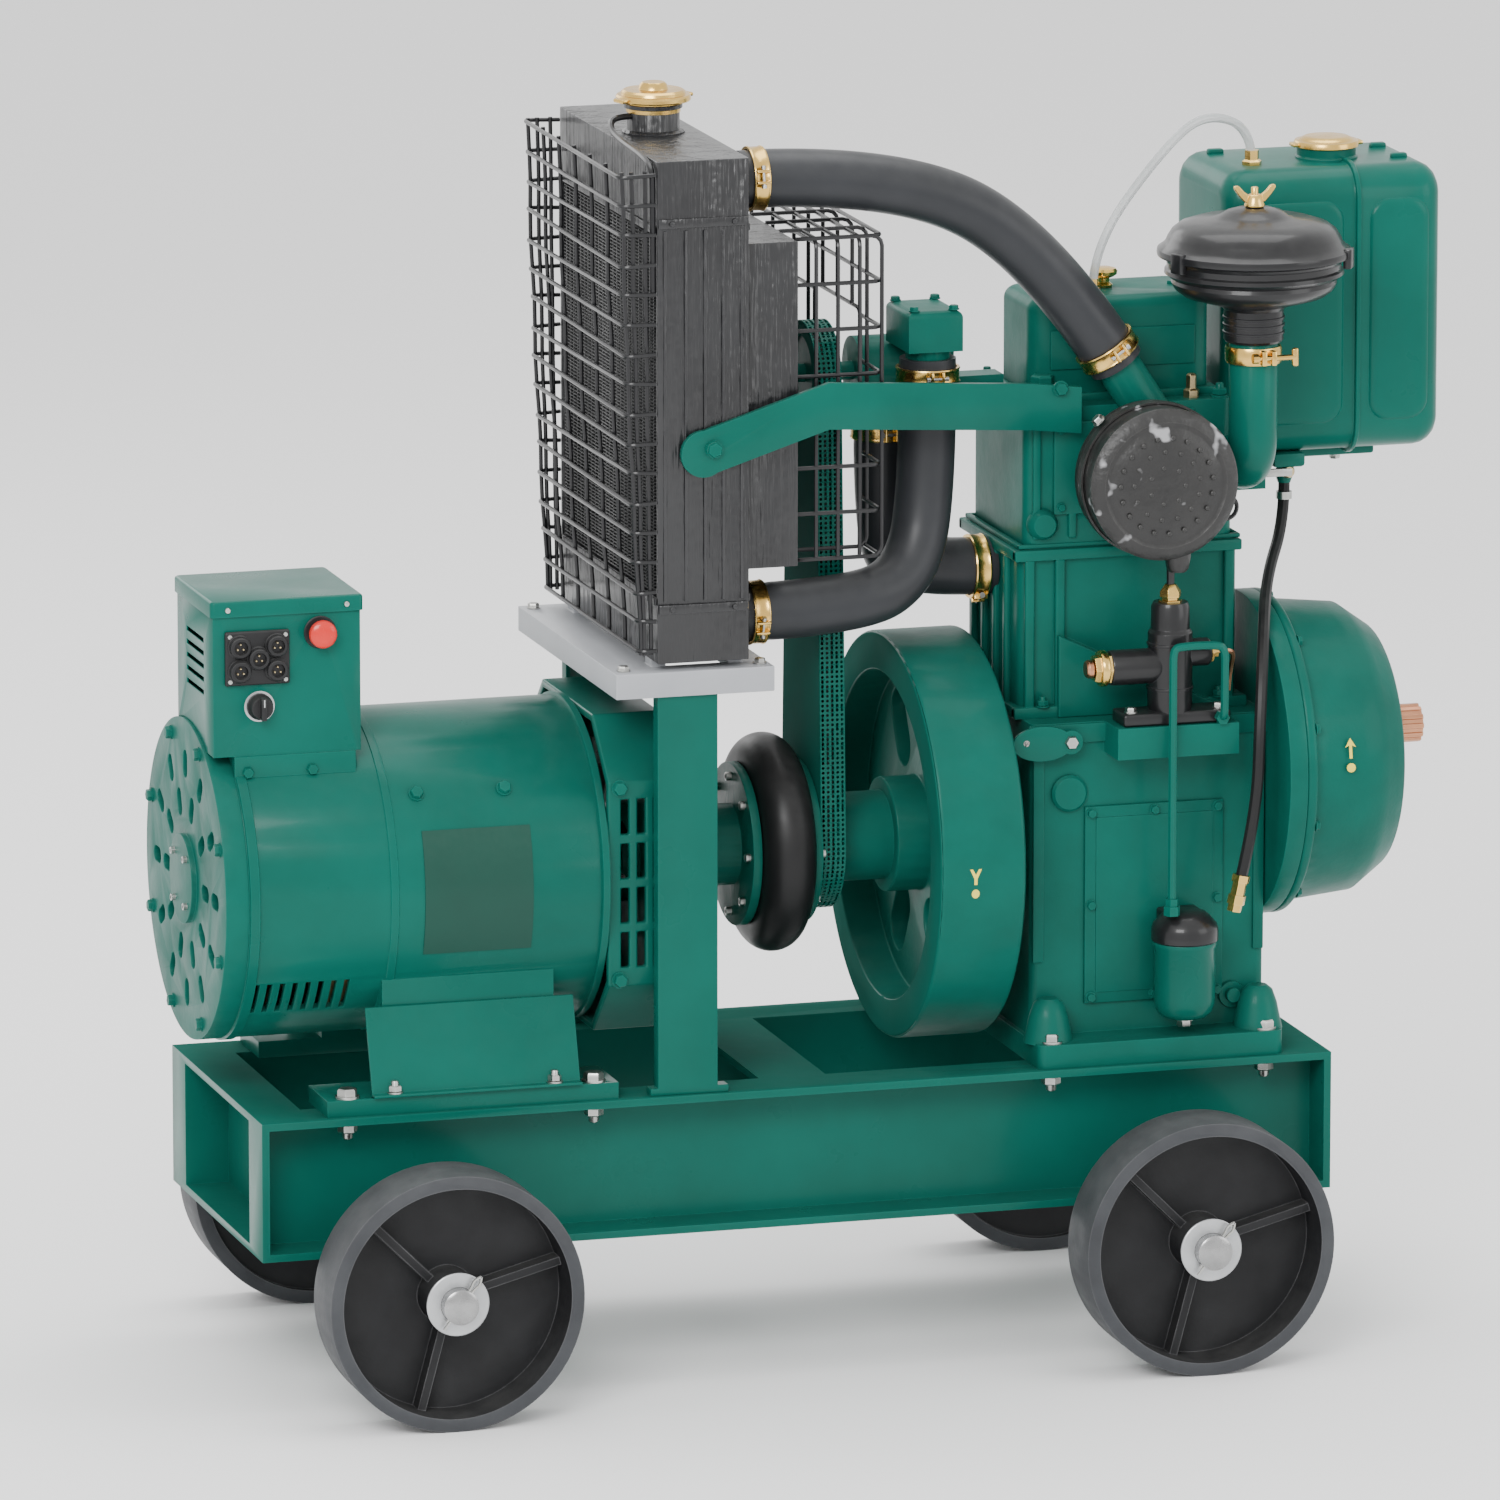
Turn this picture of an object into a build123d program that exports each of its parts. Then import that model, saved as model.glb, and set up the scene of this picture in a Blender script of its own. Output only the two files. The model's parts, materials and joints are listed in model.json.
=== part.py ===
from build123d import *
from math import acos, asin, atan2, cos, degrees, hypot, pi, radians, sin, sqrt, tan
import os

os.makedirs("parts", exist_ok=True)

# ---------------------------------------------------------------- driving sizes, millimetres
# X runs from the alternator to the fuel tank, -Y is the side with the injection pump, Z is up from the ground.
frame_length = 1187.0
frame_width = 386.0
channel_height = 150.0
flange_width = 56.0
steel = 8.0  # wall of the trolley's channels

wheel_diameter = 276.0
wheel_width = 70.6
wheel_gap = 60.0  # from a rail's edge to the wheel
wheelbase = 832.0
rim_wall = 14.0
hub_radius = 31.0
axle_radius = 19.0
axle_drop = 26.0  # from the rails' underside to the axle's centre

shaft_height = 227.0  # crankshaft above the deck
coupling_station = 17.0  # middle of the tyre coupling from the trolley's middle
crank_station = 404.0  # middle of the crankcase from the trolley's middle

alternator_radius = 172.0
barrel_length = 395.0
barrel_wall = 8.0
end_cover_length = 25.0
drive_bracket_length = 75.0
rotor_shaft_radius = 20.0
ball_bearing_radius = 40.0
ball_bearing_width = 18.0
air_gap = 1.0

tyre_radius = 118.0
tyre_half_width = 29.0
tyre_wall = 12.0

flywheel_width = 95.0
flywheel_deck_gap = 7.0
crank_radius = 30.0
pulley_radius = 60.0
pump_pulley_radius = 42.0
belt_top_width = 17.0
belt_height = 11.0

bore_radius = 40.0
crank_throw = 55.0
rod_length = 225.0
piston_height = 82.0
pin_height = 44.0  # gudgeon pin below the crown
crank_pin_radius = 24.0
web_radius = 82.0
web_width = 22.0

gear_module = 4.0
crank_teeth = 23
cam_teeth = 46
cam_offset = 88.0  # camshaft to the pump side of the crankshaft
gear_width = 20.0
backlash = 0.35
starting_shaft_radius = 21.0
starting_shaft_reach = 44.0  # what stands out of the gear case
starting_boss = 8.0
starting_gap = 2.0  # between the boss and the toothed end

crankcase_length = 264.0
crankcase_width = 270.0
crankcase_wall = 14.0
crankcase_deck = 10.0
lobe_reach = 21.0
block_length = 246.0
block_width = 190.0
head_height = 150.0
rocker_height = 110.0
valve_lift = 7.0

shelf_gap = 34.0  # between the alternator and the radiator shelf
shelf_lip = 27.0
shelf_steel = 6.0
radiator_height = 536.0
radiator_width = 376.0
radiator_depth = 100.0
radiator_station = -108.0
column_width = 66.0
column_depth = 18.0

hose_radius = 31.0
hose_bore = 24.0
clip_width = 20.0
clip_wall = 4.0

tank_length = 246.0
tank_width = 190.0
tank_height = 310.0
tank_station = 524.0  # its left side from the trolley's middle
tank_near = -30.0
tank_bottom = 622.0  # above the deck

box_length = 160.0
box_depth = 152.0
box_height = 165.0
sheet = 2.0

running = 0.05  # shaft in its hole
clear = 0.3  # between curved faces that pass each other
slip = 0.5  # bolt in its hole

# ---------------------------------------------------------------- places that follow from them
wheel_radius = wheel_diameter / 2
axle_z = wheel_radius
rail_bottom = axle_z + axle_drop
deck_z = rail_bottom + channel_height
shaft_z = deck_z + shaft_height
half_frame = frame_width / 2
web_y = half_frame - flange_width  # inner face of a rail's web

bearing_cap = 6.0
bracket_station = coupling_station - 147.0  # outer face of the drive end bracket
alternator_length = bearing_cap + end_cover_length + barrel_length + drive_bracket_length
alternator_station = bracket_station - alternator_length
cam_drop = gear_module * (crank_teeth + cam_teeth) / 2
cam_rise = sqrt(cam_drop**2 - cam_offset**2)
gear_case_depth = 125.0
case_flange = 12.0
adapter_length = 20.0
case_station = crank_station + crankcase_length / 2 + adapter_length
stub_station = case_station + gear_case_depth + starting_shaft_reach
right_reach = max(tank_station + tank_length, stub_station)
left_reach = -alternator_station
trolley_x = (left_reach - right_reach) / 2  # the whole object's box is centred on X = 0

coupling_x = trolley_x + coupling_station
crank_x = trolley_x + crank_station
bracket_x = trolley_x + bracket_station
barrel_x1 = bracket_x - drive_bracket_length
barrel_x0 = barrel_x1 - barrel_length
cover_x0 = barrel_x0 - end_cover_length
alternator_x = cover_x0 - bearing_cap
case_x0 = crank_x + crankcase_length / 2
gear_x0 = case_x0 + adapter_length
gear_x1 = gear_x0 + gear_case_depth
cam_y = -cam_offset
cam_z = shaft_z + cam_rise
gear_case_y = cam_y / 2
gear_case_z = shaft_z + 0.72 * cam_rise
case_wall = 8.0
cam_tip = gear_module * (cam_teeth / 2 + 0.9)
drum_radius = hypot(cam_y - gear_case_y, cam_z - gear_case_z) + cam_tip + case_wall + 8.0
nose_radius = drum_radius - 33.0
case_flange_radius = drum_radius + 11.0

crankcase_top = cam_z + lobe_reach + 2.0 + crankcase_deck
# the block's top face, 1 mm over the piston at its highest
deck_face = shaft_z + crank_throw + rod_length + pin_height + 1.0
cylinder_x = crank_x - 10.0
head_top = deck_face + head_height
cover_top = head_top + rocker_height

flywheel_radius = shaft_height - flywheel_deck_gap
flywheel_x0 = crank_x - crankcase_length / 2 - 31.0 - flywheel_width
flywheel_x1 = flywheel_x0 + flywheel_width
belt_x = coupling_x + 53.0  # middle of the belt's plane

shelf_z = shaft_z + alternator_radius + shelf_gap + shelf_lip
radiator_x = trolley_x + radiator_station
radiator_x0 = radiator_x - radiator_depth / 2
radiator_x1 = radiator_x + radiator_depth / 2
radiator_z0 = shelf_z + 8.0
radiator_z1 = radiator_z0 + radiator_height
fan_z = (radiator_z0 + radiator_z1) / 2


# ---------------------------------------------------------------- short cuts for what repeats
def slab(x0, x1, y0, y1, z0, z1, mode=Mode.ADD):
    with Locations(((x0 + x1) / 2, (y0 + y1) / 2, (z0 + z1) / 2)):
        Box(x1 - x0, y1 - y0, z1 - z0, mode=mode)


def round_x(x0, x1, radius, y, z, mode=Mode.ADD):
    with Locations(Location(((x0 + x1) / 2, y, z), (0, 90, 0))):
        Cylinder(radius, x1 - x0, mode=mode)


def round_y(y0, y1, radius, x, z, mode=Mode.ADD):
    with Locations(Location((x, (y0 + y1) / 2, z), (90, 0, 0))):
        Cylinder(radius, y1 - y0, mode=mode)


def round_z(z0, z1, radius, x, y, mode=Mode.ADD):
    with Locations((x, y, (z0 + z1) / 2)):
        Cylinder(radius, z1 - z0, mode=mode)


def turned_x(points, z, y=0, mode=Mode.ADD):
    """a closed outline of (x, radius) points turned about a line along X"""
    with BuildSketch(Plane((0, y, z), x_dir=(1, 0, 0), z_dir=(0, -1, 0))) as outline:
        with BuildLine():
            Polyline(*points, close=True)
        make_face()
    revolve(outline.sketch, axis=Axis((0, y, z), (1, 0, 0)), mode=mode)


def turned_z(points, x, y, mode=Mode.ADD):
    """a closed outline of (radius, z) points turned about a line along Z"""
    with BuildSketch(Plane((x, y, 0), x_dir=(1, 0, 0), z_dir=(0, -1, 0))) as outline:
        with BuildLine():
            Polyline(*points, close=True)
        make_face()
    revolve(outline.sketch, axis=Axis((x, y, 0), (0, 0, 1)), mode=mode)


def tube(points, bends, radius, bore=0.0):
    """a pipe along straight runs joined by arcs; bore 0 makes it solid"""
    with BuildLine() as path:
        FilletPolyline(*points, radius=bends) if len(points) > 2 else Line(*points)
    start = Plane(path.wires()[0] @ 0, z_dir=path.wires()[0] % 0)
    with BuildSketch(start) as ring:
        Circle(radius)
        if bore:
            Circle(bore, mode=Mode.SUBTRACT)
    sweep(sections=ring.sketch, path=path.wires()[0])


def involute(angle):
    return tan(angle) - angle


def gear_outline(teeth, first):
    """points of a spur gear's outline, one tooth centred on the angle first, in degrees"""
    pressure = radians(20)
    pitch = gear_module * teeth / 2
    base = pitch * cos(pressure)
    root = pitch - 1.25 * gear_module
    tip = pitch + 0.9 * gear_module
    middle = pi / (2 * teeth) - backlash / (2 * pitch)
    flank = []
    for step in range(5):
        radius = max(root, base + 0.02) + (tip - max(root, base + 0.02)) * step / 4
        flank.append((radius, middle + involute(pressure) - involute(acos(base / radius))))
    flank = [(root, flank[0][1])] * (root < base) + flank
    points = []
    for tooth in range(teeth):
        centre = radians(first) + 2 * pi * tooth / teeth
        for radius, half in flank:
            points.append((radius * cos(centre - half), radius * sin(centre - half)))
        for radius, half in reversed(flank):
            points.append((radius * cos(centre + half), radius * sin(centre + half)))
    return points


def hexagon_bolt(x, y, z0, z1, radius):
    """a bolt along Z whose head sits on z1 and whose nut is under z0"""
    round_z(z0 - radius * 2.2, z1, radius, x, y)
    for low, high in ((z1, z1 + radius * 1.3), (z0 - radius * 1.6, z0)):
        with BuildSketch(Plane.XY.offset(low)) as hexagon:
            with Locations((x, y)):
                RegularPolygon(radius * 1.8, 6)
        extrude(hexagon.sketch, amount=high - low)


# ---------------------------------------------------------------- trolley
bracket_half = 36.0
axle_x = [trolley_x - wheelbase / 2, trolley_x + wheelbase / 2]
frame_x0 = trolley_x - frame_length / 2
frame_x1 = trolley_x + frame_length / 2
cross_half = 37.0
cross_x = trolley_x + 5.0
foot_bolt = 6.0
foot_y = max(half_frame - 21.0, crankcase_width / 2 + 1.8 * foot_bolt)
engine_bolt_x = [crank_x - crankcase_length / 2 + 12.0, crank_x + crankcase_length / 2 - 12.0]
alternator_bolt_x = [barrel_x0 + 105.0, barrel_x1 - 20.0]
column_x = radiator_x - 17.0
bolt_spots = [(x, side * foot_y) for x in engine_bolt_x + alternator_bolt_x for side in (-1, 1)]

with BuildPart() as chassis_frame:
    for side in (-1, 1):
        near, far = sorted((side * web_y, side * (web_y + steel)))
        slab(frame_x0, frame_x1, near, far, rail_bottom, deck_z)
        near, far = sorted((side * web_y, side * half_frame))
        slab(frame_x0, frame_x1, near, far, deck_z - steel, deck_z)
        slab(frame_x0, frame_x1, near, far, rail_bottom, rail_bottom + steel)
        for x in (frame_x0, frame_x1 - steel):
            slab(x, x + steel, near, far, rail_bottom, deck_z)
        for x in axle_x:
            slab(x - bracket_half, x + bracket_half, near, far, axle_z - 30.0, rail_bottom)
    for end in (-1, 1):
        outer = trolley_x + end * frame_length / 2
        inner = outer - end * flange_width
        web = sorted((inner, inner + end * steel))
        slab(web[0], web[1], -web_y, web_y, rail_bottom, deck_z)
        low, high = sorted((inner, outer))
        slab(low, high, -web_y, web_y, deck_z - steel, deck_z)
        slab(low, high, -web_y, web_y, rail_bottom, rail_bottom + steel)
    slab(cross_x - cross_half, cross_x + cross_half, -web_y, web_y, deck_z - steel, deck_z)
    slab(cross_x + cross_half - steel, cross_x + cross_half, -web_y, web_y, deck_z - 90.0, deck_z)
    for x in axle_x:
        round_y(-half_frame, half_frame, axle_radius, x, axle_z, mode=Mode.SUBTRACT)
    for x, y in bolt_spots:
        round_z(deck_z - steel, deck_z, foot_bolt + slip, x, y, mode=Mode.SUBTRACT)
chassis_frame.part.label = "chassis_frame"
export_step(chassis_frame.part, "parts/chassis_frame.step")

wheel_y0 = half_frame + wheel_gap
hub_y0 = wheel_y0 - 6.0
hub_y1 = wheel_y0 + wheel_width - 4.0
washer_y0 = hub_y1 + clear
washer_wall = 4.0
split_pin_y = washer_y0 + washer_wall + 6.0
axle_end = split_pin_y + 10.0
split_pin_radius = 4.0

washer = Cylinder(34.0, washer_wall) - Cylinder(axle_radius + 0.2, washer_wall)
with BuildPart() as axles:
    for x in axle_x:
        round_y(-axle_end, axle_end, axle_radius, x, axle_z)
        for side in (-1, 1):
            with Locations(Location((x, side * split_pin_y, axle_z), (0, 35, 0))):
                Cylinder(split_pin_radius + 0.1, 80, mode=Mode.SUBTRACT)
    for x in axle_x:
        for side in (-1, 1):
            low, high = sorted((side * washer_y0, side * (washer_y0 + washer_wall)))
            with Locations(Location((x, (low + high) / 2, axle_z), (90, 0, 0))):
                add(washer)
            with Locations(Location((x, side * split_pin_y, axle_z), (0, 35, 0))):
                Cylinder(split_pin_radius, 70)
axles.part.label = "axles"
export_step(axles.part, "parts/axles.step")


def wheel(x, side):
    """a dished cast wheel: rim, a disc near its inner side, three ribs and a long hub"""
    outward = Plane((x, side * wheel_y0, axle_z), x_dir=(side, 0, 0), z_dir=(0, side, 0))
    disc = 12.0
    with BuildPart(outward) as casting:
        Cylinder(wheel_radius, wheel_width, align=(Align.CENTER, Align.CENTER, Align.MIN))
        with Locations((0, 0, disc + 8.0)):
            Cylinder(
                wheel_radius - rim_wall,
                wheel_width,
                align=(Align.CENTER, Align.CENTER, Align.MIN),
                mode=Mode.SUBTRACT,
            )
        Cylinder(
            wheel_radius - rim_wall, 8.0, align=(Align.CENTER, Align.CENTER, Align.MIN), mode=Mode.SUBTRACT
        )
        with Locations((0, 0, hub_y0 - wheel_y0)):
            Cylinder(hub_radius, hub_y1 - hub_y0, align=(Align.CENTER, Align.CENTER, Align.MIN))
        rib_length = wheel_radius - rim_wall / 2
        with PolarLocations(0, 3, start_angle=75):
            with Locations((rib_length / 2, 0, disc + 8.0 + 10.0)):
                Box(rib_length, 9.0, 20.0)
        with Locations((0, 0, -10.0)):
            Cylinder(
                axle_radius + running,
                wheel_width + 30.0,
                align=(Align.CENTER, Align.CENTER, Align.MIN),
                mode=Mode.SUBTRACT,
            )
    return casting


for place, x in (("left", axle_x[0]), ("right", axle_x[1])):
    for way, side in (("near", -1), ("far", 1)):
        cast_wheel = wheel(x, side)
        cast_wheel.part.label = f"wheel_{place}_{way}"
        export_step(cast_wheel.part, f"parts/wheel_{place}_{way}.step")

engine_foot = 26.0
base_rail = 18.0
with BuildPart() as frame_bolts:
    for x, y in bolt_spots:
        top = deck_z + (engine_foot if x in engine_bolt_x else base_rail)
        hexagon_bolt(x, y, deck_z - steel, top, foot_bolt)
frame_bolts.part.label = "frame_bolts"
export_step(frame_bolts.part, "parts/frame_bolts.step")

# ---------------------------------------------------------------- alternator
foot_x0 = barrel_x0 + 150.0
foot_x1 = barrel_x1 - 57.0
rail_x0 = barrel_x0 + 80.0
rail_x1 = barrel_x1 + 4.0
foot_y1 = half_frame - 45.0
foot_y0 = foot_y1 - 43.0
with BuildPart() as alternator_barrel:
    for side in (-1, 1):
        near, far = sorted((side * foot_y0, side * foot_y1))
        slab(foot_x0, foot_x1, near, far, deck_z, shaft_z - 90.0)
        near, far = sorted((side * foot_y0, side * (half_frame - 8.0)))
        slab(rail_x0, rail_x1, near, far, deck_z, deck_z + base_rail)
    round_x(barrel_x0, barrel_x1, alternator_radius, 0, shaft_z)
    round_x(barrel_x0, barrel_x1, alternator_radius - barrel_wall, 0, shaft_z, mode=Mode.SUBTRACT)
    for side in (-1, 1):
        for count in range(8):
            with Locations(
                Location((barrel_x0 + 14.0 + count * 14.0, 0, shaft_z), (side * 52.0, 0, 0))
            ):
                with Locations((0, 0, -alternator_radius)):
                    Box(6.0, 46.0, 40.0, mode=Mode.SUBTRACT)
    for x, y in bolt_spots:
        if x in alternator_bolt_x:
            round_z(deck_z, deck_z + base_rail, foot_bolt + slip, x, y, mode=Mode.SUBTRACT)
alternator_barrel.part.label = "alternator_barrel"
export_step(alternator_barrel.part, "parts/alternator_barrel.step")

bearing_x0 = cover_x0 + 4.0
with BuildPart() as alternator_end_cover:
    round_x(cover_x0, barrel_x0, alternator_radius, 0, shaft_z)
    round_x(cover_x0 + 9.0, barrel_x0, alternator_radius - barrel_wall, 0, shaft_z, mode=Mode.SUBTRACT)
    round_x(cover_x0, cover_x0 + 26.0, ball_bearing_radius + 12.0, 0, shaft_z)
    round_x(alternator_x, cover_x0, 48.0, 0, shaft_z)
    round_x(bearing_x0, cover_x0 + 26.0, ball_bearing_radius, 0, shaft_z, mode=Mode.SUBTRACT)
    for ring, openings in ((82.0, 10), (124.0, 12)):
        with BuildSketch(Plane((cover_x0 - 1.0, 0, shaft_z), x_dir=(0, 1, 0), z_dir=(1, 0, 0))):
            with PolarLocations(ring, openings):
                SlotOverall(30.0, 17.0)
        extrude(amount=12.0, mode=Mode.SUBTRACT)
alternator_end_cover.part.label = "alternator_end_cover"
export_step(alternator_end_cover.part, "parts/alternator_end_cover.step")

column_gap = 9.0  # between the drive end bracket and a radiator column
bracket_half_width = half_frame - shelf_steel - column_depth - column_gap
bracket_wall = 9.0
with BuildPart() as alternator_drive_bracket:
    with BuildSketch(Plane((barrel_x1, 0, shaft_z), x_dir=(0, 1, 0), z_dir=(1, 0, 0))):
        outline = Rectangle(2 * bracket_half_width, 2 * alternator_radius)
        chamfer(outline.vertices(), 62.0)
    extrude(amount=drive_bracket_length)
    with BuildSketch(Plane((barrel_x1, 0, shaft_z), x_dir=(0, 1, 0), z_dir=(1, 0, 0))):
        outline = Rectangle(2 * (bracket_half_width - bracket_wall), 2 * (alternator_radius - bracket_wall))
        chamfer(outline.vertices(), 58.0)
    extrude(amount=drive_bracket_length - bracket_wall, mode=Mode.SUBTRACT)
    round_x(bracket_x - 30.0, bracket_x, ball_bearing_radius + 14.0, 0, shaft_z)
    for side in (-1, 1):
        for column in range(3):
            for row in range(4):
                x = barrel_x1 + 19.0 + column * 18.0
                z = shaft_z + (row - 1.5) * 48.0
                y = side * bracket_half_width
                slab(x - 4.5, x + 4.5, y - 20.0, y + 20.0, z - 19.0, z + 19.0, mode=Mode.SUBTRACT)
    round_x(bracket_x - 30.0, bracket_x - 6.0, ball_bearing_radius, 0, shaft_z, mode=Mode.SUBTRACT)
    round_x(bracket_x - 30.0, bracket_x, rotor_shaft_radius + 6.0, 0, shaft_z, mode=Mode.SUBTRACT)
alternator_drive_bracket.part.label = "alternator_drive_bracket"
export_step(alternator_drive_bracket.part, "parts/alternator_drive_bracket.step")

plate_y = alternator_radius - 22.0
plate_drop = alternator_radius - 54.0
with BuildPart() as alternator_foot_plates:
    for side in (-1, 1):
        with BuildSketch(Plane.YZ.offset(foot_x0 - 20.0)):
            with BuildLine():
                Polyline(
                    (side * plate_y, shaft_z - plate_drop),
                    (side * (plate_y + 3.0), shaft_z - plate_drop),
                    (side * (half_frame - 12.0), deck_z + base_rail + 4.0),
                    (side * (half_frame - 2.0), deck_z + base_rail + 4.0),
                    (side * (half_frame - 2.0), deck_z + base_rail + 1.0),
                    (side * (half_frame - 15.0), deck_z + base_rail + 1.0),
                    close=True,
                )
            make_face()
        extrude(amount=foot_x1 - foot_x0 + 40.0)
alternator_foot_plates.part.label = "alternator_foot_plates"
export_step(alternator_foot_plates.part, "parts/alternator_foot_plates.step")

core_x0 = barrel_x0 + 90.0
core_x1 = core_x0 + 200.0
core_bore = 112.0
with BuildPart() as stator:
    turned_x(
        [
            (core_x0, core_bore),
            (core_x0, core_bore + 12.0),
            (core_x0 - 40.0, core_bore + 14.0),
            (core_x0 - 40.0, core_bore + 34.0),
            (core_x0, core_bore + 36.0),
            (core_x0, alternator_radius - barrel_wall),
            (core_x1, alternator_radius - barrel_wall),
            (core_x1, core_bore + 36.0),
            (core_x1 + 40.0, core_bore + 34.0),
            (core_x1 + 40.0, core_bore + 14.0),
            (core_x1, core_bore + 12.0),
            (core_x1, core_bore),
        ],
        shaft_z,
    )
stator.part.label = "stator"
export_step(stator.part, "parts/stator.step")

fan_x0 = barrel_x1 - 2.0
rotor_fan_radius = bracket_half_width - bracket_wall - 23.0
blade_root = 37.0
blade_tip = rotor_fan_radius - 1.0
flange_x = [coupling_x - tyre_half_width - 11.0, coupling_x + tyre_half_width + 1.0]
hub_end_x = [bracket_x + 40.0, belt_x - 14.0]
with BuildPart() as alternator_rotor:
    round_x(bearing_x0 + 2.0, coupling_x - 12.0, rotor_shaft_radius, 0, shaft_z)
    with BuildSketch(Plane((core_x0, 0, shaft_z), x_dir=(0, 1, 0), z_dir=(1, 0, 0))):
        Circle(core_bore - air_gap)
        with PolarLocations(core_bore, 4, start_angle=45):
            Rectangle(60.0, 70.0, mode=Mode.SUBTRACT)
    extrude(amount=core_x1 - core_x0)
    round_x(fan_x0, fan_x0 + 6.0, rotor_fan_radius, 0, shaft_z)
    round_x(fan_x0, fan_x0 + 30.0, 40.0, 0, shaft_z)
    for blade in range(12):
        with Locations(Location((fan_x0 + 18.0, 0, shaft_z), (blade * 30.0, 0, 0))):
            with Locations((0, 0, (blade_root + blade_tip) / 2)):
                Box(24.0, 4.0, blade_tip - blade_root)
alternator_rotor.part.label = "alternator_rotor"
export_step(alternator_rotor.part, "parts/alternator_rotor.step")

bearing_seats = [
    (bearing_x0, bearing_x0 + ball_bearing_width),
    (bracket_x - 6.0 - ball_bearing_width, bracket_x - 6.0),
]
main_seats = [
    (crank_x - crankcase_length / 2 - 26.0, crank_x - crankcase_length / 2 + 18.0),
    (case_x0 - 30.0, case_x0 + 8.0),
]
bush_wall = 8.0
with BuildPart() as shaft_bearings:
    for x0, x1 in bearing_seats:
        round_x(x0, x1, ball_bearing_radius, 0, shaft_z)
        round_x(x0, x1, rotor_shaft_radius + running, 0, shaft_z, mode=Mode.SUBTRACT)
    for x0, x1 in main_seats:
        round_x(x0, x1, crank_radius + bush_wall, 0, shaft_z)
        round_x(x0, x1, crank_radius + running, 0, shaft_z, mode=Mode.SUBTRACT)
shaft_bearings.part.label = "shaft_bearings"
export_step(shaft_bearings.part, "parts/shaft_bearings.step")

# ---------------------------------------------------------------- control box
box_x0 = barrel_x0 - 22.0
box_x1 = box_x0 + box_length
box_y0 = -112.0
box_y1 = box_y0 + box_depth
box_z0 = shaft_z + alternator_radius * 0.885
box_z1 = box_z0 + box_height
lid_lip = 15.0
button_x = box_x1 - 44.0
button_z = box_z1 - 36.0
knob_x = box_x0 + 50.0
knob_z = box_z1 - 112.0
panel = (box_x0 + 12.0, box_x0 + 82.0, box_z1 - 88.0, box_z1 - 30.0)
stem_radius = 8.0
with BuildPart() as control_box:
    slab(box_x0, box_x1, box_y0, box_y1, box_z0, box_z1)
    slab(
        box_x0 + sheet, box_x1 - sheet,
        box_y0 + sheet, box_y1 - sheet,
        box_z0 + sheet, box_z1 + 1,
        mode=Mode.SUBTRACT,
    )
    slab(box_x0 + 22.0, box_x1 - 6.0, box_y0 - 2.0, box_y1 + 2.0, shaft_z + 108.0, box_z0)
    slab(
        box_x0 + 26.0, box_x1 - 10.0,
        box_y0 + 4.0, box_y1 - 4.0,
        shaft_z + 100.0, box_z0,
        mode=Mode.SUBTRACT,
    )
    round_x(box_x0 - 5.0, box_x1 + 5.0, alternator_radius, 0, shaft_z, mode=Mode.SUBTRACT)
    for count in range(5):
        slab(
            box_x0 - 1, box_x0 + 3,
            box_y0 + 40.0, box_y1 - 40.0,
            box_z0 + 60.0 + count * 14.0, box_z0 + 65.0 + count * 14.0,
            mode=Mode.SUBTRACT,
        )
    round_y(box_y0 - 1, box_y0 + 3, stem_radius + 0.1, button_x, button_z, mode=Mode.SUBTRACT)
    round_y(box_y0 - 1, box_y0 + 3, stem_radius + 0.1, knob_x, knob_z, mode=Mode.SUBTRACT)
control_box.part.label = "control_box"
export_step(control_box.part, "parts/control_box.step")

lid_gap = 1.0
with BuildPart() as control_box_lid:
    slab(
        box_x0 - lid_gap - sheet, box_x1 + lid_gap + sheet,
        box_y0 - lid_gap - sheet, box_y1 + lid_gap + sheet,
        box_z1 + 0.5 - lid_lip, box_z1 + 0.5 + sheet,
    )
    slab(
        box_x0 - lid_gap, box_x1 + lid_gap,
        box_y0 - lid_gap, box_y1 + lid_gap,
        box_z1 - lid_lip, box_z1 + 0.5,
        mode=Mode.SUBTRACT,
    )
control_box_lid.part.label = "control_box_lid"
export_step(control_box_lid.part, "parts/control_box_lid.step")

with BuildPart() as socket_panel:
    slab(panel[0], panel[1], box_y0 - 6.0, box_y0, panel[2], panel[3])
    middle = ((panel[0] + panel[1]) / 2, (panel[2] + panel[3]) / 2)
    for dx, dz in ((-20, 13), (20, 13), (0, 0), (-20, -13), (20, -13)):
        round_y(box_y0 - 14.0, box_y0 - 6.0, 11.0, middle[0] + dx, middle[1] + dz)
        round_y(box_y0 - 15.0, box_y0 - 9.0, 7.0, middle[0] + dx, middle[1] + dz, mode=Mode.SUBTRACT)
socket_panel.part.label = "socket_panel"
export_step(socket_panel.part, "parts/socket_panel.step")

button_travel = 4.0
with BuildPart() as stop_button:
    round_y(box_y0 - 20.0, box_y0 - 6.0, 15.0, button_x, button_z)
    round_y(box_y0 - 6.0, box_y0 + 12.0, stem_radius, button_x, button_z)
    fillet(stop_button.edges().filter_by(GeomType.CIRCLE).sort_by(Axis.Y)[0], 4.0)
stop_button.part.label = "stop_button"
export_step(stop_button.part, "parts/stop_button.step")

with BuildPart() as selector_knob:
    round_y(box_y0 - 14.0, box_y0 - clear, 14.0, knob_x, knob_z)
    slab(knob_x - 3.0, knob_x + 3.0, box_y0 - 22.0, box_y0 - 14.0, knob_z - 12.0, knob_z + 12.0)
    round_y(box_y0 - clear, box_y0 + 12.0, stem_radius, knob_x, knob_z)
selector_knob.part.label = "selector_knob"
export_step(selector_knob.part, "parts/selector_knob.step")

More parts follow.
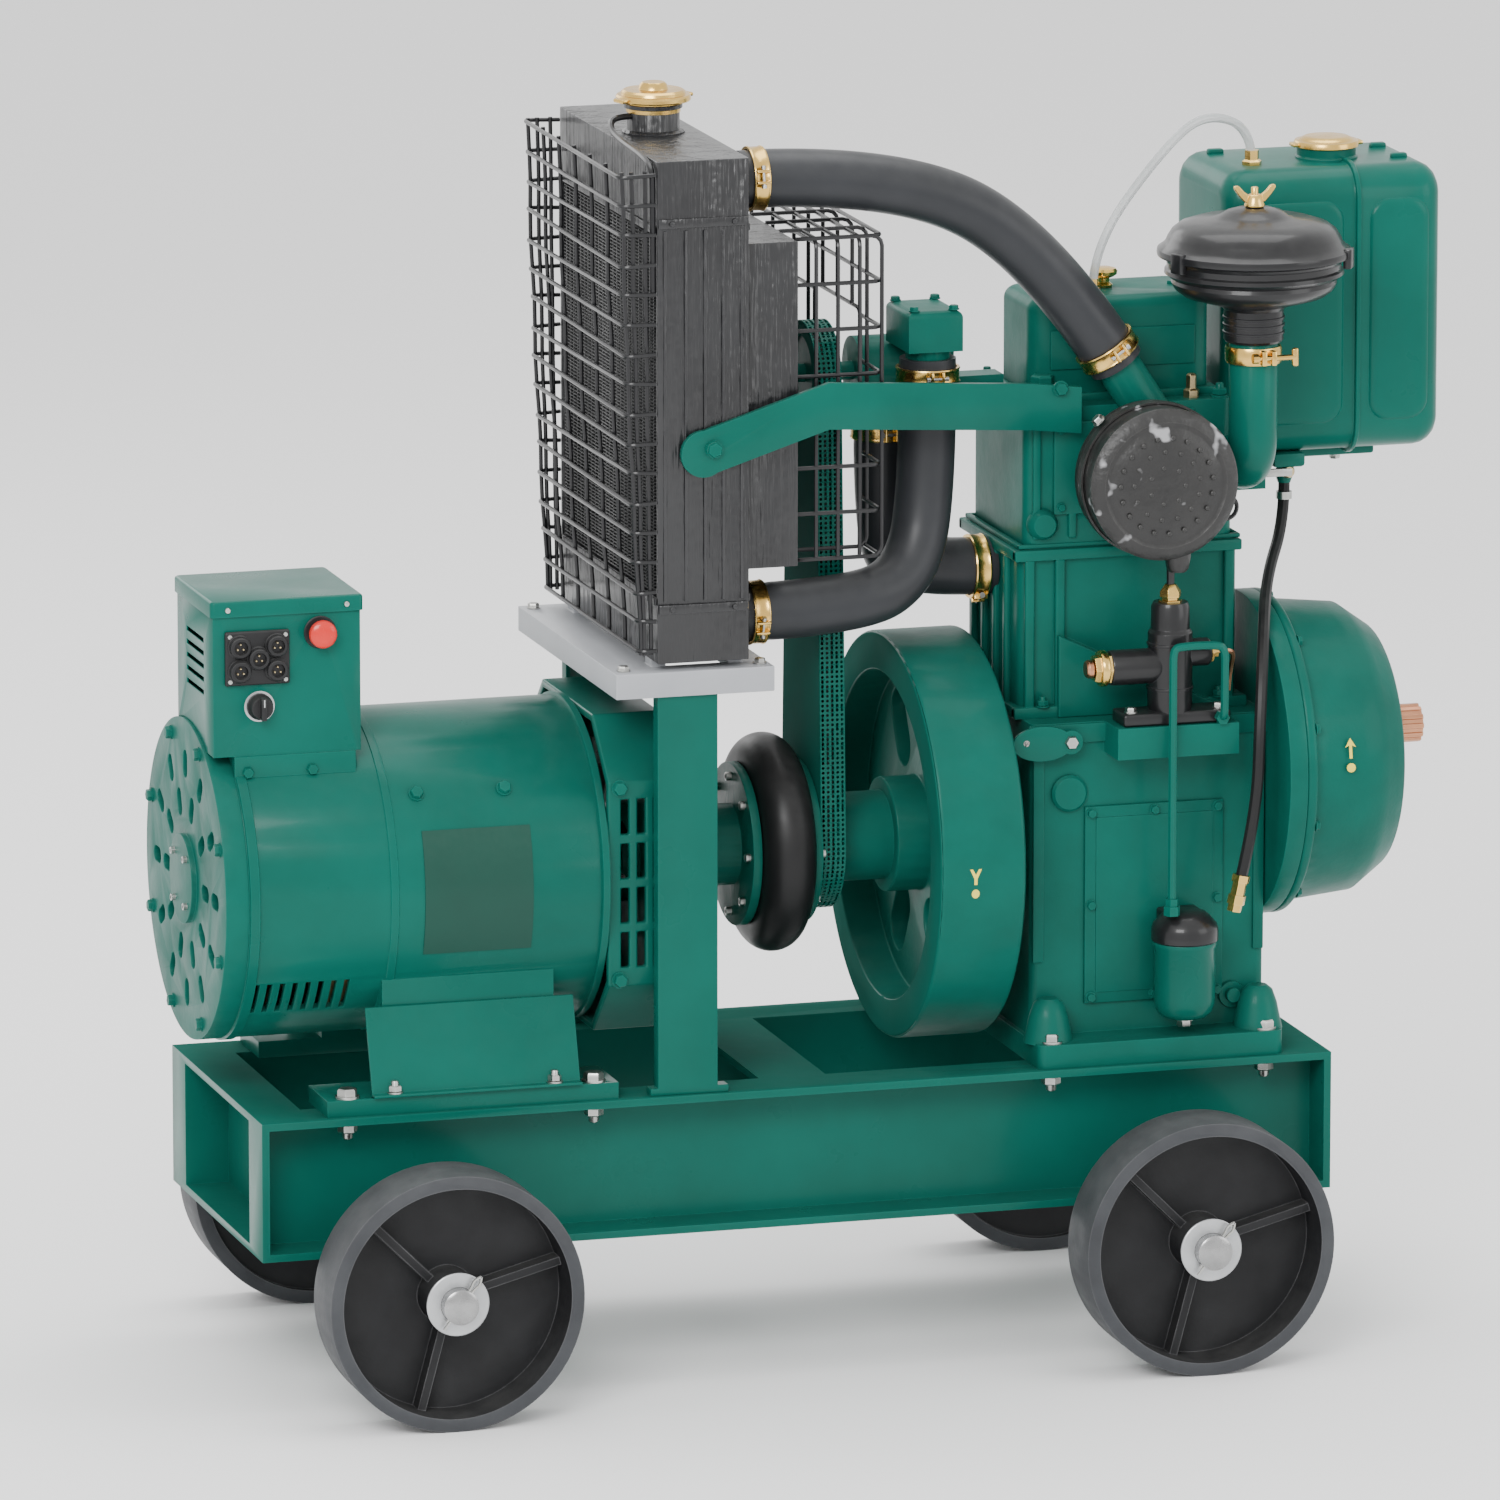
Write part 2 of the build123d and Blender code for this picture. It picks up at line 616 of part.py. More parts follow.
# ---------------------------------------------------------------- tyre coupling
with BuildPart() as coupling_flanges:
    round_x(flange_x[0], flange_x[0] + 10.0, 88.0, 0, shaft_z)
    round_x(hub_end_x[0], coupling_x - 12.0, 44.0, 0, shaft_z)
    round_x(hub_end_x[0], coupling_x, rotor_shaft_radius, 0, shaft_z, mode=Mode.SUBTRACT)
    round_x(flange_x[1], flange_x[1] + 8.0, 88.0, 0, shaft_z)
    round_x(coupling_x + 12.0, hub_end_x[1], 44.0, 0, shaft_z)
    round_x(coupling_x + 11.0, hub_end_x[1] + 1, crank_radius, 0, shaft_z, mode=Mode.SUBTRACT)
coupling_flanges.part.label = "coupling_flanges"
export_step(coupling_flanges.part, "parts/coupling_flanges.step")

with BuildPart() as coupling_tyre:
    with BuildSketch(Plane((0, 0, shaft_z), x_dir=(1, 0, 0), z_dir=(0, -1, 0))):
        with Locations((coupling_x, tyre_radius - tyre_half_width)):
            Circle(tyre_half_width)
        with Locations((coupling_x, tyre_radius - 1.5 * tyre_half_width)):
            Rectangle(2 * tyre_half_width, tyre_half_width)
        with Locations((coupling_x, tyre_radius - tyre_half_width)):
            Circle(tyre_half_width - tyre_wall, mode=Mode.SUBTRACT)
        with Locations((coupling_x, tyre_radius - 1.5 * tyre_half_width - 1.0)):
            Rectangle(2 * (tyre_half_width - tyre_wall), tyre_half_width + 2.0, mode=Mode.SUBTRACT)
    revolve(axis=Axis((0, 0, shaft_z), (1, 0, 0)))
coupling_tyre.part.label = "coupling_tyre"
export_step(coupling_tyre.part, "parts/coupling_tyre.step")

# ---------------------------------------------------------------- crank line
groove = belt_top_width / 2
with BuildPart() as crank_pulley:
    turned_x(
        [
            (belt_x - groove - 3.0, crank_radius),
            (belt_x - groove - 3.0, pulley_radius + 4.0),
            (belt_x - groove - 0.5, pulley_radius + 4.0),
            (belt_x - groove + 3.5, pulley_radius - belt_height - 3.0),
            (belt_x + groove - 3.5, pulley_radius - belt_height - 3.0),
            (belt_x + groove + 0.5, pulley_radius + 4.0),
            (belt_x + groove + 3.0, pulley_radius + 4.0),
            (belt_x + groove + 3.0, 48.0),
            (flywheel_x0, 48.0),
            (flywheel_x0, crank_radius),
        ],
        shaft_z,
    )
crank_pulley.part.label = "crank_pulley"
export_step(crank_pulley.part, "parts/crank_pulley.step")

with BuildPart() as flywheel:
    round_x(flywheel_x0, flywheel_x1, flywheel_radius, 0, shaft_z)
    round_x(flywheel_x0, flywheel_x0 + 40.0, flywheel_radius - 42.0, 0, shaft_z, mode=Mode.SUBTRACT)
    round_x(flywheel_x0 + 62.0, flywheel_x1, flywheel_radius - 42.0, 0, shaft_z, mode=Mode.SUBTRACT)
    round_x(flywheel_x0, flywheel_x1, 62.0, 0, shaft_z)
    with BuildSketch(Plane((flywheel_x0, 0, shaft_z), x_dir=(0, 1, 0), z_dir=(1, 0, 0))):
        with PolarLocations((flywheel_radius + 20.0) / 2, 6):
            SlotOverall(86.0, 50.0)
    extrude(amount=flywheel_width, mode=Mode.SUBTRACT)
    round_x(flywheel_x0, flywheel_x1, crank_radius, 0, shaft_z, mode=Mode.SUBTRACT)
    rims = flywheel.edges().filter_by(GeomType.CIRCLE).group_by(SortBy.RADIUS)[-1]
    chamfer(rims, 3.0)
flywheel.part.label = "flywheel"
export_step(flywheel.part, "parts/flywheel.step")

pin_half = 31.0
web_x = [cylinder_x - pin_half - web_width, cylinder_x + pin_half]
crank_gear_x0 = gear_x0 + 22.0
crank_gear_x1 = crank_gear_x0 + gear_width
with BuildPart() as crankshaft:
    round_x(coupling_x + 12.0, web_x[0], crank_radius, 0, shaft_z)
    round_x(web_x[0], web_x[0] + web_width, web_radius, 0, shaft_z)
    round_x(web_x[1], web_x[1] + web_width, web_radius, 0, shaft_z)
    round_x(web_x[1] + web_width, crank_gear_x0 - 4.0, crank_radius, 0, shaft_z)
    round_x(crank_gear_x0 - 4.0, crank_gear_x1 + 6.0, 24.0, 0, shaft_z)
crankshaft.part.label = "crankshaft"
export_step(crankshaft.part, "parts/crankshaft.step")

to_cam = degrees(atan2(cam_rise, cam_y))  # direction from the crankshaft to the camshaft, from +Y towards +Z
with BuildPart() as crank_gear:
    with BuildSketch(Plane((crank_gear_x0, 0, shaft_z), x_dir=(0, 1, 0), z_dir=(1, 0, 0))):
        with BuildLine():
            Polyline(*gear_outline(crank_teeth, to_cam), close=True)
        make_face()
        Circle(24.0, mode=Mode.SUBTRACT)
    extrude(amount=gear_width)
crank_gear.part.label = "crank_gear"
export_step(crank_gear.part, "parts/crank_gear.step")

cam_shaft_radius = 16.0
starting_journal = starting_shaft_radius - 3.0
toothed_x = gear_x1 + starting_boss + starting_gap
cam_lobes = [cylinder_x - 44.0, cylinder_x + 20.0, cylinder_x + 58.0]
with BuildPart() as camshaft:
    round_x(crank_x - crankcase_length / 2 + 6.0, gear_x1 - case_wall, cam_shaft_radius, cam_y, cam_z)
    for lobe, turn in zip(cam_lobes, (20.0, 140.0, 250.0)):
        with BuildSketch(Plane((lobe, cam_y, cam_z), x_dir=(0, 1, 0), z_dir=(1, 0, 0))):
            Circle(lobe_reach - 3.0)
            with PolarLocations(7.0, 1, start_angle=turn):
                Circle(lobe_reach - 7.0)
        extrude(amount=24.0)
    round_x(gear_x1 - case_wall, toothed_x, starting_journal, cam_y, cam_z)
    round_x(toothed_x, trolley_x + stub_station, starting_shaft_radius, cam_y, cam_z)
camshaft.part.label = "camshaft"
export_step(camshaft.part, "parts/camshaft.step")

with BuildPart() as cam_gear:
    with BuildSketch(Plane((crank_gear_x0, cam_y, cam_z), x_dir=(0, 1, 0), z_dir=(1, 0, 0))):
        with BuildLine():
            Polyline(*gear_outline(cam_teeth, to_cam + 180.0 / cam_teeth), close=True)
        make_face()
        Circle(cam_shaft_radius, mode=Mode.SUBTRACT)
        with PolarLocations(54.0, 5):
            Circle(17.0, mode=Mode.SUBTRACT)
    extrude(amount=gear_width)
cam_gear.part.label = "cam_gear"
export_step(cam_gear.part, "parts/cam_gear.step")

# ---------------------------------------------------------------- crankcase and gear case
crankcase_x0 = crank_x - crankcase_length / 2
crankcase_x1 = case_x0
half_case = crankcase_width / 2
cylinder_spigot = bore_radius + 12.0
pump_deck_y = -(half_case + 48.0)
pump_x = crank_x + 16.0
with BuildPart() as crankcase:
    slab(crankcase_x0, crankcase_x1, -half_case, half_case, deck_z + engine_foot, crankcase_top)
    slab(
        crankcase_x0 - 6.0, crankcase_x1 + 6.0,
        -(half_frame - 6.0), half_frame - 6.0,
        deck_z, deck_z + engine_foot,
    )
    fillet(crankcase.edges().filter_by(Axis.Z), 10.0)
    slab(pump_x - 66.0, pump_x + 70.0, pump_deck_y, -half_case, crankcase_top - 34.0, crankcase_top)
    round_x(crankcase_x0 - 26.0, crankcase_x0, 78.0, 0, shaft_z)
    round_x(case_x0, gear_x0, case_flange_radius, gear_case_y, gear_case_z)
    slab(
        crankcase_x0 + crankcase_wall,
        crankcase_x1 - crankcase_wall,
        -half_case + crankcase_wall,
        half_case - crankcase_wall,
        deck_z + 16.0,
        crankcase_top - crankcase_deck,
        mode=Mode.SUBTRACT,
    )
    round_z(crankcase_top - 20.0, crankcase_top, cylinder_spigot, cylinder_x, 0, mode=Mode.SUBTRACT)
    round_x(crankcase_x0 - 26.0, gear_x0, crank_radius + bush_wall, 0, shaft_z, mode=Mode.SUBTRACT)
    round_x(crankcase_x1 - 20.0, gear_x0, cam_shaft_radius + running, cam_y, cam_z, mode=Mode.SUBTRACT)
    round_x(
        crankcase_x0 + 2.0,
        crankcase_x0 + 20.0,
        cam_shaft_radius + running,
        cam_y,
        cam_z,
        mode=Mode.SUBTRACT,
    )
    for x, y in bolt_spots:
        if x in engine_bolt_x:
            round_z(deck_z, deck_z + engine_foot, foot_bolt + slip, x, y, mode=Mode.SUBTRACT)
crankcase.part.label = "crankcase"
export_step(crankcase.part, "parts/crankcase.step")

with BuildPart() as gear_case:
    turned_x(
        [
            (gear_x0, 0.0),
            (gear_x0, case_flange_radius),
            (gear_x0 + case_flange, case_flange_radius),
            (gear_x0 + case_flange, drum_radius),
            (gear_x0 + gear_case_depth * 0.72, drum_radius - 8.0),
            (gear_x1, nose_radius),
            (gear_x1, 0.0),
        ],
        gear_case_z,
        gear_case_y,
    )
    turned_x(
        [
            (gear_x0, 0.0),
            (gear_x0, drum_radius - case_wall),
            (gear_x0 + gear_case_depth * 0.72 - 4.0, drum_radius - 8.0 - case_wall),
            (gear_x1 - case_wall, nose_radius - case_wall),
            (gear_x1 - case_wall, 0.0),
        ],
        gear_case_z,
        gear_case_y,
        mode=Mode.SUBTRACT,
    )
    round_x(gear_x1 - case_wall, gear_x1 + starting_boss, 42.0, cam_y, cam_z)
    round_x(
        gear_x1 - case_wall,
        gear_x1 + starting_boss,
        starting_journal + running,
        cam_y,
        cam_z,
        mode=Mode.SUBTRACT,
    )
gear_case.part.label = "gear_case"
export_step(gear_case.part, "parts/gear_case.step")

# ---------------------------------------------------------------- cylinder, piston and head
block_x0 = cylinder_x - block_length / 2
block_x1 = cylinder_x + block_length / 2
half_block = block_width / 2
liner_wall = 8.0
water_in_z = crankcase_top + 149.0
with BuildPart() as cylinder_block:
    slab(block_x0, block_x1, -half_block, half_block, crankcase_top, deck_face)
    fillet(cylinder_block.edges().filter_by(Axis.Z), 14.0)
    round_x(block_x0 - 30.0, block_x0, hose_bore, 0, water_in_z)
    round_z(crankcase_top + 24.0, deck_face - 16.0, half_block - 12.0, cylinder_x, 0, mode=Mode.SUBTRACT)
    round_z(crankcase_top, deck_face, bore_radius + liner_wall, cylinder_x, 0)
    with BuildSketch(Plane.XZ.offset(half_block)):
        with BuildLine():
            Polyline(
                (block_x0 + 40.0, crankcase_top),
                (block_x0 + 40.0, crankcase_top + 90.0),
                (block_x1 - 14.0, crankcase_top),
                close=True,
            )
        make_face()
    extrude(amount=14.0)
    round_z(crankcase_top, deck_face, bore_radius, cylinder_x, 0, mode=Mode.SUBTRACT)
cylinder_block.part.label = "cylinder_block"
export_step(cylinder_block.part, "parts/cylinder_block.step")

big_end_z = shaft_z - crank_throw
small_end_z = big_end_z + rod_length
crown_z = small_end_z + pin_height
gudgeon_radius = 13.0
with BuildPart() as piston:
    round_z(crown_z - piston_height, crown_z, bore_radius - running, cylinder_x, 0)
    for ring in range(3):
        z = crown_z - 10.0 - ring * 9.0
        round_z(z - 3.0, z, bore_radius + 1, cylinder_x, 0, mode=Mode.SUBTRACT)
        round_z(z - 3.0, z, bore_radius - 3.0, cylinder_x, 0)
    round_z(
        crown_z - piston_height,
        crown_z - pin_height + gudgeon_radius + 12.0,
        bore_radius - 8.0,
        cylinder_x,
        0,
        mode=Mode.SUBTRACT,
    )
    round_x(cylinder_x - bore_radius + 5.0, cylinder_x + bore_radius - 5.0, gudgeon_radius, 0, small_end_z)
piston.part.label = "piston"
export_step(piston.part, "parts/piston.step")

rod_half = 14.0
with BuildPart() as connecting_rod:
    round_x(cylinder_x - rod_half, cylinder_x + rod_half, crank_pin_radius + 14.0, 0, big_end_z)
    round_x(cylinder_x - rod_half, cylinder_x + rod_half, gudgeon_radius + 8.0, 0, small_end_z)
    slab(cylinder_x - 6.0, cylinder_x + 6.0, -15.0, 15.0, big_end_z, small_end_z)
    round_x(cylinder_x - 20.0, cylinder_x + 20.0, gudgeon_radius, 0, small_end_z, mode=Mode.SUBTRACT)
    round_x(cylinder_x - pin_half + clear, cylinder_x + pin_half - clear, crank_pin_radius, 0, big_end_z)
connecting_rod.part.label = "connecting_rod"
export_step(connecting_rod.part, "parts/connecting_rod.step")

valve_x = [cylinder_x - 19.0, cylinder_x + 21.0]
valve_radius = [18.0, 16.0]
stem = 4.5
spring_seat = head_top
intake_x = crank_x + 113.0
intake_y = -(half_block + 45.0)
intake_z = deck_face + 79.0
boss_radius = 30.0
exhaust_x = cylinder_x + 6.0
exhaust_z = deck_face + 80.0
water_out_x = cylinder_x + 20.0
hose_y = -half_block - 6.0  # the top hose's end, beside the rocker cover
top_hose_end = (cylinder_x - 18.0, hose_y, head_top + 46.0)
top_hose_knee = (cylinder_x - 109.0, hose_y, head_top + 184.0)
outlet_fall = degrees(atan2(top_hose_end[0] - top_hose_knee[0], top_hose_knee[2] - top_hose_end[2]))
outlet_overlap = 30.0  # how far the outlet reaches up inside the hose
outlet_place = Location(
    (
        top_hose_end[0] - outlet_overlap * sin(radians(outlet_fall)),
        hose_y,
        top_hose_end[2] + outlet_overlap * cos(radians(outlet_fall)),
    ),
    (0, -outlet_fall, 0),
)
with BuildPart() as cylinder_head:
    slab(block_x0 + 6.0, block_x1 - 6.0, -half_block, half_block, deck_face, head_top)
    fillet(cylinder_head.edges().filter_by(Axis.Z), 14.0)
    with Locations(outlet_place):
        Cylinder(hose_bore, 112.0, align=(Align.CENTER, Align.CENTER, Align.MAX))
    slab(
        water_out_x - 22.0, water_out_x + 38.0,
        -half_block - 24.0, -half_block + 10.0,
        exhaust_z + 27.0, head_top - 8.0,
    )
    slab(
        block_x1 - 40.0, intake_x + boss_radius,
        -half_block, -half_block + 60.0,
        intake_z - boss_radius, intake_z + boss_radius,
    )
    for x0, x1 in ((block_x0 + 22.0, cylinder_x - 42.0), (cylinder_x + 44.0, block_x1 - 22.0)):
        slab(
            x0, x1,
            -half_block + 62.0, half_block - 14.0,
            deck_face + 16.0, head_top - 16.0,
            mode=Mode.SUBTRACT,
        )
    round_z(deck_face, deck_face + valve_lift + 4.0, 38.5, cylinder_x, 0, mode=Mode.SUBTRACT)
    for x in valve_x:
        round_z(deck_face, head_top, stem + running, x, 0, mode=Mode.SUBTRACT)
    round_y(-half_block, -half_block + 50.0, 18.0, exhaust_x, exhaust_z, mode=Mode.SUBTRACT)
    round_y(-half_block, -half_block + 50.0, 18.0, intake_x, intake_z, mode=Mode.SUBTRACT)
cylinder_head.part.label = "cylinder_head"
export_step(cylinder_head.part, "parts/cylinder_head.step")

valve_face = deck_face + valve_lift + 4.0
valves = [("inlet_valve", valve_x[0], valve_radius[0]), ("exhaust_valve", valve_x[1], valve_radius[1])]
for name, x, radius in valves:
    with BuildPart() as valve:
        round_z(valve_face - 3.5, valve_face - clear, radius, x, 0)
        round_z(valve_face - 3.5, head_top + 46.0, stem, x, 0)
        round_z(head_top + 38.0, head_top + 42.0, 15.0, x, 0)
    valve.part.label = name
    export_step(valve.part, f"parts/{name}.step")

cover_half = 60.0
knob_seat_x = cylinder_x
with BuildPart() as rocker_cover:
    slab(block_x0 + 24.0, block_x1 - 20.0, -cover_half, cover_half, head_top, cover_top)
    fillet(rocker_cover.edges().filter_by(Axis.Z), 22.0)
    fillet(rocker_cover.faces().sort_by(Axis.Z)[-1].edges(), 14.0)
    slab(
        block_x0 + 30.0, block_x1 - 26.0,
        -cover_half + 8.0, cover_half - 8.0,
        head_top, cover_top - 14.0,
        mode=Mode.SUBTRACT,
    )
    round_z(cover_top - 20.0, cover_top, 6.0 + running, knob_seat_x, 0, mode=Mode.SUBTRACT)
rocker_cover.part.label = "rocker_cover"
export_step(rocker_cover.part, "parts/rocker_cover.step")

with BuildPart() as filler_knob:
    round_z(cover_top - 12.0, cover_top + 8.0, 6.0, knob_seat_x, 0)
    round_z(cover_top + clear, cover_top + 8.0, 11.0, knob_seat_x, 0)
    round_z(cover_top + 8.0, cover_top + 22.0, 15.0, knob_seat_x, 0)
    fillet(filler_knob.edges().filter_by(GeomType.CIRCLE).sort_by(Axis.Z)[-1], 5.0)
filler_knob.part.label = "filler_knob"
export_step(filler_knob.part, "parts/filler_knob.step")

# ---------------------------------------------------------------- fuel, air and exhaust
pump_y = pump_deck_y + 26.0
with BuildPart() as injection_pump:
    slab(pump_x - 58.0, pump_x + 62.0, pump_y - 22.0, pump_y + 22.0, crankcase_top, crankcase_top + 14.0)
    round_z(crankcase_top + 14.0, crankcase_top + 132.0, 24.0, pump_x, pump_y)
    round_x(pump_x - 92.0, pump_x, 19.0, pump_y, crankcase_top + 62.0)
    round_x(pump_x, pump_x + 44.0, 15.0, pump_y, crankcase_top + 74.0)
    round_z(crankcase_top + 132.0, crankcase_top + 150.0, 12.0, pump_x, pump_y)
injection_pump.part.label = "injection_pump"
export_step(injection_pump.part, "parts/injection_pump.step")

filter_x = crank_x + 30.0
filter_y = -(half_case + 36.0)
filter_z0 = deck_z + 34.0
with BuildPart() as fuel_filter:
    round_z(filter_z0 + 12.0, filter_z0 + 108.0, 33.0, filter_x, filter_y)
    round_z(filter_z0, filter_z0 + 12.0, 11.0, filter_x, filter_y)
    round_z(filter_z0 + 108.0, filter_z0 + 128.0, 36.0, filter_x, filter_y)
    slab(filter_x - 22.0, filter_x + 22.0, filter_y, -half_case, filter_z0 + 110.0, filter_z0 + 126.0)
fuel_filter.part.label = "fuel_filter"
export_step(fuel_filter.part, "parts/fuel_filter.step")

tank_x0 = trolley_x + tank_station
tank_x1 = tank_x0 + tank_length
tank_y1 = tank_near + tank_width
tank_z0 = deck_z + tank_bottom
tank_z1 = tank_z0 + tank_height
seam_x = tank_x0 + tank_length * 0.6
cap_x = tank_x0 + tank_length * 0.56
cap_y = tank_near + tank_width * 0.42
tank_corner = 34.0
tap_x = tank_x0 + 76.0
tap_y = tank_near + 30.0
tap_z = tank_z0 - 20.0
cleaner_z = intake_z + 167.0  # underside of the air cleaner's bowl
cleaner_radius = 104.0
clamp_radius = 30.0
silencer_radius = 82.0
silencer_z = exhaust_z
silencer_y1 = -half_block - 32.0
silencer_y0 = silencer_y1 - 80.0

with BuildPart() as tank_space:
    slab(
        tank_x0 + sheet, tank_x1 - sheet,
        tank_near + sheet, tank_y1 - sheet,
        tank_z0 + sheet, tank_z1 - sheet,
    )
    fillet(tank_space.edges(), tank_corner - sheet)
with BuildPart() as fuel_tank:
    slab(tank_x0, tank_x1, tank_near, tank_y1, tank_z0, tank_z1)
    fillet(fuel_tank.edges(), tank_corner)
    slab(seam_x - 1.5, seam_x + 1.5, tank_near - 5.0, tank_y1 + 5.0, tank_z0 + 34.0, tank_z1 - 34.0)
    slab(tank_x0 - 12.0, tank_x1 - 70.0, tank_near + 50.0, tank_near + 130.0, tank_z0 - 8.0, tank_z0 + 1.0)
    slab(tank_x0 - 12.0, tank_x0 - 5.0, tank_near + 50.0, tank_near + 130.0, tank_z0 - 60.0, tank_z0 + 1.0)
    round_z(tank_z1 - 6.0, tank_z1 + 12.0, 27.0, cap_x, cap_y)
    round_z(tank_z0 - 34.0, tank_z0 + 6.0, 9.0, tap_x, tap_y)
    round_y(tap_y - 14.0, tap_y, 7.0, tap_x, tap_z)
    add(tank_space.part, mode=Mode.SUBTRACT)
    round_z(tank_z1 - 8.0, tank_z1 + 12.0, 24.0, cap_x, cap_y, mode=Mode.SUBTRACT)
    round_y(tap_y - 14.0, tap_y - 2.0, 4.0 + running, tap_x, tap_z, mode=Mode.SUBTRACT)
fuel_tank.part.label = "fuel_tank"
export_step(fuel_tank.part, "parts/fuel_tank.step")

with BuildPart() as tank_cap:
    round_z(tank_z1 + 12.0 + clear, tank_z1 + 24.0, 35.0, cap_x, cap_y)
    round_z(tank_z1 + 2.0, tank_z1 + 14.0, 24.0 - running, cap_x, cap_y)
    slab(cap_x - 40.0, cap_x + 40.0, cap_y - 6.0, cap_y + 6.0, tank_z1 + 16.0, tank_z1 + 22.0)
tank_cap.part.label = "tank_cap"
export_step(tank_cap.part, "parts/tank_cap.step")

with BuildPart() as fuel_tap:
    round_y(tap_y - 18.0, tap_y - 3.0, 4.0, tap_x, tap_z)
    slab(tap_x - 32.0, tap_x + 8.0, tap_y - 20.0, tap_y - 16.0, tap_z - 5.0, tap_z + 5.0)
fuel_tap.part.label = "fuel_tap"
export_step(fuel_tap.part, "parts/fuel_tap.step")

with BuildPart() as air_cleaner:
    turned_z(
        [
            (0.0, cleaner_z - 27.0),
            (clamp_radius - 2.0, cleaner_z - 27.0),
            (clamp_radius - 2.0, cleaner_z),
            (52.0, cleaner_z + 6.0),
            (74.0, cleaner_z + 30.0),
            (86.0, cleaner_z + 48.0),
            (cleaner_radius, cleaner_z + 56.0),
            (cleaner_radius, cleaner_z + 66.0),
            (cleaner_radius - 8.0, cleaner_z + 86.0),
            (66.0, cleaner_z + 106.0),
            (26.0, cleaner_z + 118.0),
            (0.0, cleaner_z + 118.0),
        ],
        intake_x,
        intake_y,
    )
    round_z(cleaner_z - 27.0, cleaner_z + 30.0, 22.0, intake_x, intake_y, mode=Mode.SUBTRACT)
air_cleaner.part.label = "air_cleaner"
export_step(air_cleaner.part, "parts/air_cleaner.step")

with BuildPart() as wing_nut:
    round_z(cleaner_z + 118.0 + clear, cleaner_z + 132.0, 11.0, intake_x, intake_y)
    slab(
        intake_x - 24.0, intake_x + 24.0,
        intake_y - 2.5, intake_y + 2.5,
        cleaner_z + 124.0, cleaner_z + 142.0,
    )
wing_nut.part.label = "wing_nut"
export_step(wing_nut.part, "parts/wing_nut.step")

with BuildPart() as intake_pipe:
    tube(
        [
            (intake_x, intake_y, cleaner_z - 27.0),
            (intake_x, intake_y, intake_z),
            (intake_x, -half_block, intake_z),
        ],
        [38.0],
        clamp_radius - 4.0,
        18.0,
    )
intake_pipe.part.label = "intake_pipe"
export_step(intake_pipe.part, "parts/intake_pipe.step")

with BuildPart() as silencer:
    round_y(silencer_y0, silencer_y1, silencer_radius, exhaust_x, silencer_z)
    fillet(silencer.edges(), 12.0)
    round_y(
        silencer_y0 + 3.0,
        silencer_y1 - 3.0,
        silencer_radius - 12.0,
        exhaust_x,
        silencer_z,
        mode=Mode.SUBTRACT,
    )
    round_y(silencer_y1 - 3.0, -half_block, 24.0, exhaust_x, silencer_z)
    round_y(silencer_y1 - 4.0, -half_block, 18.0, exhaust_x, silencer_z, mode=Mode.SUBTRACT)
    round_z(
        silencer_z - silencer_radius - 6.0,
        silencer_z - silencer_radius + 16.0,
        14.0,
        exhaust_x + 20.0,
        silencer_y0 + 26.0,
    )
silencer.part.label = "silencer"
export_step(silencer.part, "parts/silencer.step")

lever_x = flywheel_x1 + 71.0
lever_z = crankcase_top - 18.0
lever_y = -half_case - 12.0
with BuildPart() as governor_lever:
    with BuildSketch(Plane.XZ.offset(-lever_y)):
        with Locations((lever_x - 32.0, lever_z)):
            Ellipse(34.0, 19.0)
        with Locations((lever_x, lever_z)):
            Circle(13.0)
    extrude(amount=5.0)
    round_y(lever_y, -half_case - clear, 7.0, lever_x, lever_z)
governor_lever.part.label = "governor_lever"
export_step(governor_lever.part, "parts/governor_lever.step")

# ---------------------------------------------------------------- lines
def even_bends(points):
    """the largest radii that fit each corner of a route"""
    radii = []
    for before, here, after in zip(points, points[1:], points[2:]):
        first = Vector(*here) - Vector(*before)
        second = Vector(*after) - Vector(*here)
        half_turn = radians(first.get_angle(second)) / 2
        radii.append(0.45 * min(first.length, second.length) / tan(half_turn))
    return radii


supply_route = [
    (tap_x, tap_y, tank_z0 - 34.0),
    (tap_x, tap_y, tank_z0 - 78.0),
    (crank_x + 152.0, -72.0, crankcase_top + 132.0),
    (crank_x + 118.0, -half_case - 30.0, crankcase_top + 84.0),
    (crank_x + 102.0, pump_deck_y - 22.0, crankcase_top + 4.0),
    (crank_x + 98.0, pump_deck_y - 24.0, crankcase_top - 96.0),
    (crank_x + 80.0, pump_deck_y - 20.0, crankcase_top - 176.0),
]
return_route = [
    (cylinder_x - 20.0, -24.0, cover_top),
    (cylinder_x - 20.0, -24.0, cover_top + 50.0),
    (crank_x + 54.0, -14.0, cover_top + 152.0),
    (crank_x + 104.0, 0.0, cover_top + 184.0),
    (crank_x + 166.0, 28.0, cover_top + 160.0),
    (crank_x + 166.0, 28.0, tank_z1),
]
oil_route = [
    (pump_x - 8.0, pump_deck_y - 10.0, filter_z0 + 128.0),
    (pump_x - 8.0, pump_deck_y - 10.0, crankcase_top + 88.0),
    (pump_x + 50.0, pump_deck_y - 10.0, crankcase_top + 88.0),
    (pump_x + 50.0, pump_deck_y - 10.0, crankcase_top + 7.0),
    (pump_x + 50.0, pump_y - 22.0, crankcase_top + 7.0),
]
with BuildPart() as fuel_and_oil_lines:
    tube(supply_route, even_bends(supply_route), 6.5)
    tube(return_route, even_bends(return_route), 5.0)
    tube(oil_route, [14.0, 14.0, 6.0], 4.5)
fuel_and_oil_lines.part.label = "fuel_and_oil_lines"
export_step(fuel_and_oil_lines.part, "parts/fuel_and_oil_lines.step")

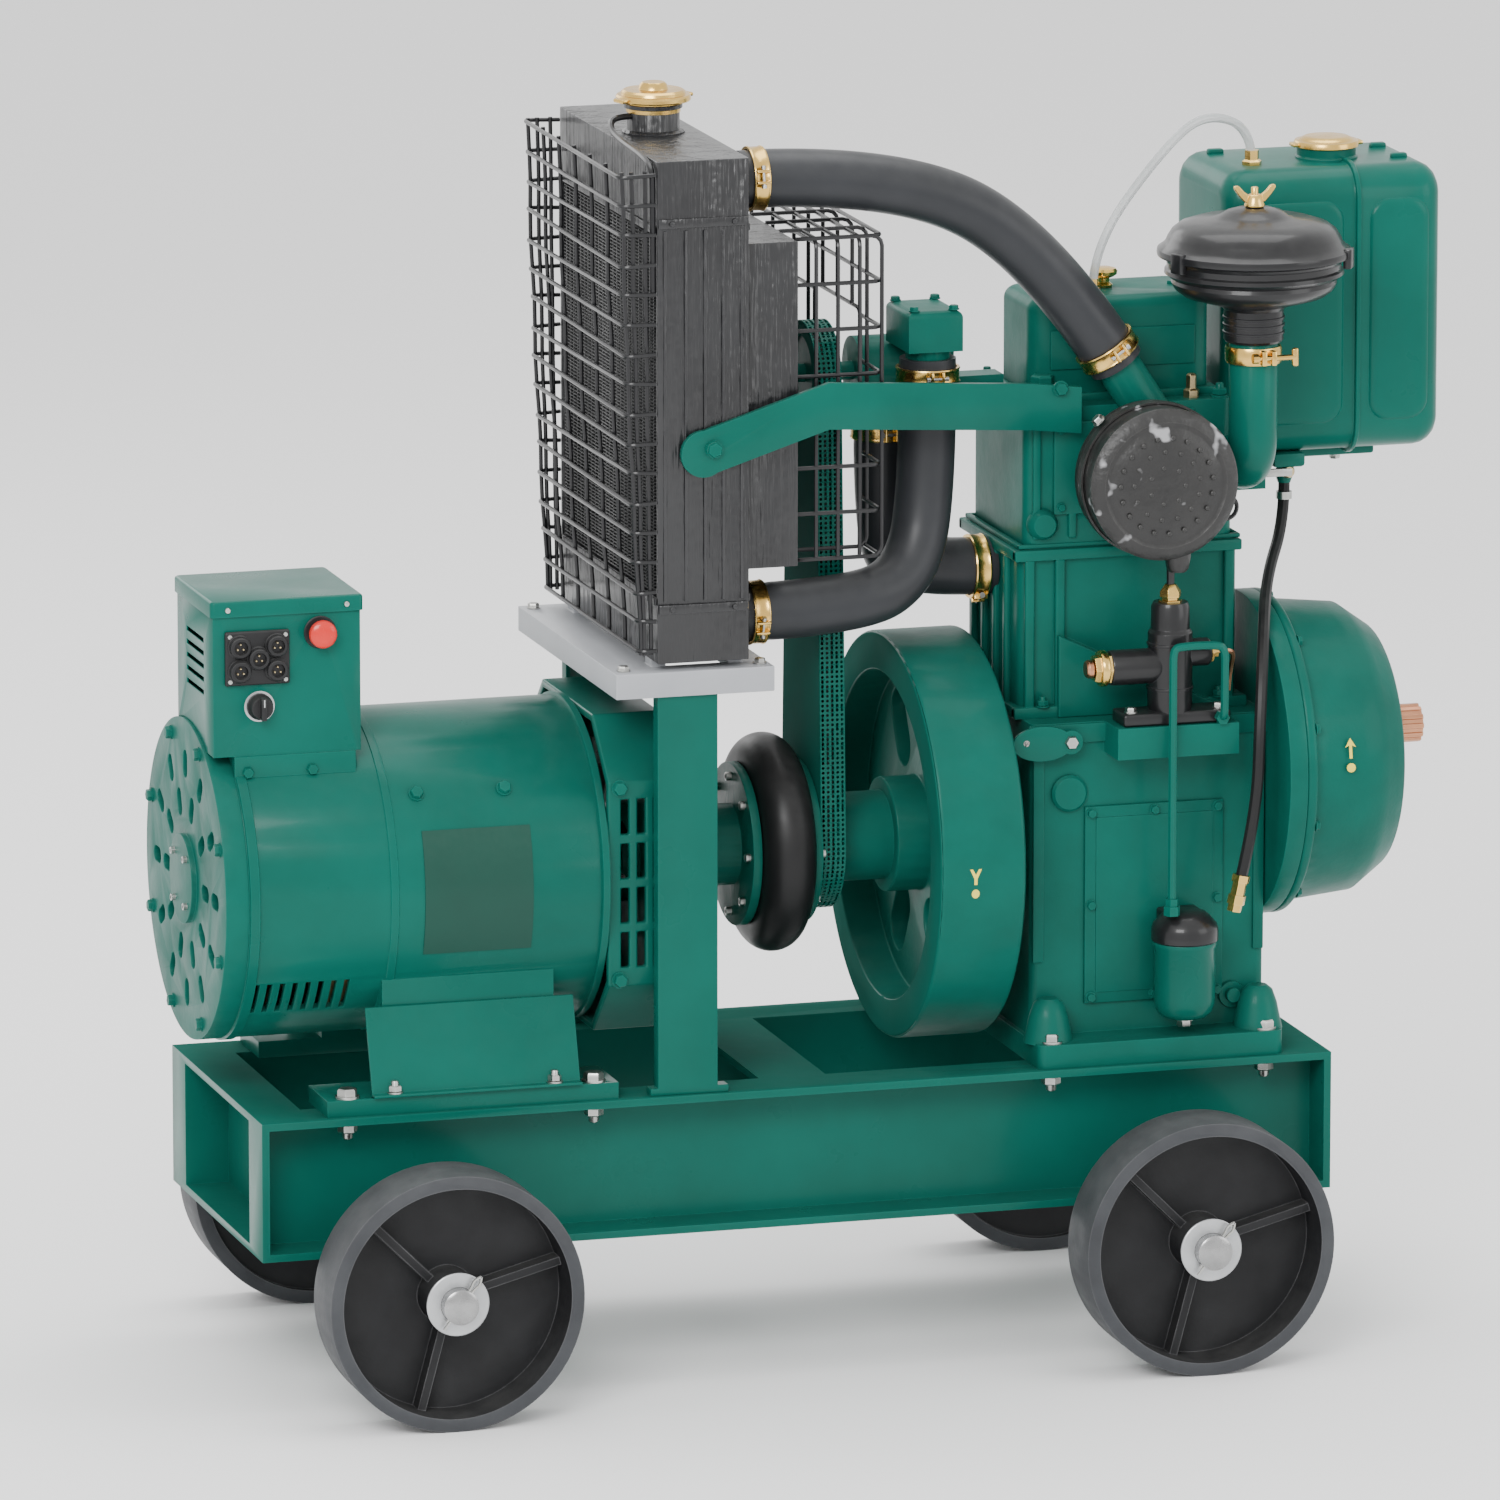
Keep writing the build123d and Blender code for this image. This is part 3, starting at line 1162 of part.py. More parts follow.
# ---------------------------------------------------------------- radiator and its stand
half_radiator = radiator_width / 2
stub_y = -120.0
top_stub_z = radiator_z1 - 34.0
low_stub_z = radiator_z0 + 36.0
neck_radius = 28.0
neck_height = 34.0
stub_reach = 46.0
cowl_depth = 58.0
fan_radius = 152.0
cowl_half = fan_radius + 22.0
cowl_x1 = radiator_x1 + cowl_depth
tank_top = 78.0
tank_low = 70.0
with BuildPart() as radiator:
    slab(radiator_x0, radiator_x1, -half_radiator, half_radiator, radiator_z1 - tank_top, radiator_z1)
    slab(radiator_x0, radiator_x1, -half_radiator, half_radiator, radiator_z0, radiator_z0 + tank_low)
    slab(
        radiator_x0 + 6.0, radiator_x1 - 6.0,
        -half_radiator + 10.0, half_radiator - 10.0,
        radiator_z0 + tank_low, radiator_z1 - tank_top,
    )
    for side in (-1, 1):
        near, far = sorted((side * half_radiator, side * (half_radiator - 5.0)))
        slab(radiator_x0, radiator_x1, near, far, radiator_z0, radiator_z1)
    slab(
        radiator_x0 + 3.0, radiator_x1 - 3.0,
        -half_radiator + 3.0, half_radiator - 3.0,
        radiator_z1 - tank_top + 8.0, radiator_z1 - 3.0,
        mode=Mode.SUBTRACT,
    )
    round_z(radiator_z1 - 3.0, radiator_z1 + neck_height, neck_radius, radiator_x, 0)
    round_z(
        radiator_z1 - 4.0,
        radiator_z1 + neck_height,
        neck_radius - 4.0,
        radiator_x,
        0,
        mode=Mode.SUBTRACT,
    )
    for z in (top_stub_z, low_stub_z):
        round_x(radiator_x1 - 3.0, radiator_x1 + stub_reach, hose_bore, stub_y, z)
        round_x(radiator_x1 - 4.0, radiator_x1 + stub_reach, hose_bore - 3.0, stub_y, z, mode=Mode.SUBTRACT)
    slab(radiator_x1 - 6.0, cowl_x1, -cowl_half, cowl_half, fan_z - cowl_half, fan_z + cowl_half)
    slab(
        radiator_x1 - 6.0, cowl_x1 - 3.0,
        -cowl_half + 3.0, cowl_half - 3.0,
        fan_z - cowl_half + 3.0, fan_z + cowl_half - 3.0,
        mode=Mode.SUBTRACT,
    )
    round_x(cowl_x1 - 4.0, cowl_x1, fan_radius + 6.0, 0, fan_z, mode=Mode.SUBTRACT)
radiator.part.label = "radiator"
export_step(radiator.part, "parts/radiator.step")

with BuildPart() as radiator_cap:
    cap_z = radiator_z1 + neck_height
    round_z(cap_z + clear, cap_z + 20.0, 40.0, radiator_x, 0)
    round_z(cap_z - 12.0, cap_z + 2.0, neck_radius - 4.0 - running, radiator_x, 0)
    slab(radiator_x - 47.0, radiator_x + 47.0, -9.0, 9.0, cap_z + 6.0, cap_z + 12.0)
radiator_cap.part.label = "radiator_cap"
export_step(radiator_cap.part, "parts/radiator_cap.step")

wire = 2.0  # half a guard bar
cage_x1 = belt_x + 26.0
cage_half = fan_radius + 10.0
cage_z0 = fan_z - cowl_half + 4.0
cage_z1 = fan_z + cowl_half
gap_half = 84.0
gap_top = fan_z + 82.0
grid_x = radiator_x0 - 40.0
with BuildPart() as wire_guards:
    rows = 13
    for row in range(rows):
        z = radiator_z0 + 12.0 + row * (radiator_height - 24.0) / (rows - 1)
        slab(grid_x - wire, grid_x + wire, -half_radiator, half_radiator, z - wire, z + wire)
        for y in (-half_radiator, half_radiator - 2 * wire):
            slab(grid_x - wire, radiator_x0, y, y + 2 * wire, z - wire, z + wire)
    for column in range(7):
        y = -half_radiator + wire + column * (radiator_width - 2 * wire) / 6
        slab(grid_x - wire, grid_x + wire, y - wire, y + wire, radiator_z0 + 10.0, radiator_z1 - 10.0)
    levels = 9
    for level in range(levels):
        z = cage_z0 + wire + level * (cage_z1 - cage_z0 - 2 * wire) / (levels - 1)
        for side in (-1, 1):
            near, far = sorted((side * cage_half, side * (cage_half - 2 * wire)))
            slab(cowl_x1, cage_x1, near, far, z - wire, z + wire)
            if z < gap_top:
                near, far = sorted((side * cage_half, side * gap_half))
                slab(cage_x1 - 2 * wire, cage_x1, near, far, z - wire, z + wire)
        if z > gap_top:
            slab(cage_x1 - 2 * wire, cage_x1, -cage_half, cage_half, z - wire, z + wire)
    for side in (-1, 1):
        for x in (cowl_x1 + wire, (cowl_x1 + cage_x1) / 2, cage_x1 - wire):
            near, far = sorted((side * cage_half, side * (cage_half - 2 * wire)))
            slab(x - wire, x + wire, near, far, cage_z0, cage_z1)
        for y in (gap_half + wire, (gap_half + cage_half) / 2):
            slab(cage_x1 - 2 * wire, cage_x1, side * y - wire, side * y + wire, cage_z0, cage_z1)
            slab(cowl_x1, cage_x1, side * y - wire, side * y + wire, cage_z1 - 2 * wire, cage_z1)
    for x in (cowl_x1 + wire, (cowl_x1 + cage_x1) / 2, cage_x1 - wire):
        slab(x - wire, x + wire, -cage_half, cage_half, cage_z1 - 2 * wire, cage_z1)
wire_guards.part.label = "wire_guards"
export_step(wire_guards.part, "parts/wire_guards.step")

stand_x0 = radiator_x - 97.0
stand_x1 = radiator_x + 77.0
with BuildPart() as radiator_stand:
    slab(stand_x0, stand_x1, -half_frame, half_frame, shelf_z - shelf_lip, shelf_z)
    slab(
        stand_x0 + shelf_steel, stand_x1 - shelf_steel,
        -half_frame + shelf_steel, half_frame - shelf_steel,
        shelf_z - shelf_lip, shelf_z - shelf_steel,
        mode=Mode.SUBTRACT,
    )
    slab(
        radiator_x0 + 16.0, radiator_x1 - 16.0,
        -half_radiator + 30.0, half_radiator - 30.0,
        shelf_z - shelf_steel, shelf_z,
        mode=Mode.SUBTRACT,
    )
    for side in (-1, 1):
        outer = side * (half_frame - shelf_steel)
        inner = side * (half_frame - shelf_steel - column_depth)
        web = sorted((outer, outer - side * 5.0))
        slab(
            column_x - column_width / 2, column_x + column_width / 2,
            web[0], web[1],
            deck_z, shelf_z - shelf_steel,
        )
        near, far = sorted((outer, inner))
        for x in (column_x - column_width / 2, column_x + column_width / 2 - 5.0):
            slab(x, x + 5.0, near, far, deck_z, shelf_z - shelf_steel)
        slab(
            column_x - column_width / 2 - 8.0, column_x + column_width / 2 + 12.0,
            near, far,
            deck_z, deck_z + 8.0,
        )
    for x in (radiator_x0 + 8.0, radiator_x1 - 8.0):
        for side in (-1, 1):
            slab(
                x - 8.0, x + 8.0,
                side * half_radiator * 0.8 - 12.0, side * half_radiator * 0.8 + 12.0,
                shelf_z, radiator_z0,
            )
radiator_stand.part.label = "radiator_stand"
export_step(radiator_stand.part, "parts/radiator_stand.step")

arm_wall = 8.0
arm_depth = 50.0
arm_y0 = -half_radiator
arm_y1 = -half_block - 16.0
arm_z = radiator_z0 + 224.0
arm_rise = 44.0
arm_fall = 34.0
arm_x0 = radiator_x - 26.0
arm_x1 = belt_x - 42.0
arm_x2 = cylinder_x - 62.0
with BuildPart() as support_arm:
    with BuildSketch(Plane.XY.offset(arm_z - 80.0)):
        with BuildLine() as plan:
            Polyline(
                (arm_x0, arm_y0 - arm_wall),
                (arm_x1, arm_y0 - arm_wall),
                (arm_x2 - 56.0, arm_y1 - arm_wall),
                (arm_x2, arm_y1 - arm_wall),
                (arm_x2, arm_y1),
                (arm_x2 - 56.0, arm_y1),
                (arm_x1, arm_y0),
                (arm_x0, arm_y0),
                close=True,
            )
        make_face()
    extrude(amount=200.0)
    with BuildSketch(Plane.XZ.offset(-arm_y0 - 60.0)):
        with Locations((arm_x0 + arm_depth / 2, arm_z)):
            Circle(arm_depth / 2)
        with BuildLine():
            Polyline(
                (arm_x0 + arm_depth / 2, arm_z - arm_depth / 2),
                (arm_x0 + arm_depth / 2, arm_z + arm_depth / 2),
                (arm_x1, arm_z + arm_rise + arm_depth / 2),
                (arm_x2, arm_z + arm_rise - arm_fall + arm_depth / 2),
                (arm_x2, arm_z + arm_rise - arm_fall - arm_depth / 2),
                (arm_x1, arm_z + arm_rise - arm_depth / 2),
                close=True,
            )
        make_face()
    extrude(amount=-200.0, both=True, mode=Mode.INTERSECT)
    round_y(arm_y1, -half_block, 12.0, arm_x2 - 24.0, arm_z + arm_rise - arm_fall - 6.0)
    round_y(arm_y0 - arm_wall - 6.0, arm_y0 - arm_wall, 9.0, radiator_x + 9.0, arm_z + 5.0)
support_arm.part.label = "support_arm"
export_step(support_arm.part, "parts/support_arm.step")

# ---------------------------------------------------------------- fan, pump and belt
spindle_radius = 10.0
pump_x0 = cage_x1 + 16.0
pump_body_radius = 37.0
pipe_x = pump_x0 + 62.0
low_pipe_x = pump_x0 + 34.0
pipe_y = -74.0
with BuildPart() as fan:
    fan_x = cowl_x1 - 22.0
    round_x(fan_x - 6.0, fan_x + 34.0, 34.0, 0, fan_z)
    for blade in range(6):
        with Locations(Location((fan_x, 0, fan_z), (blade * 60.0, 0, 0))):
            with Locations(Location((0, 0, 30.0 + (fan_radius - 30.0) / 2), (0, 0, 32))):
                Box(4.0, 66.0, fan_radius - 30.0)
    round_x(fan_x - 20.0, fan_x + 40.0, spindle_radius, 0, fan_z, mode=Mode.SUBTRACT)
fan.part.label = "fan"
export_step(fan.part, "parts/fan.step")

with BuildPart() as pump_pulley:
    turned_x(
        [
            (belt_x - groove - 3.0, 0.0),
            (belt_x - groove - 3.0, pump_pulley_radius + 4.0),
            (belt_x - groove - 0.5, pump_pulley_radius + 4.0),
            (belt_x - groove + 3.5, pump_pulley_radius - belt_height - 3.0),
            (belt_x + groove - 3.5, pump_pulley_radius - belt_height - 3.0),
            (belt_x + groove + 0.5, pump_pulley_radius + 4.0),
            (belt_x + groove + 3.0, pump_pulley_radius + 4.0),
            (belt_x + groove + 3.0, 0.0),
        ],
        fan_z,
    )
    round_x(fan_x - 6.0, pump_x0 + 96.0, spindle_radius, 0, fan_z)
    round_x(pump_x0 + 70.0, pump_x0 + 92.0, 26.0, 0, fan_z)
pump_pulley.part.label = "pump_pulley"
export_step(pump_pulley.part, "parts/pump_pulley.step")

with BuildPart() as water_pump:
    round_x(pump_x0, pump_x0 + 100.0, pump_body_radius, 0, fan_z)
    slab(pump_x0 + 84.0, pump_x0 + 100.0, -46.0, 46.0, fan_z - 46.0, fan_z + 46.0)
    slab(pump_x0 + 92.0, block_x0 + 6.0, -16.0, 16.0, fan_z - 46.0, fan_z - 10.0)
    slab(pipe_x - 30.0, pipe_x + 30.0, pipe_y - 30.0, -20.0, fan_z + 34.0, fan_z + 78.0)
    fillet(water_pump.faces().sort_by(Axis.Z)[-1].edges(), 8.0)
    round_z(fan_z - 10.0, fan_z + 36.0, hose_bore, pipe_x, pipe_y)
    round_z(fan_z - 70.0, fan_z, hose_bore, low_pipe_x, 0)
    round_x(pump_x0 + 66.0, pump_x0 + 97.0, 29.0, 0, fan_z, mode=Mode.SUBTRACT)
    round_x(pump_x0, pump_x0 + 70.0, spindle_radius + running, 0, fan_z, mode=Mode.SUBTRACT)
water_pump.part.label = "water_pump"
export_step(water_pump.part, "parts/water_pump.step")


def belt_loop(offset_out):
    """the open loop round both pulleys, this far outside the belt's back"""
    low_radius = pulley_radius + offset_out
    high_radius = pump_pulley_radius + offset_out
    span = fan_z - shaft_z
    lean = asin((low_radius - high_radius) / span)
    with Locations((0, shaft_z)):
        Circle(low_radius)
    with Locations((0, fan_z)):
        Circle(high_radius)
    with BuildLine() as sides:
        Polyline(
            (-low_radius * cos(lean), shaft_z + low_radius * sin(lean)),
            (-high_radius * cos(lean), fan_z + high_radius * sin(lean)),
            (high_radius * cos(lean), fan_z + high_radius * sin(lean)),
            (low_radius * cos(lean), shaft_z + low_radius * sin(lean)),
            close=True,
        )
    make_face(sides.edges())


with BuildPart() as drive_belt:
    with BuildSketch(Plane.YZ.offset(belt_x - groove + 4.2)):
        belt_loop(0.0)
    extrude(amount=2 * groove - 8.4)
    with BuildSketch(Plane.YZ.offset(belt_x - groove)):
        belt_loop(-belt_height)
    extrude(amount=2 * groove, mode=Mode.SUBTRACT)
drive_belt.part.label = "drive_belt"
export_step(drive_belt.part, "parts/drive_belt.step")

guard_gap = 12.0
guard_wall = 1.5
with BuildPart() as belt_guard:
    with BuildSketch(Plane.YZ.offset(belt_x - 14.0)):
        belt_loop(guard_gap + guard_wall)
    extrude(amount=28.0)
    with BuildSketch(Plane.YZ.offset(belt_x - 14.0 + guard_wall)):
        belt_loop(guard_gap)
    extrude(amount=28.0 - 2 * guard_wall, mode=Mode.SUBTRACT)
    for z, radius in ((shaft_z, 52.0), (fan_z, 40.0)):
        round_x(belt_x - 15.0, belt_x + 15.0, radius, 0, z, mode=Mode.SUBTRACT)
belt_guard.part.label = "belt_guard"
export_step(belt_guard.part, "parts/belt_guard.step")

# ---------------------------------------------------------------- coolant hoses and clips
hose_start_x = radiator_x1 + 8.0
top_route = [
    (hose_start_x, stub_y, top_stub_z),
    (cage_x1 + 20.0, stub_y, top_stub_z),
    top_hose_knee,
    top_hose_end,
]
low_route = [
    (hose_start_x, stub_y, low_stub_z),
    (cage_x1 - 20.0, stub_y, low_stub_z),
    (pipe_x - 26.0, (stub_y + pipe_y) / 2, low_stub_z + 24.0),
    (pipe_x, pipe_y, low_stub_z + 110.0),
    (pipe_x, pipe_y, fan_z + 24.0),
]
block_route = [
    (low_pipe_x, 0.0, fan_z - 48.0),
    (low_pipe_x, 0.0, water_in_z + 40.0),
    (low_pipe_x + 24.0, 0.0, water_in_z),
    (block_x0 - 2.0, 0.0, water_in_z),
]
with BuildPart() as coolant_hoses:
    tube(top_route, even_bends(top_route), hose_radius, hose_bore)
    tube(low_route, even_bends(low_route), hose_radius, hose_bore)
    tube(block_route, even_bends(block_route), hose_radius, hose_bore)
coolant_hoses.part.label = "coolant_hoses"
export_step(coolant_hoses.part, "parts/coolant_hoses.step")


def clip_at(start, towards):
    """a hose clip's ring a little way in from a hose's end"""
    ring_plane = Plane(start, z_dir=(Vector(*towards) - Vector(*start)).normalized())
    with BuildSketch(ring_plane.offset(8.0)) as ring:
        Circle(hose_radius + clip_wall)
        Circle(hose_radius, mode=Mode.SUBTRACT)
    extrude(ring.sketch, amount=clip_width)


with BuildPart() as hose_clips:
    for route in (top_route, low_route, block_route):
        clip_at(route[0], route[1])
        clip_at(route[-1], route[-2])
hose_clips.part.label = "hose_clips"
export_step(hose_clips.part, "parts/hose_clips.step")
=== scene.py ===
# A diesel generator on its trolley, dressed in paint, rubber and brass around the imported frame.
import bmesh
import bpy
import json
import math
from mathutils import Matrix, Vector

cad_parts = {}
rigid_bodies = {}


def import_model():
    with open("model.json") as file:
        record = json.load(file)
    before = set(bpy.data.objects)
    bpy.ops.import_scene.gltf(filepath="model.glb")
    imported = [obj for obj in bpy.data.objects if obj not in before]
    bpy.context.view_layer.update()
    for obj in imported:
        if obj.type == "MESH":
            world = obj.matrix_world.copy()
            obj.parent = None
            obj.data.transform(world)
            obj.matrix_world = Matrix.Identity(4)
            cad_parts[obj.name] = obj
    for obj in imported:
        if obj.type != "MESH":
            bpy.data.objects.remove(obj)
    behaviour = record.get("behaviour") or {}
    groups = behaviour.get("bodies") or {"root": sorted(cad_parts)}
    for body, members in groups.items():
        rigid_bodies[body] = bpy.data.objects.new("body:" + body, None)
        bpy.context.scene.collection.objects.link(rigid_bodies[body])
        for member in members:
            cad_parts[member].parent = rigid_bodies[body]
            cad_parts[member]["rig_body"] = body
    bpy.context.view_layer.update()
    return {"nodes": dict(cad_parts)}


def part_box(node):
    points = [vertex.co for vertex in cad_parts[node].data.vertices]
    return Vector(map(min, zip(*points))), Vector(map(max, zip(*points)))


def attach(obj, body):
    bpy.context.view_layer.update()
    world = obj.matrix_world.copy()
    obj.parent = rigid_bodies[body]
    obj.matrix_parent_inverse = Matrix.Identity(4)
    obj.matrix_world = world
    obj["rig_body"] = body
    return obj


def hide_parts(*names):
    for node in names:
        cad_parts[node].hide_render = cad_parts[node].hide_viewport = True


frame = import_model()
nodes = frame["nodes"]
mm = 0.001
# in mm: heights of the shaft line, the fan's shaft and the wheels, and the camshaft's (y, z)
shaftHeight = 541.0
fanHeight = 1050.0
wheelHeight = 138.0
camAt = (-88.0, 647.301)
print("frame loaded")

# camera, lights and floor
studio = {
    "turn": -16.48,
    "rise": 11.97,
    "distance": 14974,
    "aim": (-70.7, 0, 642.2),
    "lens": 335.4,
    "floorTone": (0.93, 0.93, 0.93),
    "keyPower": 230,
    "fillPower": 45,
    "topPower": 90,
    "skyTone": (1.0, 1.0, 1.0),
    "skyStrength": 1.4,
}


def lookFrom(place, aim, thing):
    thing.location = place
    thing.rotation_mode = "QUATERNION"
    thing.rotation_quaternion = (Vector(aim) - Vector(place)).to_track_quat("-Z", "Y")


def softBox(name, place, aim, width, height, power):
    lamp = bpy.data.lights.new(name, "AREA")
    lamp.shape = "RECTANGLE"
    lamp.size, lamp.size_y = width, height
    lamp.energy = power
    box = bpy.data.objects.new(name, lamp)
    bpy.context.scene.collection.objects.link(box)
    lookFrom(place, aim, box)


turn, rise = math.radians(studio["turn"]), math.radians(studio["rise"])
away = Vector((math.sin(turn) * math.cos(rise), -math.cos(turn) * math.cos(rise), math.sin(rise)))
target = Vector(studio["aim"]) * mm
lens = bpy.data.cameras.new("camera")
lens.lens = studio["lens"]
lens.sensor_width = 36
lens.clip_end = 100
cameraObject = bpy.data.objects.new("camera", lens)
bpy.context.scene.collection.objects.link(cameraObject)
lookFrom(target + away * studio["distance"] * mm, target, cameraObject)
bpy.context.scene.camera = cameraObject

middle = (0, 0, 0.6)  # metres, where the lamps point
softBox("keyLight", (-2.6, -4.2, 3.6), middle, 2.6, 2.0, studio["keyPower"])
softBox("fillLight", (3.8, -3.0, 2.0), middle, 2.4, 2.4, studio["fillPower"])
softBox("topLight", (0.2, 0.6, 4.4), middle, 3.4, 2.4, studio["topPower"])
softBox("backLight", (-1.5, 4.6, 2.6), middle, 3.0, 2.0, studio["fillPower"])
sky = bpy.data.worlds.new("sky")
sky.use_nodes = True
sky.node_tree.nodes["Background"].inputs["Color"].default_value = (*studio["skyTone"], 1)
sky.node_tree.nodes["Background"].inputs["Strength"].default_value = studio["skyStrength"]
bpy.context.scene.world = sky

# paints, metals and rubbers
enamelGreen = (0.0, 0.100, 0.074)
enamelDeep = (0.0, 0.074, 0.054)
blackTone = (0.007, 0.0072, 0.008)

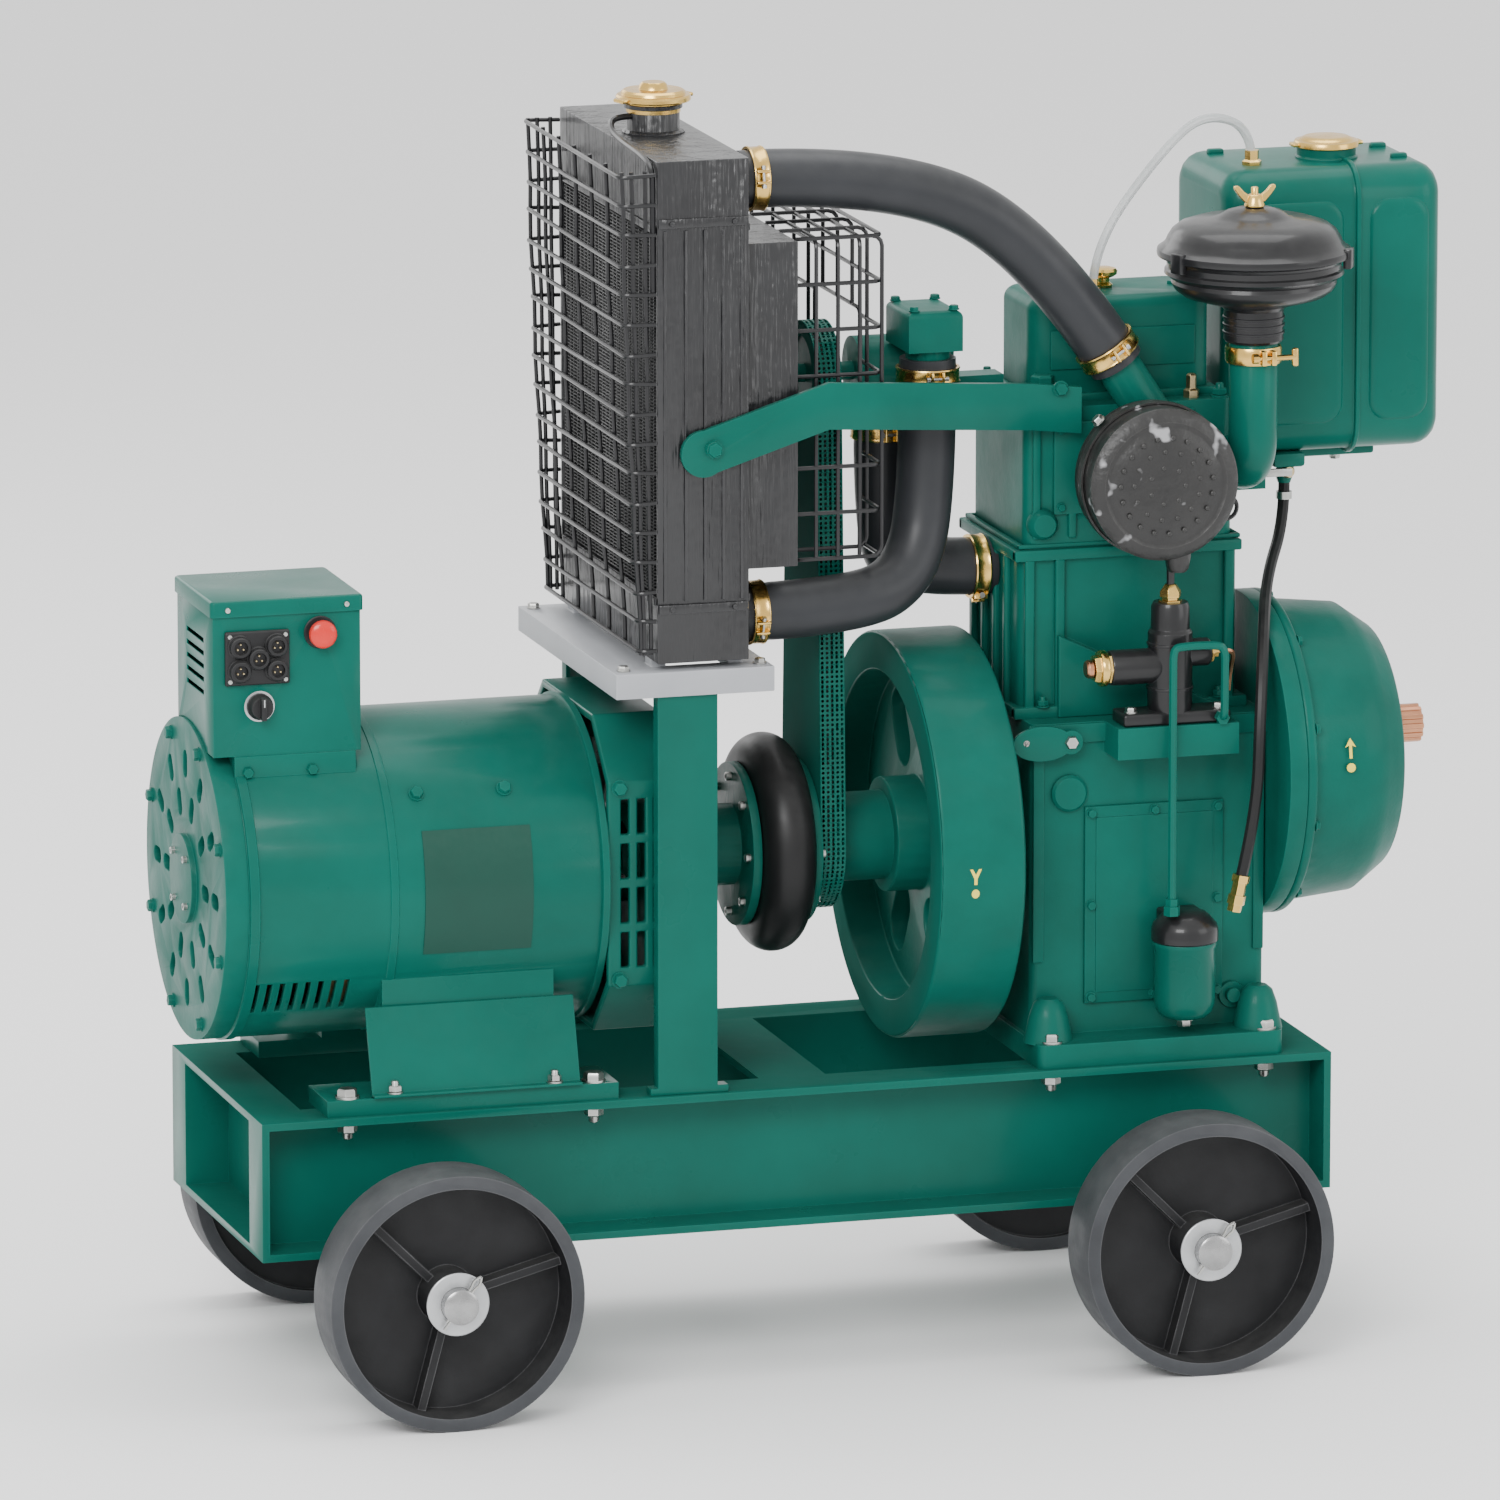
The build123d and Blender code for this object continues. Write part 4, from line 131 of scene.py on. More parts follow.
finishes = {
    "greenEnamel": dict(
        tone=enamelGreen, second=enamelDeep, tintScale=5, rough=0.30, roughSpread=0.10, coat=0.06,
        grain=420, grainDepth=0.10, ripple=60, rippleDepth=0.16, wearTone=(0.01, 0.17, 0.135), wear=0.30,
        dust=0.02, shine=0.11,
    ),
    "greenCasting": dict(
        tone=enamelGreen, second=enamelDeep, tintScale=9, rough=0.42, roughSpread=0.14, coat=0.05,
        grain=260, grainDepth=0.34, ripple=46, rippleDepth=0.42, wearTone=(0.01, 0.16, 0.125), wear=0.40,
        dust=0.02, shine=0.10,
    ),
    "deckPaint": dict(
        tone=enamelGreen, second=enamelDeep, tintScale=5, rough=0.82, roughSpread=0.08, coat=0.0,
        grain=420, grainDepth=0.10, ripple=60, rippleDepth=0.2, wearTone=(0.01, 0.17, 0.135), wear=0.3,
        dust=0.02,
        shine=0.06,
    ),
    "platePatch": dict(
        tone=(0.0, 0.046, 0.030), second=(0.0, 0.040, 0.026), tintScale=12, rough=0.42, roughSpread=0.05,
        coat=0.1, grain=900, grainDepth=0.06, ripple=120, rippleDepth=0.03, dust=0.05,
    ),
    "greyPaint": dict(
        tone=(0.34, 0.35, 0.37), second=(0.29, 0.30, 0.32), tintScale=8, rough=0.42, roughSpread=0.1,
        coat=0.1, grain=500, grainDepth=0.12, ripple=80, rippleDepth=0.12, wearTone=(0.62, 0.63, 0.65),
        wear=0.4,
        dust=0.1,
    ),
    "wheelGrey": dict(
        tone=(0.050, 0.053, 0.058), second=(0.032, 0.034, 0.038), tintScale=14, rough=0.55,
        roughSpread=0.18,
        grain=230, grainDepth=0.6, ripple=40, rippleDepth=0.5, wearTone=(0.11, 0.11, 0.115), wear=0.7,
        dust=0.12,
    ),
    "wheelDark": dict(
        tone=(0.014, 0.0145, 0.016), second=(0.008, 0.008, 0.009), tintScale=14, rough=0.5,
        roughSpread=0.16,
        grain=230, grainDepth=0.6, ripple=40, rippleDepth=0.5, wearTone=(0.12, 0.12, 0.125), wear=0.8,
        dust=0.1,
    ),
    "wrinkleBlack": dict(
        tone=(0.011, 0.0115, 0.013), second=(0.005, 0.005, 0.006), tintScale=12, rough=0.32,
        roughSpread=0.10, shine=0.5,
        coat=0.1, grain=300, grainDepth=0.4, wrinkle=110, wrinkleDepth=0.9, streak=34, streakDepth=11.0,
        wearTone=(0.05, 0.05, 0.055), wear=0.45,
        dust=0.06,
    ),
    "satinBlack": dict(
        tone=blackTone, second=(0.009, 0.009, 0.010), tintScale=8, rough=0.33, roughSpread=0.12, coat=0.25,
        grain=420, grainDepth=0.18, ripple=60, rippleDepth=0.14, wearTone=(0.035, 0.035, 0.04), wear=0.4,
        dust=0.05,
    ),
    # stove black carries light grey flecks that are painted glints, standing in for highlights on its
    # crinkled face
    "stoveBlack": dict(
        tone=(0.006, 0.006, 0.0062), second=(0.012, 0.0115, 0.011), tintScale=20, rough=0.42,
        roughSpread=0.16, shine=0.5, paintedGlint=0.66,
        grain=200, grainDepth=0.9, ripple=48, rippleDepth=2.6, wearTone=(0.06, 0.058, 0.055), wear=0.7,
        dust=0.08,
    ),
    "tyreRubber": dict(
        tone=(0.0055, 0.0055, 0.006), second=(0.009, 0.009, 0.0095), tintScale=10, rough=0.40,
        roughSpread=0.15,
        grain=600, grainDepth=0.2, ripple=70, rippleDepth=0.1, wearTone=(0.02, 0.02, 0.02), wear=0.2,
        dust=0.06,
    ),
    "hoseRubber": dict(
        tone=(0.026, 0.0275, 0.031), second=(0.018, 0.0195, 0.022), tintScale=9, rough=0.38,
        roughSpread=0.12,
        grain=700, grainDepth=0.3, ripple=50, rippleDepth=0.12, dust=0.08,
    ),
    "blackPlastic": dict(
        tone=(0.010, 0.010, 0.011), second=(0.016, 0.016, 0.017), tintScale=18, rough=0.4, roughSpread=0.1,
        grain=900, grainDepth=0.25, wearTone=(0.05, 0.05, 0.05), wear=0.3, dust=0.1,
    ),
    "redPlastic": dict(
        tone=(0.62, 0.020, 0.012), second=(0.50, 0.012, 0.010), tintScale=20, rough=0.25, roughSpread=0.08,
        coat=0.3, grain=800, grainDepth=0.06, dust=0.08,
    ),
    "brass": dict(
        tone=(0.78, 0.53, 0.16), second=(0.62, 0.38, 0.10), tintScale=26, rough=0.24, roughSpread=0.16,
        metal=1, grain=500, grainDepth=0.14, ripple=90, rippleDepth=0.08, wearTone=(0.9, 0.70, 0.32),
        wear=0.4,
    ),
    "dullBrass": dict(
        tone=(0.55, 0.45, 0.27), second=(0.40, 0.30, 0.16), tintScale=22, rough=0.36, roughSpread=0.18,
        metal=1, grain=420, grainDepth=0.3, ripple=70, rippleDepth=0.15, wearTone=(0.8, 0.68, 0.42),
        wear=0.5,
    ),
    "copper": dict(
        tone=(0.55, 0.27, 0.15), second=(0.42, 0.18, 0.10), tintScale=24, rough=0.33, roughSpread=0.16,
        metal=1, grain=420, grainDepth=0.25, wearTone=(0.8, 0.5, 0.35), wear=0.5,
    ),
    "zincSteel": dict(
        tone=(0.48, 0.48, 0.46), second=(0.34, 0.34, 0.32), tintScale=40, rough=0.34, roughSpread=0.16,
        metal=1, grain=600, grainDepth=0.2, wearTone=(0.75, 0.75, 0.74), wear=0.5,
    ),
    "turnedSteel": dict(
        tone=(0.40, 0.40, 0.40), second=(0.27, 0.27, 0.27), tintScale=30, rough=0.26, roughSpread=0.14,
        metal=1, grain=700, grainDepth=0.25, wearTone=(0.7, 0.7, 0.7), wear=0.4,
    ),
    "washerSteel": dict(
        tone=(0.52, 0.53, 0.54), second=(0.42, 0.43, 0.44), tintScale=25, rough=0.42, roughSpread=0.12,
        metal=0.7, grain=500, grainDepth=0.25, wearTone=(0.7, 0.7, 0.7), wear=0.3, dust=0.1,
    ),
    "coreMetal": dict(
        tone=(0.014, 0.0145, 0.016), second=(0.028, 0.029, 0.031), tintScale=60, rough=0.45,
        roughSpread=0.2,
        metal=0.3, grain=300, grainDepth=0.4, dust=0.3,
    ),
    "bareIron": dict(
        tone=(0.10, 0.098, 0.095), second=(0.06, 0.058, 0.056), tintScale=18, rough=0.46, roughSpread=0.2,
        metal=0.6, grain=260, grainDepth=0.5, ripple=60, rippleDepth=0.3, wearTone=(0.25, 0.25, 0.25),
        wear=0.4,
    ),
    "yellowPaint": dict(
        tone=(0.80, 0.66, 0.10), second=(0.74, 0.58, 0.07), tintScale=40, rough=0.45, roughSpread=0.1,
        grain=500, grainDepth=0.1,
    ),
    "clearTube": dict(
        tone=(0.72, 0.74, 0.74), second=(0.62, 0.64, 0.64), tintScale=14, rough=0.22, roughSpread=0.1,
        coat=0.2, grain=500, grainDepth=0.05, through=0.45,
    ),
    "floorPaper": dict(
        tone=studio["floorTone"], second=studio["floorTone"], tintScale=2, rough=0.8, roughSpread=0.05,
        grain=200, grainDepth=0.02,
    ),
}
materials = {}


def linkMix(tree, factor, first, second):
    mix = tree.nodes.new("ShaderNodeMix")
    mix.data_type = "RGBA"
    for socket, value in ((mix.inputs[0], factor), (mix.inputs[6], first), (mix.inputs[7], second)):
        if isinstance(value, bpy.types.NodeSocket):
            tree.links.new(value, socket)
        elif isinstance(value, tuple):
            socket.default_value = (*value[:3], 1)
        else:
            socket.default_value = value
    return mix.outputs[2]


def linkMath(tree, kind, first, second=0.0, clamp=False):
    node = tree.nodes.new("ShaderNodeMath")
    node.operation = kind
    node.use_clamp = clamp
    for socket, value in zip(node.inputs, (first, second)):
        if isinstance(value, bpy.types.NodeSocket):
            tree.links.new(value, socket)
        else:
            socket.default_value = value
    return node.outputs[0]


def noiseOn(tree, place, scale, detail=3.0, roughness=0.55):
    noise = tree.nodes.new("ShaderNodeTexNoise")
    noise.inputs["Scale"].default_value = scale
    noise.inputs["Detail"].default_value = detail
    noise.inputs["Roughness"].default_value = roughness
    tree.links.new(place, noise.inputs["Vector"])
    return noise.outputs["Fac"]


def bumpOn(tree, height, depth, below=None):
    bump = tree.nodes.new("ShaderNodeBump")
    bump.inputs["Strength"].default_value = 1.0
    bump.inputs["Distance"].default_value = depth
    tree.links.new(height, bump.inputs["Height"])
    if below:
        tree.links.new(below, bump.inputs["Normal"])
    return bump.outputs["Normal"]


# one shader with two tones, wear on edges, dust, painted glint flecks, grain and ripple from its recipe
def makeFinish(name, recipe):
    material = bpy.data.materials.new(name)
    material.use_nodes = True
    tree = material.node_tree
    shader = tree.nodes["Principled BSDF"]
    place = tree.nodes.new("ShaderNodeTexCoord").outputs["Object"]
    geometry = tree.nodes.new("ShaderNodeNewGeometry")
    tint = noiseOn(tree, place, recipe["tintScale"], 5.0, 0.6)
    tint = linkMath(tree, "MULTIPLY_ADD", tint, 2.4, True)
    tint.node.inputs[2].default_value = -0.7
    colour = linkMix(tree, tint, recipe["tone"], recipe["second"])
    fine = noiseOn(tree, place, recipe["grain"], 2.0)
    coarse = noiseOn(tree, place, recipe.get("ripple", 60), 3.0)
    if recipe.get("wear"):
        rounded = tree.nodes.new("ShaderNodeBevel")
        rounded.samples = 4
        rounded.inputs["Radius"].default_value = 2.2 * mm
        meet = tree.nodes.new("ShaderNodeVectorMath")
        meet.operation = "DOT_PRODUCT"
        tree.links.new(rounded.outputs[0], meet.inputs[0])
        tree.links.new(geometry.outputs["Normal"], meet.inputs[1])
        edge = linkMath(tree, "SUBTRACT", 1.0, meet.outputs["Value"])
        edge = linkMath(tree, "MULTIPLY", edge, 7.0, True)
        edge = linkMath(tree, "MULTIPLY", edge, coarse)
        edge = linkMath(tree, "MULTIPLY", edge, recipe["wear"] * 1.6, True)
        colour = linkMix(tree, edge, colour, recipe["wearTone"])
    if recipe.get("dust"):
        parts = tree.nodes.new("ShaderNodeSeparateXYZ")
        tree.links.new(geometry.outputs["Normal"], parts.inputs[0])
        upward = linkMath(tree, "MULTIPLY", parts.outputs["Z"], recipe["dust"], True)
        settled = linkMath(tree, "MULTIPLY", upward, coarse)
        colour = linkMix(tree, settled, colour, (0.42, 0.42, 0.40))
    # light grey flecks where the noise is high are painted glints: highlights of a crinkled black face put
    # into its colour
    if recipe.get("paintedGlint"):
        glintNoise = noiseOn(tree, place, 38.0, 2.0, 0.5)
        glintMask = linkMath(tree, "SUBTRACT", glintNoise, recipe["paintedGlint"], False)
        glintMask = linkMath(tree, "MULTIPLY", glintMask, 14.0, True)
        colour = linkMix(tree, glintMask, colour, (0.30, 0.30, 0.31))
    tree.links.new(colour, shader.inputs["Base Color"])
    patch = noiseOn(tree, place, recipe["tintScale"] * 2.3, 4.0)
    rough = linkMath(tree, "MULTIPLY_ADD", patch, recipe["roughSpread"] * 2)
    rough.node.inputs[2].default_value = recipe["rough"] - recipe["roughSpread"]
    tree.links.new(rough, shader.inputs["Roughness"])
    shader.inputs["Metallic"].default_value = recipe.get("metal", 0.0)
    shader.inputs["Coat Weight"].default_value = recipe.get("coat", 0.0)
    shader.inputs["Specular IOR Level"].default_value = recipe.get("shine", 0.25)
    shader.inputs["Coat Roughness"].default_value = 0.12
    if recipe.get("through"):
        shader.inputs["Transmission Weight"].default_value = recipe["through"]
        shader.inputs["IOR"].default_value = 1.35
    normal = bumpOn(tree, fine, recipe["grainDepth"] * 0.25 * mm)
    if recipe.get("rippleDepth"):
        normal = bumpOn(tree, coarse, recipe["rippleDepth"] * mm, normal)
    if recipe.get("wrinkle"):
        cells = tree.nodes.new("ShaderNodeTexVoronoi")
        cells.feature = "SMOOTH_F1"
        cells.inputs["Scale"].default_value = recipe["wrinkle"]
        tree.links.new(place, cells.inputs["Vector"])
        normal = bumpOn(tree, cells.outputs["Distance"], recipe["wrinkleDepth"] * mm, normal)
    if recipe.get("streak"):
        stretch = tree.nodes.new("ShaderNodeMapping")
        stretch.inputs["Scale"].default_value = (1.0, 1.0, 0.09)
        tree.links.new(place, stretch.inputs["Vector"])
        folds = noiseOn(tree, stretch.outputs["Vector"], recipe["streak"], 4.0, 0.6)
        normal = bumpOn(tree, folds, recipe["streakDepth"] * mm, normal)
    tree.links.new(normal, shader.inputs["Normal"])
    materials[name] = material


for finishName, finishRecipe in finishes.items():
    makeFinish(finishName, finishRecipe)
print("finishes mixed")


# shapes, all in millimetres until a piece is made
def block(x0, x1, y0, y1, z0, z1):
    corners = [(x, y, z) for x in (x0, x1) for y in (y0, y1) for z in (z0, z1)]
    sides = [(0, 1, 3, 2), (4, 6, 7, 5), (0, 4, 5, 1), (2, 3, 7, 6), (0, 2, 6, 4), (1, 5, 7, 3)]
    return corners, sides


def spun(axis, along, radius, angle, centre):
    first, second = radius * math.cos(angle), radius * math.sin(angle)
    x, y, z = centre
    if axis == "x":
        return (x + along, y + first, z + second)
    if axis == "y":
        return (x + first, y + along, z + second)
    return (x + first, y + second, z + along)


# an outline of (along, radius) turned about an axis
def turned(axis, centre, outline, sides=48, start=0.0, hollow=False):
    points, faces, rings = [], [], []
    for along, radius in outline:
        if radius < 1e-6:
            rings.append([len(points)] * sides)
            points.append(spun(axis, along, 0, 0, centre))
        else:
            rings.append([len(points) + step for step in range(sides)])
            points += [
                spun(axis, along, radius, start + 2 * math.pi * step / sides, centre)
                for step in range(sides)
            ]
    pairs = list(zip(rings, rings[1:])) + ([(rings[-1], rings[0])] if hollow else [])
    for low, high in pairs:
        for step in range(sides):
            after = (step + 1) % sides
            corner = []
            for index in (low[step], low[after], high[after], high[step]):
                if index not in corner:
                    corner.append(index)
            if len(corner) > 2:
                faces.append(tuple(corner))
    if not hollow:
        for ring, along in ((rings[0], outline[0]), (rings[-1], outline[-1])):
            if along[1] > 1e-6:
                faces.append(tuple(ring))
    return points, faces


# the faces between equal rings of points, with both ends closed
def stackFaces(count, levels):
    faces = [tuple(range(count)), tuple(range((levels - 1) * count, levels * count))]
    for base in range(0, (levels - 1) * count, count):
        faces += [
            (base + i, base + (i + 1) % count, base + count + (i + 1) % count, base + count + i)
            for i in range(count)
        ]
    return faces


# a flat outline drawn out along an axis
def drawn(axis, outline, low, high):
    order = {
        "x": lambda a, b, c: (c, a, b), "y": lambda a, b, c: (a, c, b), "z": lambda a, b, c: (a, b, c),
    }[axis]
    return [order(a, b, end) for end in (low, high) for a, b in outline], stackFaces(len(outline), 2)


def arc(centre, radius, first, last, steps):
    return [
        (
            centre[0] + radius * math.cos(math.radians(first + (last - first) * step / steps)),
            centre[1] + radius * math.sin(math.radians(first + (last - first) * step / steps)),
        )
        for step in range(steps + 1)
    ]


# a rectangle's outline with rounded corners, from (low, low) to (high, high)
def roundedRing(a0, a1, b0, b1, corner, steps, radius=None):
    spots = []
    for a, b, first in (
        (a1 - corner, b1 - corner, 0), (a0 + corner, b1 - corner, 90), (a0 + corner, b0 + corner, 180),
        (a1 - corner, b0 + corner, 270),
    ):
        spots += arc((a, b), corner if radius is None else radius, first, first + 90, steps)
    return spots


# a box with every corner and edge rounded
def roundedBox(x0, x1, y0, y1, z0, z1, corner, steps=4):
    bm = bmesh.new()
    points, faces = block(x0, x1, y0, y1, z0, z1)
    made = [bm.verts.new(p) for p in points]
    for face in faces:
        bm.faces.new([made[i] for i in face])
    bmesh.ops.bevel(bm, geom=bm.edges, offset=corner, segments=steps, profile=0.5, affect="EDGES")
    bm.verts.index_update()
    result = [tuple(v.co) for v in bm.verts], [tuple(v.index for v in f.verts) for f in bm.faces]
    bm.free()
    return result


# a round pipe along one smooth line
def piped(points, radius, sides=16, smooth=6):
    curve = bpy.data.curves.new("line", "CURVE")
    curve.dimensions = "3D"
    if radius:
        curve.bevel_depth = radius
        curve.bevel_resolution = max(1, sides // 4 - 1)
        curve.use_fill_caps = True
    spline = curve.splines.new("NURBS")
    spline.points.add(len(points) - 1)
    for spot, point in zip(spline.points, points):
        spot.co = (*point, 1)
    spline.order_u = min(3, len(points))
    spline.use_endpoint_u = True
    spline.resolution_u = smooth
    holder = bpy.data.objects.new("line", curve)
    mesh = bpy.data.meshes.new_from_object(holder)
    result = [tuple(v.co) for v in mesh.vertices], [tuple(p.vertices) for p in mesh.polygons]
    bpy.data.objects.remove(holder)
    bpy.data.curves.remove(curve)
    bpy.data.meshes.remove(mesh)
    return result


def shifted(shape, move=(0, 0, 0), turn=(0, 0, 0), size=1.0):
    aboutX, aboutY, aboutZ = (Matrix.Rotation(angle, 3, axis) for angle, axis in zip(turn, "XYZ"))
    spin = aboutZ @ aboutY @ aboutX
    return [tuple(spin @ (Vector(p) * size) + Vector(move)) for p in shape[0]], shape[1]


def finishMesh(name, mesh, body, replaced=()):
    piece = bpy.data.objects.new(name, mesh)
    bpy.context.scene.collection.objects.link(piece)
    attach(piece, body)
    if replaced:
        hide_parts(*replaced)
    return piece


# rounds a mesh's sharp edges and shades the rest smoothly
def softEdges(mesh, width, steps, limit=35):
    holder = bpy.data.objects.new("softening", mesh)
    bpy.context.scene.collection.objects.link(holder)
    rounding = holder.modifiers.new("rounding", "BEVEL")
    rounding.width = width * mm
    rounding.segments = steps
    rounding.limit_method = "ANGLE"
    rounding.angle_limit = math.radians(limit)
    rounding.harden_normals = True
    for polygon in mesh.polygons:
        polygon.use_smooth = True
    graph = bpy.context.evaluated_depsgraph_get()
    softened = bpy.data.meshes.new_from_object(holder.evaluated_get(graph))
    bpy.data.objects.remove(holder)
    return softened


# joins (finish, shape, shape, ...) groups into one mesh piece
def makePiece(name, parts, body, replaced=(), edge=0.0, steps=2, limit=35):
    mesh = bpy.data.meshes.new(name)
    bm = bmesh.new()
    for index, (finish, *shapes) in enumerate(parts):
        mesh.materials.append(materials[finish])
        for points, faces in shapes:
            made = [bm.verts.new(Vector(p) * mm) for p in points]
            fresh = []
            for face in faces:
                try:
                    fresh.append(bm.faces.new([made[i] for i in face]))
                except ValueError:
                    continue
            bmesh.ops.recalc_face_normals(bm, faces=fresh)
            for face in fresh:
                face.material_index = index
    bm.to_mesh(mesh)
    bm.free()
    if edge:
        mesh = softEdges(mesh, edge, steps, limit)
    else:
        for polygon in mesh.polygons:
            polygon.use_smooth = True
        mesh.set_sharp_from_angle(angle=math.radians(limit))
    mesh.name = name
    return finishMesh(name, mesh, body, replaced)


# the CAD node's own shape with its sharp edges rounded
def softenNode(node, finish, edge=1.2, steps=2, limit=32, choose=None, others=(), cutBeyond=None, thin=0.6):
    source = nodes[node]
    bm = bmesh.new()
    bm.from_mesh(source.data)
    bmesh.ops.remove_doubles(bm, verts=bm.verts, dist=0.00001)
    bmesh.ops.dissolve_limit(bm, angle_limit=math.radians(thin), verts=bm.verts, edges=bm.edges)
    if cutBeyond:
        whole = list(bm.verts) + list(bm.edges) + list(bm.faces)
        bmesh.ops.bisect_plane(
            bm, geom=whole, plane_co=(cutBeyond * mm, 0, 0), plane_no=(1, 0, 0), clear_outer=True,
        )
        bmesh.ops.holes_fill(bm, edges=[e for e in bm.edges if e.is_boundary])
    mesh = bpy.data.meshes.new(node)
    for face in bm.faces:
        face.material_index = choose([vertex.co / mm for vertex in face.verts]) if choose else 0
    bm.to_mesh(mesh)
    bm.free()
    for each in (finish, *others):
        mesh.materials.append(materials[each])
    mesh = softEdges(mesh, edge, steps, limit)
    return finishMesh(node + "Soft", mesh, source["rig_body"], (node,))


def paintNode(node, finish):
    data = nodes[node].data
    data.materials.clear()
    data.materials.append(materials[finish])


# geometry node trees for what repeats
def newTree(name, sockets):
    tree = bpy.data.node_groups.new(name, "GeometryNodeTree")
    tree.interface.new_socket("Geometry", in_out="INPUT", socket_type="NodeSocketGeometry")
    for label, kind in sockets:
        tree.interface.new_socket(label, in_out="INPUT", socket_type=kind)
    tree.interface.new_socket("Geometry", in_out="OUTPUT", socket_type="NodeSocketGeometry")
    return tree, tree.nodes.new("NodeGroupInput"), tree.nodes.new("NodeGroupOutput")


def attributeNode(tree, name, kind):
    node = tree.nodes.new("GeometryNodeInputNamedAttribute")
    node.data_type = kind
    node.inputs["Name"].default_value = name
    return next(s for s in node.outputs if s.enabled and s.name == "Attribute")


def closeTree(tree, source, result, finishSocket):
    realize = tree.nodes.new("GeometryNodeRealizeInstances")
    setting = tree.nodes.new("GeometryNodeSetMaterial")
    tree.links.new(source, realize.inputs[0])
    tree.links.new(realize.outputs[0], setting.inputs["Geometry"])
    tree.links.new(finishSocket, setting.inputs["Material"])
    tree.links.new(setting.outputs[0], result.inputs[0])


# sets one fastener on each point, its length along the point's aim
def fastenerTree():
    tree, given, result = newTree(
        "fasteners",
        [("Fastener", "NodeSocketObject"), ("Finish", "NodeSocketMaterial"), ("Seed", "NodeSocketInt")]
    )
    shape = tree.nodes.new("GeometryNodeObjectInfo")
    place = tree.nodes.new("GeometryNodeInstanceOnPoints")
    aim = tree.nodes.new("FunctionNodeAlignRotationToVector")
    aim.axis = "Z"
    spin = tree.nodes.new("FunctionNodeRandomValue")
    spin.data_type = "FLOAT"
    spin.inputs[3].default_value = 2 * math.pi
    turnBy = tree.nodes.new("ShaderNodeCombineXYZ")
    rotate = tree.nodes.new("GeometryNodeRotateInstances")
    tree.links.new(given.outputs["Fastener"], shape.inputs["Object"])
    tree.links.new(shape.outputs["Geometry"], place.inputs["Instance"])
    tree.links.new(given.outputs["Geometry"], place.inputs["Points"])
    tree.links.new(attributeNode(tree, "aim", "FLOAT_VECTOR"), aim.inputs["Vector"])
    tree.links.new(aim.outputs[0], place.inputs["Rotation"])
    tree.links.new(attributeNode(tree, "size", "FLOAT"), place.inputs["Scale"])
    tree.links.new(given.outputs["Seed"], spin.inputs["Seed"])
    tree.links.new(spin.outputs[1], turnBy.inputs["Z"])
    tree.links.new(place.outputs[0], rotate.inputs["Instances"])
    tree.links.new(turnBy.outputs[0], rotate.inputs["Rotation"])
    closeTree(tree, rotate.outputs[0], result, given.outputs["Finish"])
    return tree


# gives every line of a net a round section, with its corners rounded
def wireTree():
    tree, given, result = newTree(
        "wires",
        [("Radius", "NodeSocketFloat"), ("Corner", "NodeSocketFloat"), ("Finish", "NodeSocketMaterial")]
    )
    lines = tree.nodes.new("GeometryNodeMeshToCurve")
    bend = tree.nodes.new("GeometryNodeFilletCurve")
    bend.mode = "POLY"
    bend.inputs["Count"].default_value = 3
    bend.inputs["Limit Radius"].default_value = True
    section = tree.nodes.new("GeometryNodeCurvePrimitiveCircle")
    section.inputs["Resolution"].default_value = 8
    sweep = tree.nodes.new("GeometryNodeCurveToMesh")
    sweep.inputs["Fill Caps"].default_value = True
    tree.links.new(given.outputs["Geometry"], lines.inputs[0])
    tree.links.new(lines.outputs[0], bend.inputs["Curve"])
    tree.links.new(given.outputs["Corner"], bend.inputs["Radius"])
    tree.links.new(bend.outputs[0], sweep.inputs["Curve"])
    tree.links.new(given.outputs["Radius"], section.inputs["Radius"])
    tree.links.new(section.outputs[0], sweep.inputs["Profile Curve"])
    closeTree(tree, sweep.outputs[0], result, given.outputs["Finish"])
    return tree


# a row of small bars from each point
def slatTree():
    tree, given, result = newTree(
        "slats",
        [
            ("Count", "NodeSocketInt"), ("Step", "NodeSocketVector"), ("Bar", "NodeSocketVector"),
            ("Finish", "NodeSocketMaterial"),
        ],
    )
    row = tree.nodes.new("GeometryNodeMeshLine")
    bar = tree.nodes.new("GeometryNodeMeshCube")
    along = tree.nodes.new("GeometryNodeInstanceOnPoints")
    rows = tree.nodes.new("GeometryNodeInstanceOnPoints")
    tree.links.new(given.outputs["Count"], row.inputs["Count"])
    tree.links.new(given.outputs["Step"], row.inputs["Offset"])
    tree.links.new(given.outputs["Bar"], bar.inputs["Size"])
    tree.links.new(row.outputs[0], along.inputs["Points"])
    tree.links.new(bar.outputs[0], along.inputs["Instance"])
    tree.links.new(given.outputs["Geometry"], rows.inputs["Points"])
    tree.links.new(along.outputs[0], rows.inputs["Instance"])
    closeTree(tree, rows.outputs[0], result, given.outputs["Finish"])
    return tree


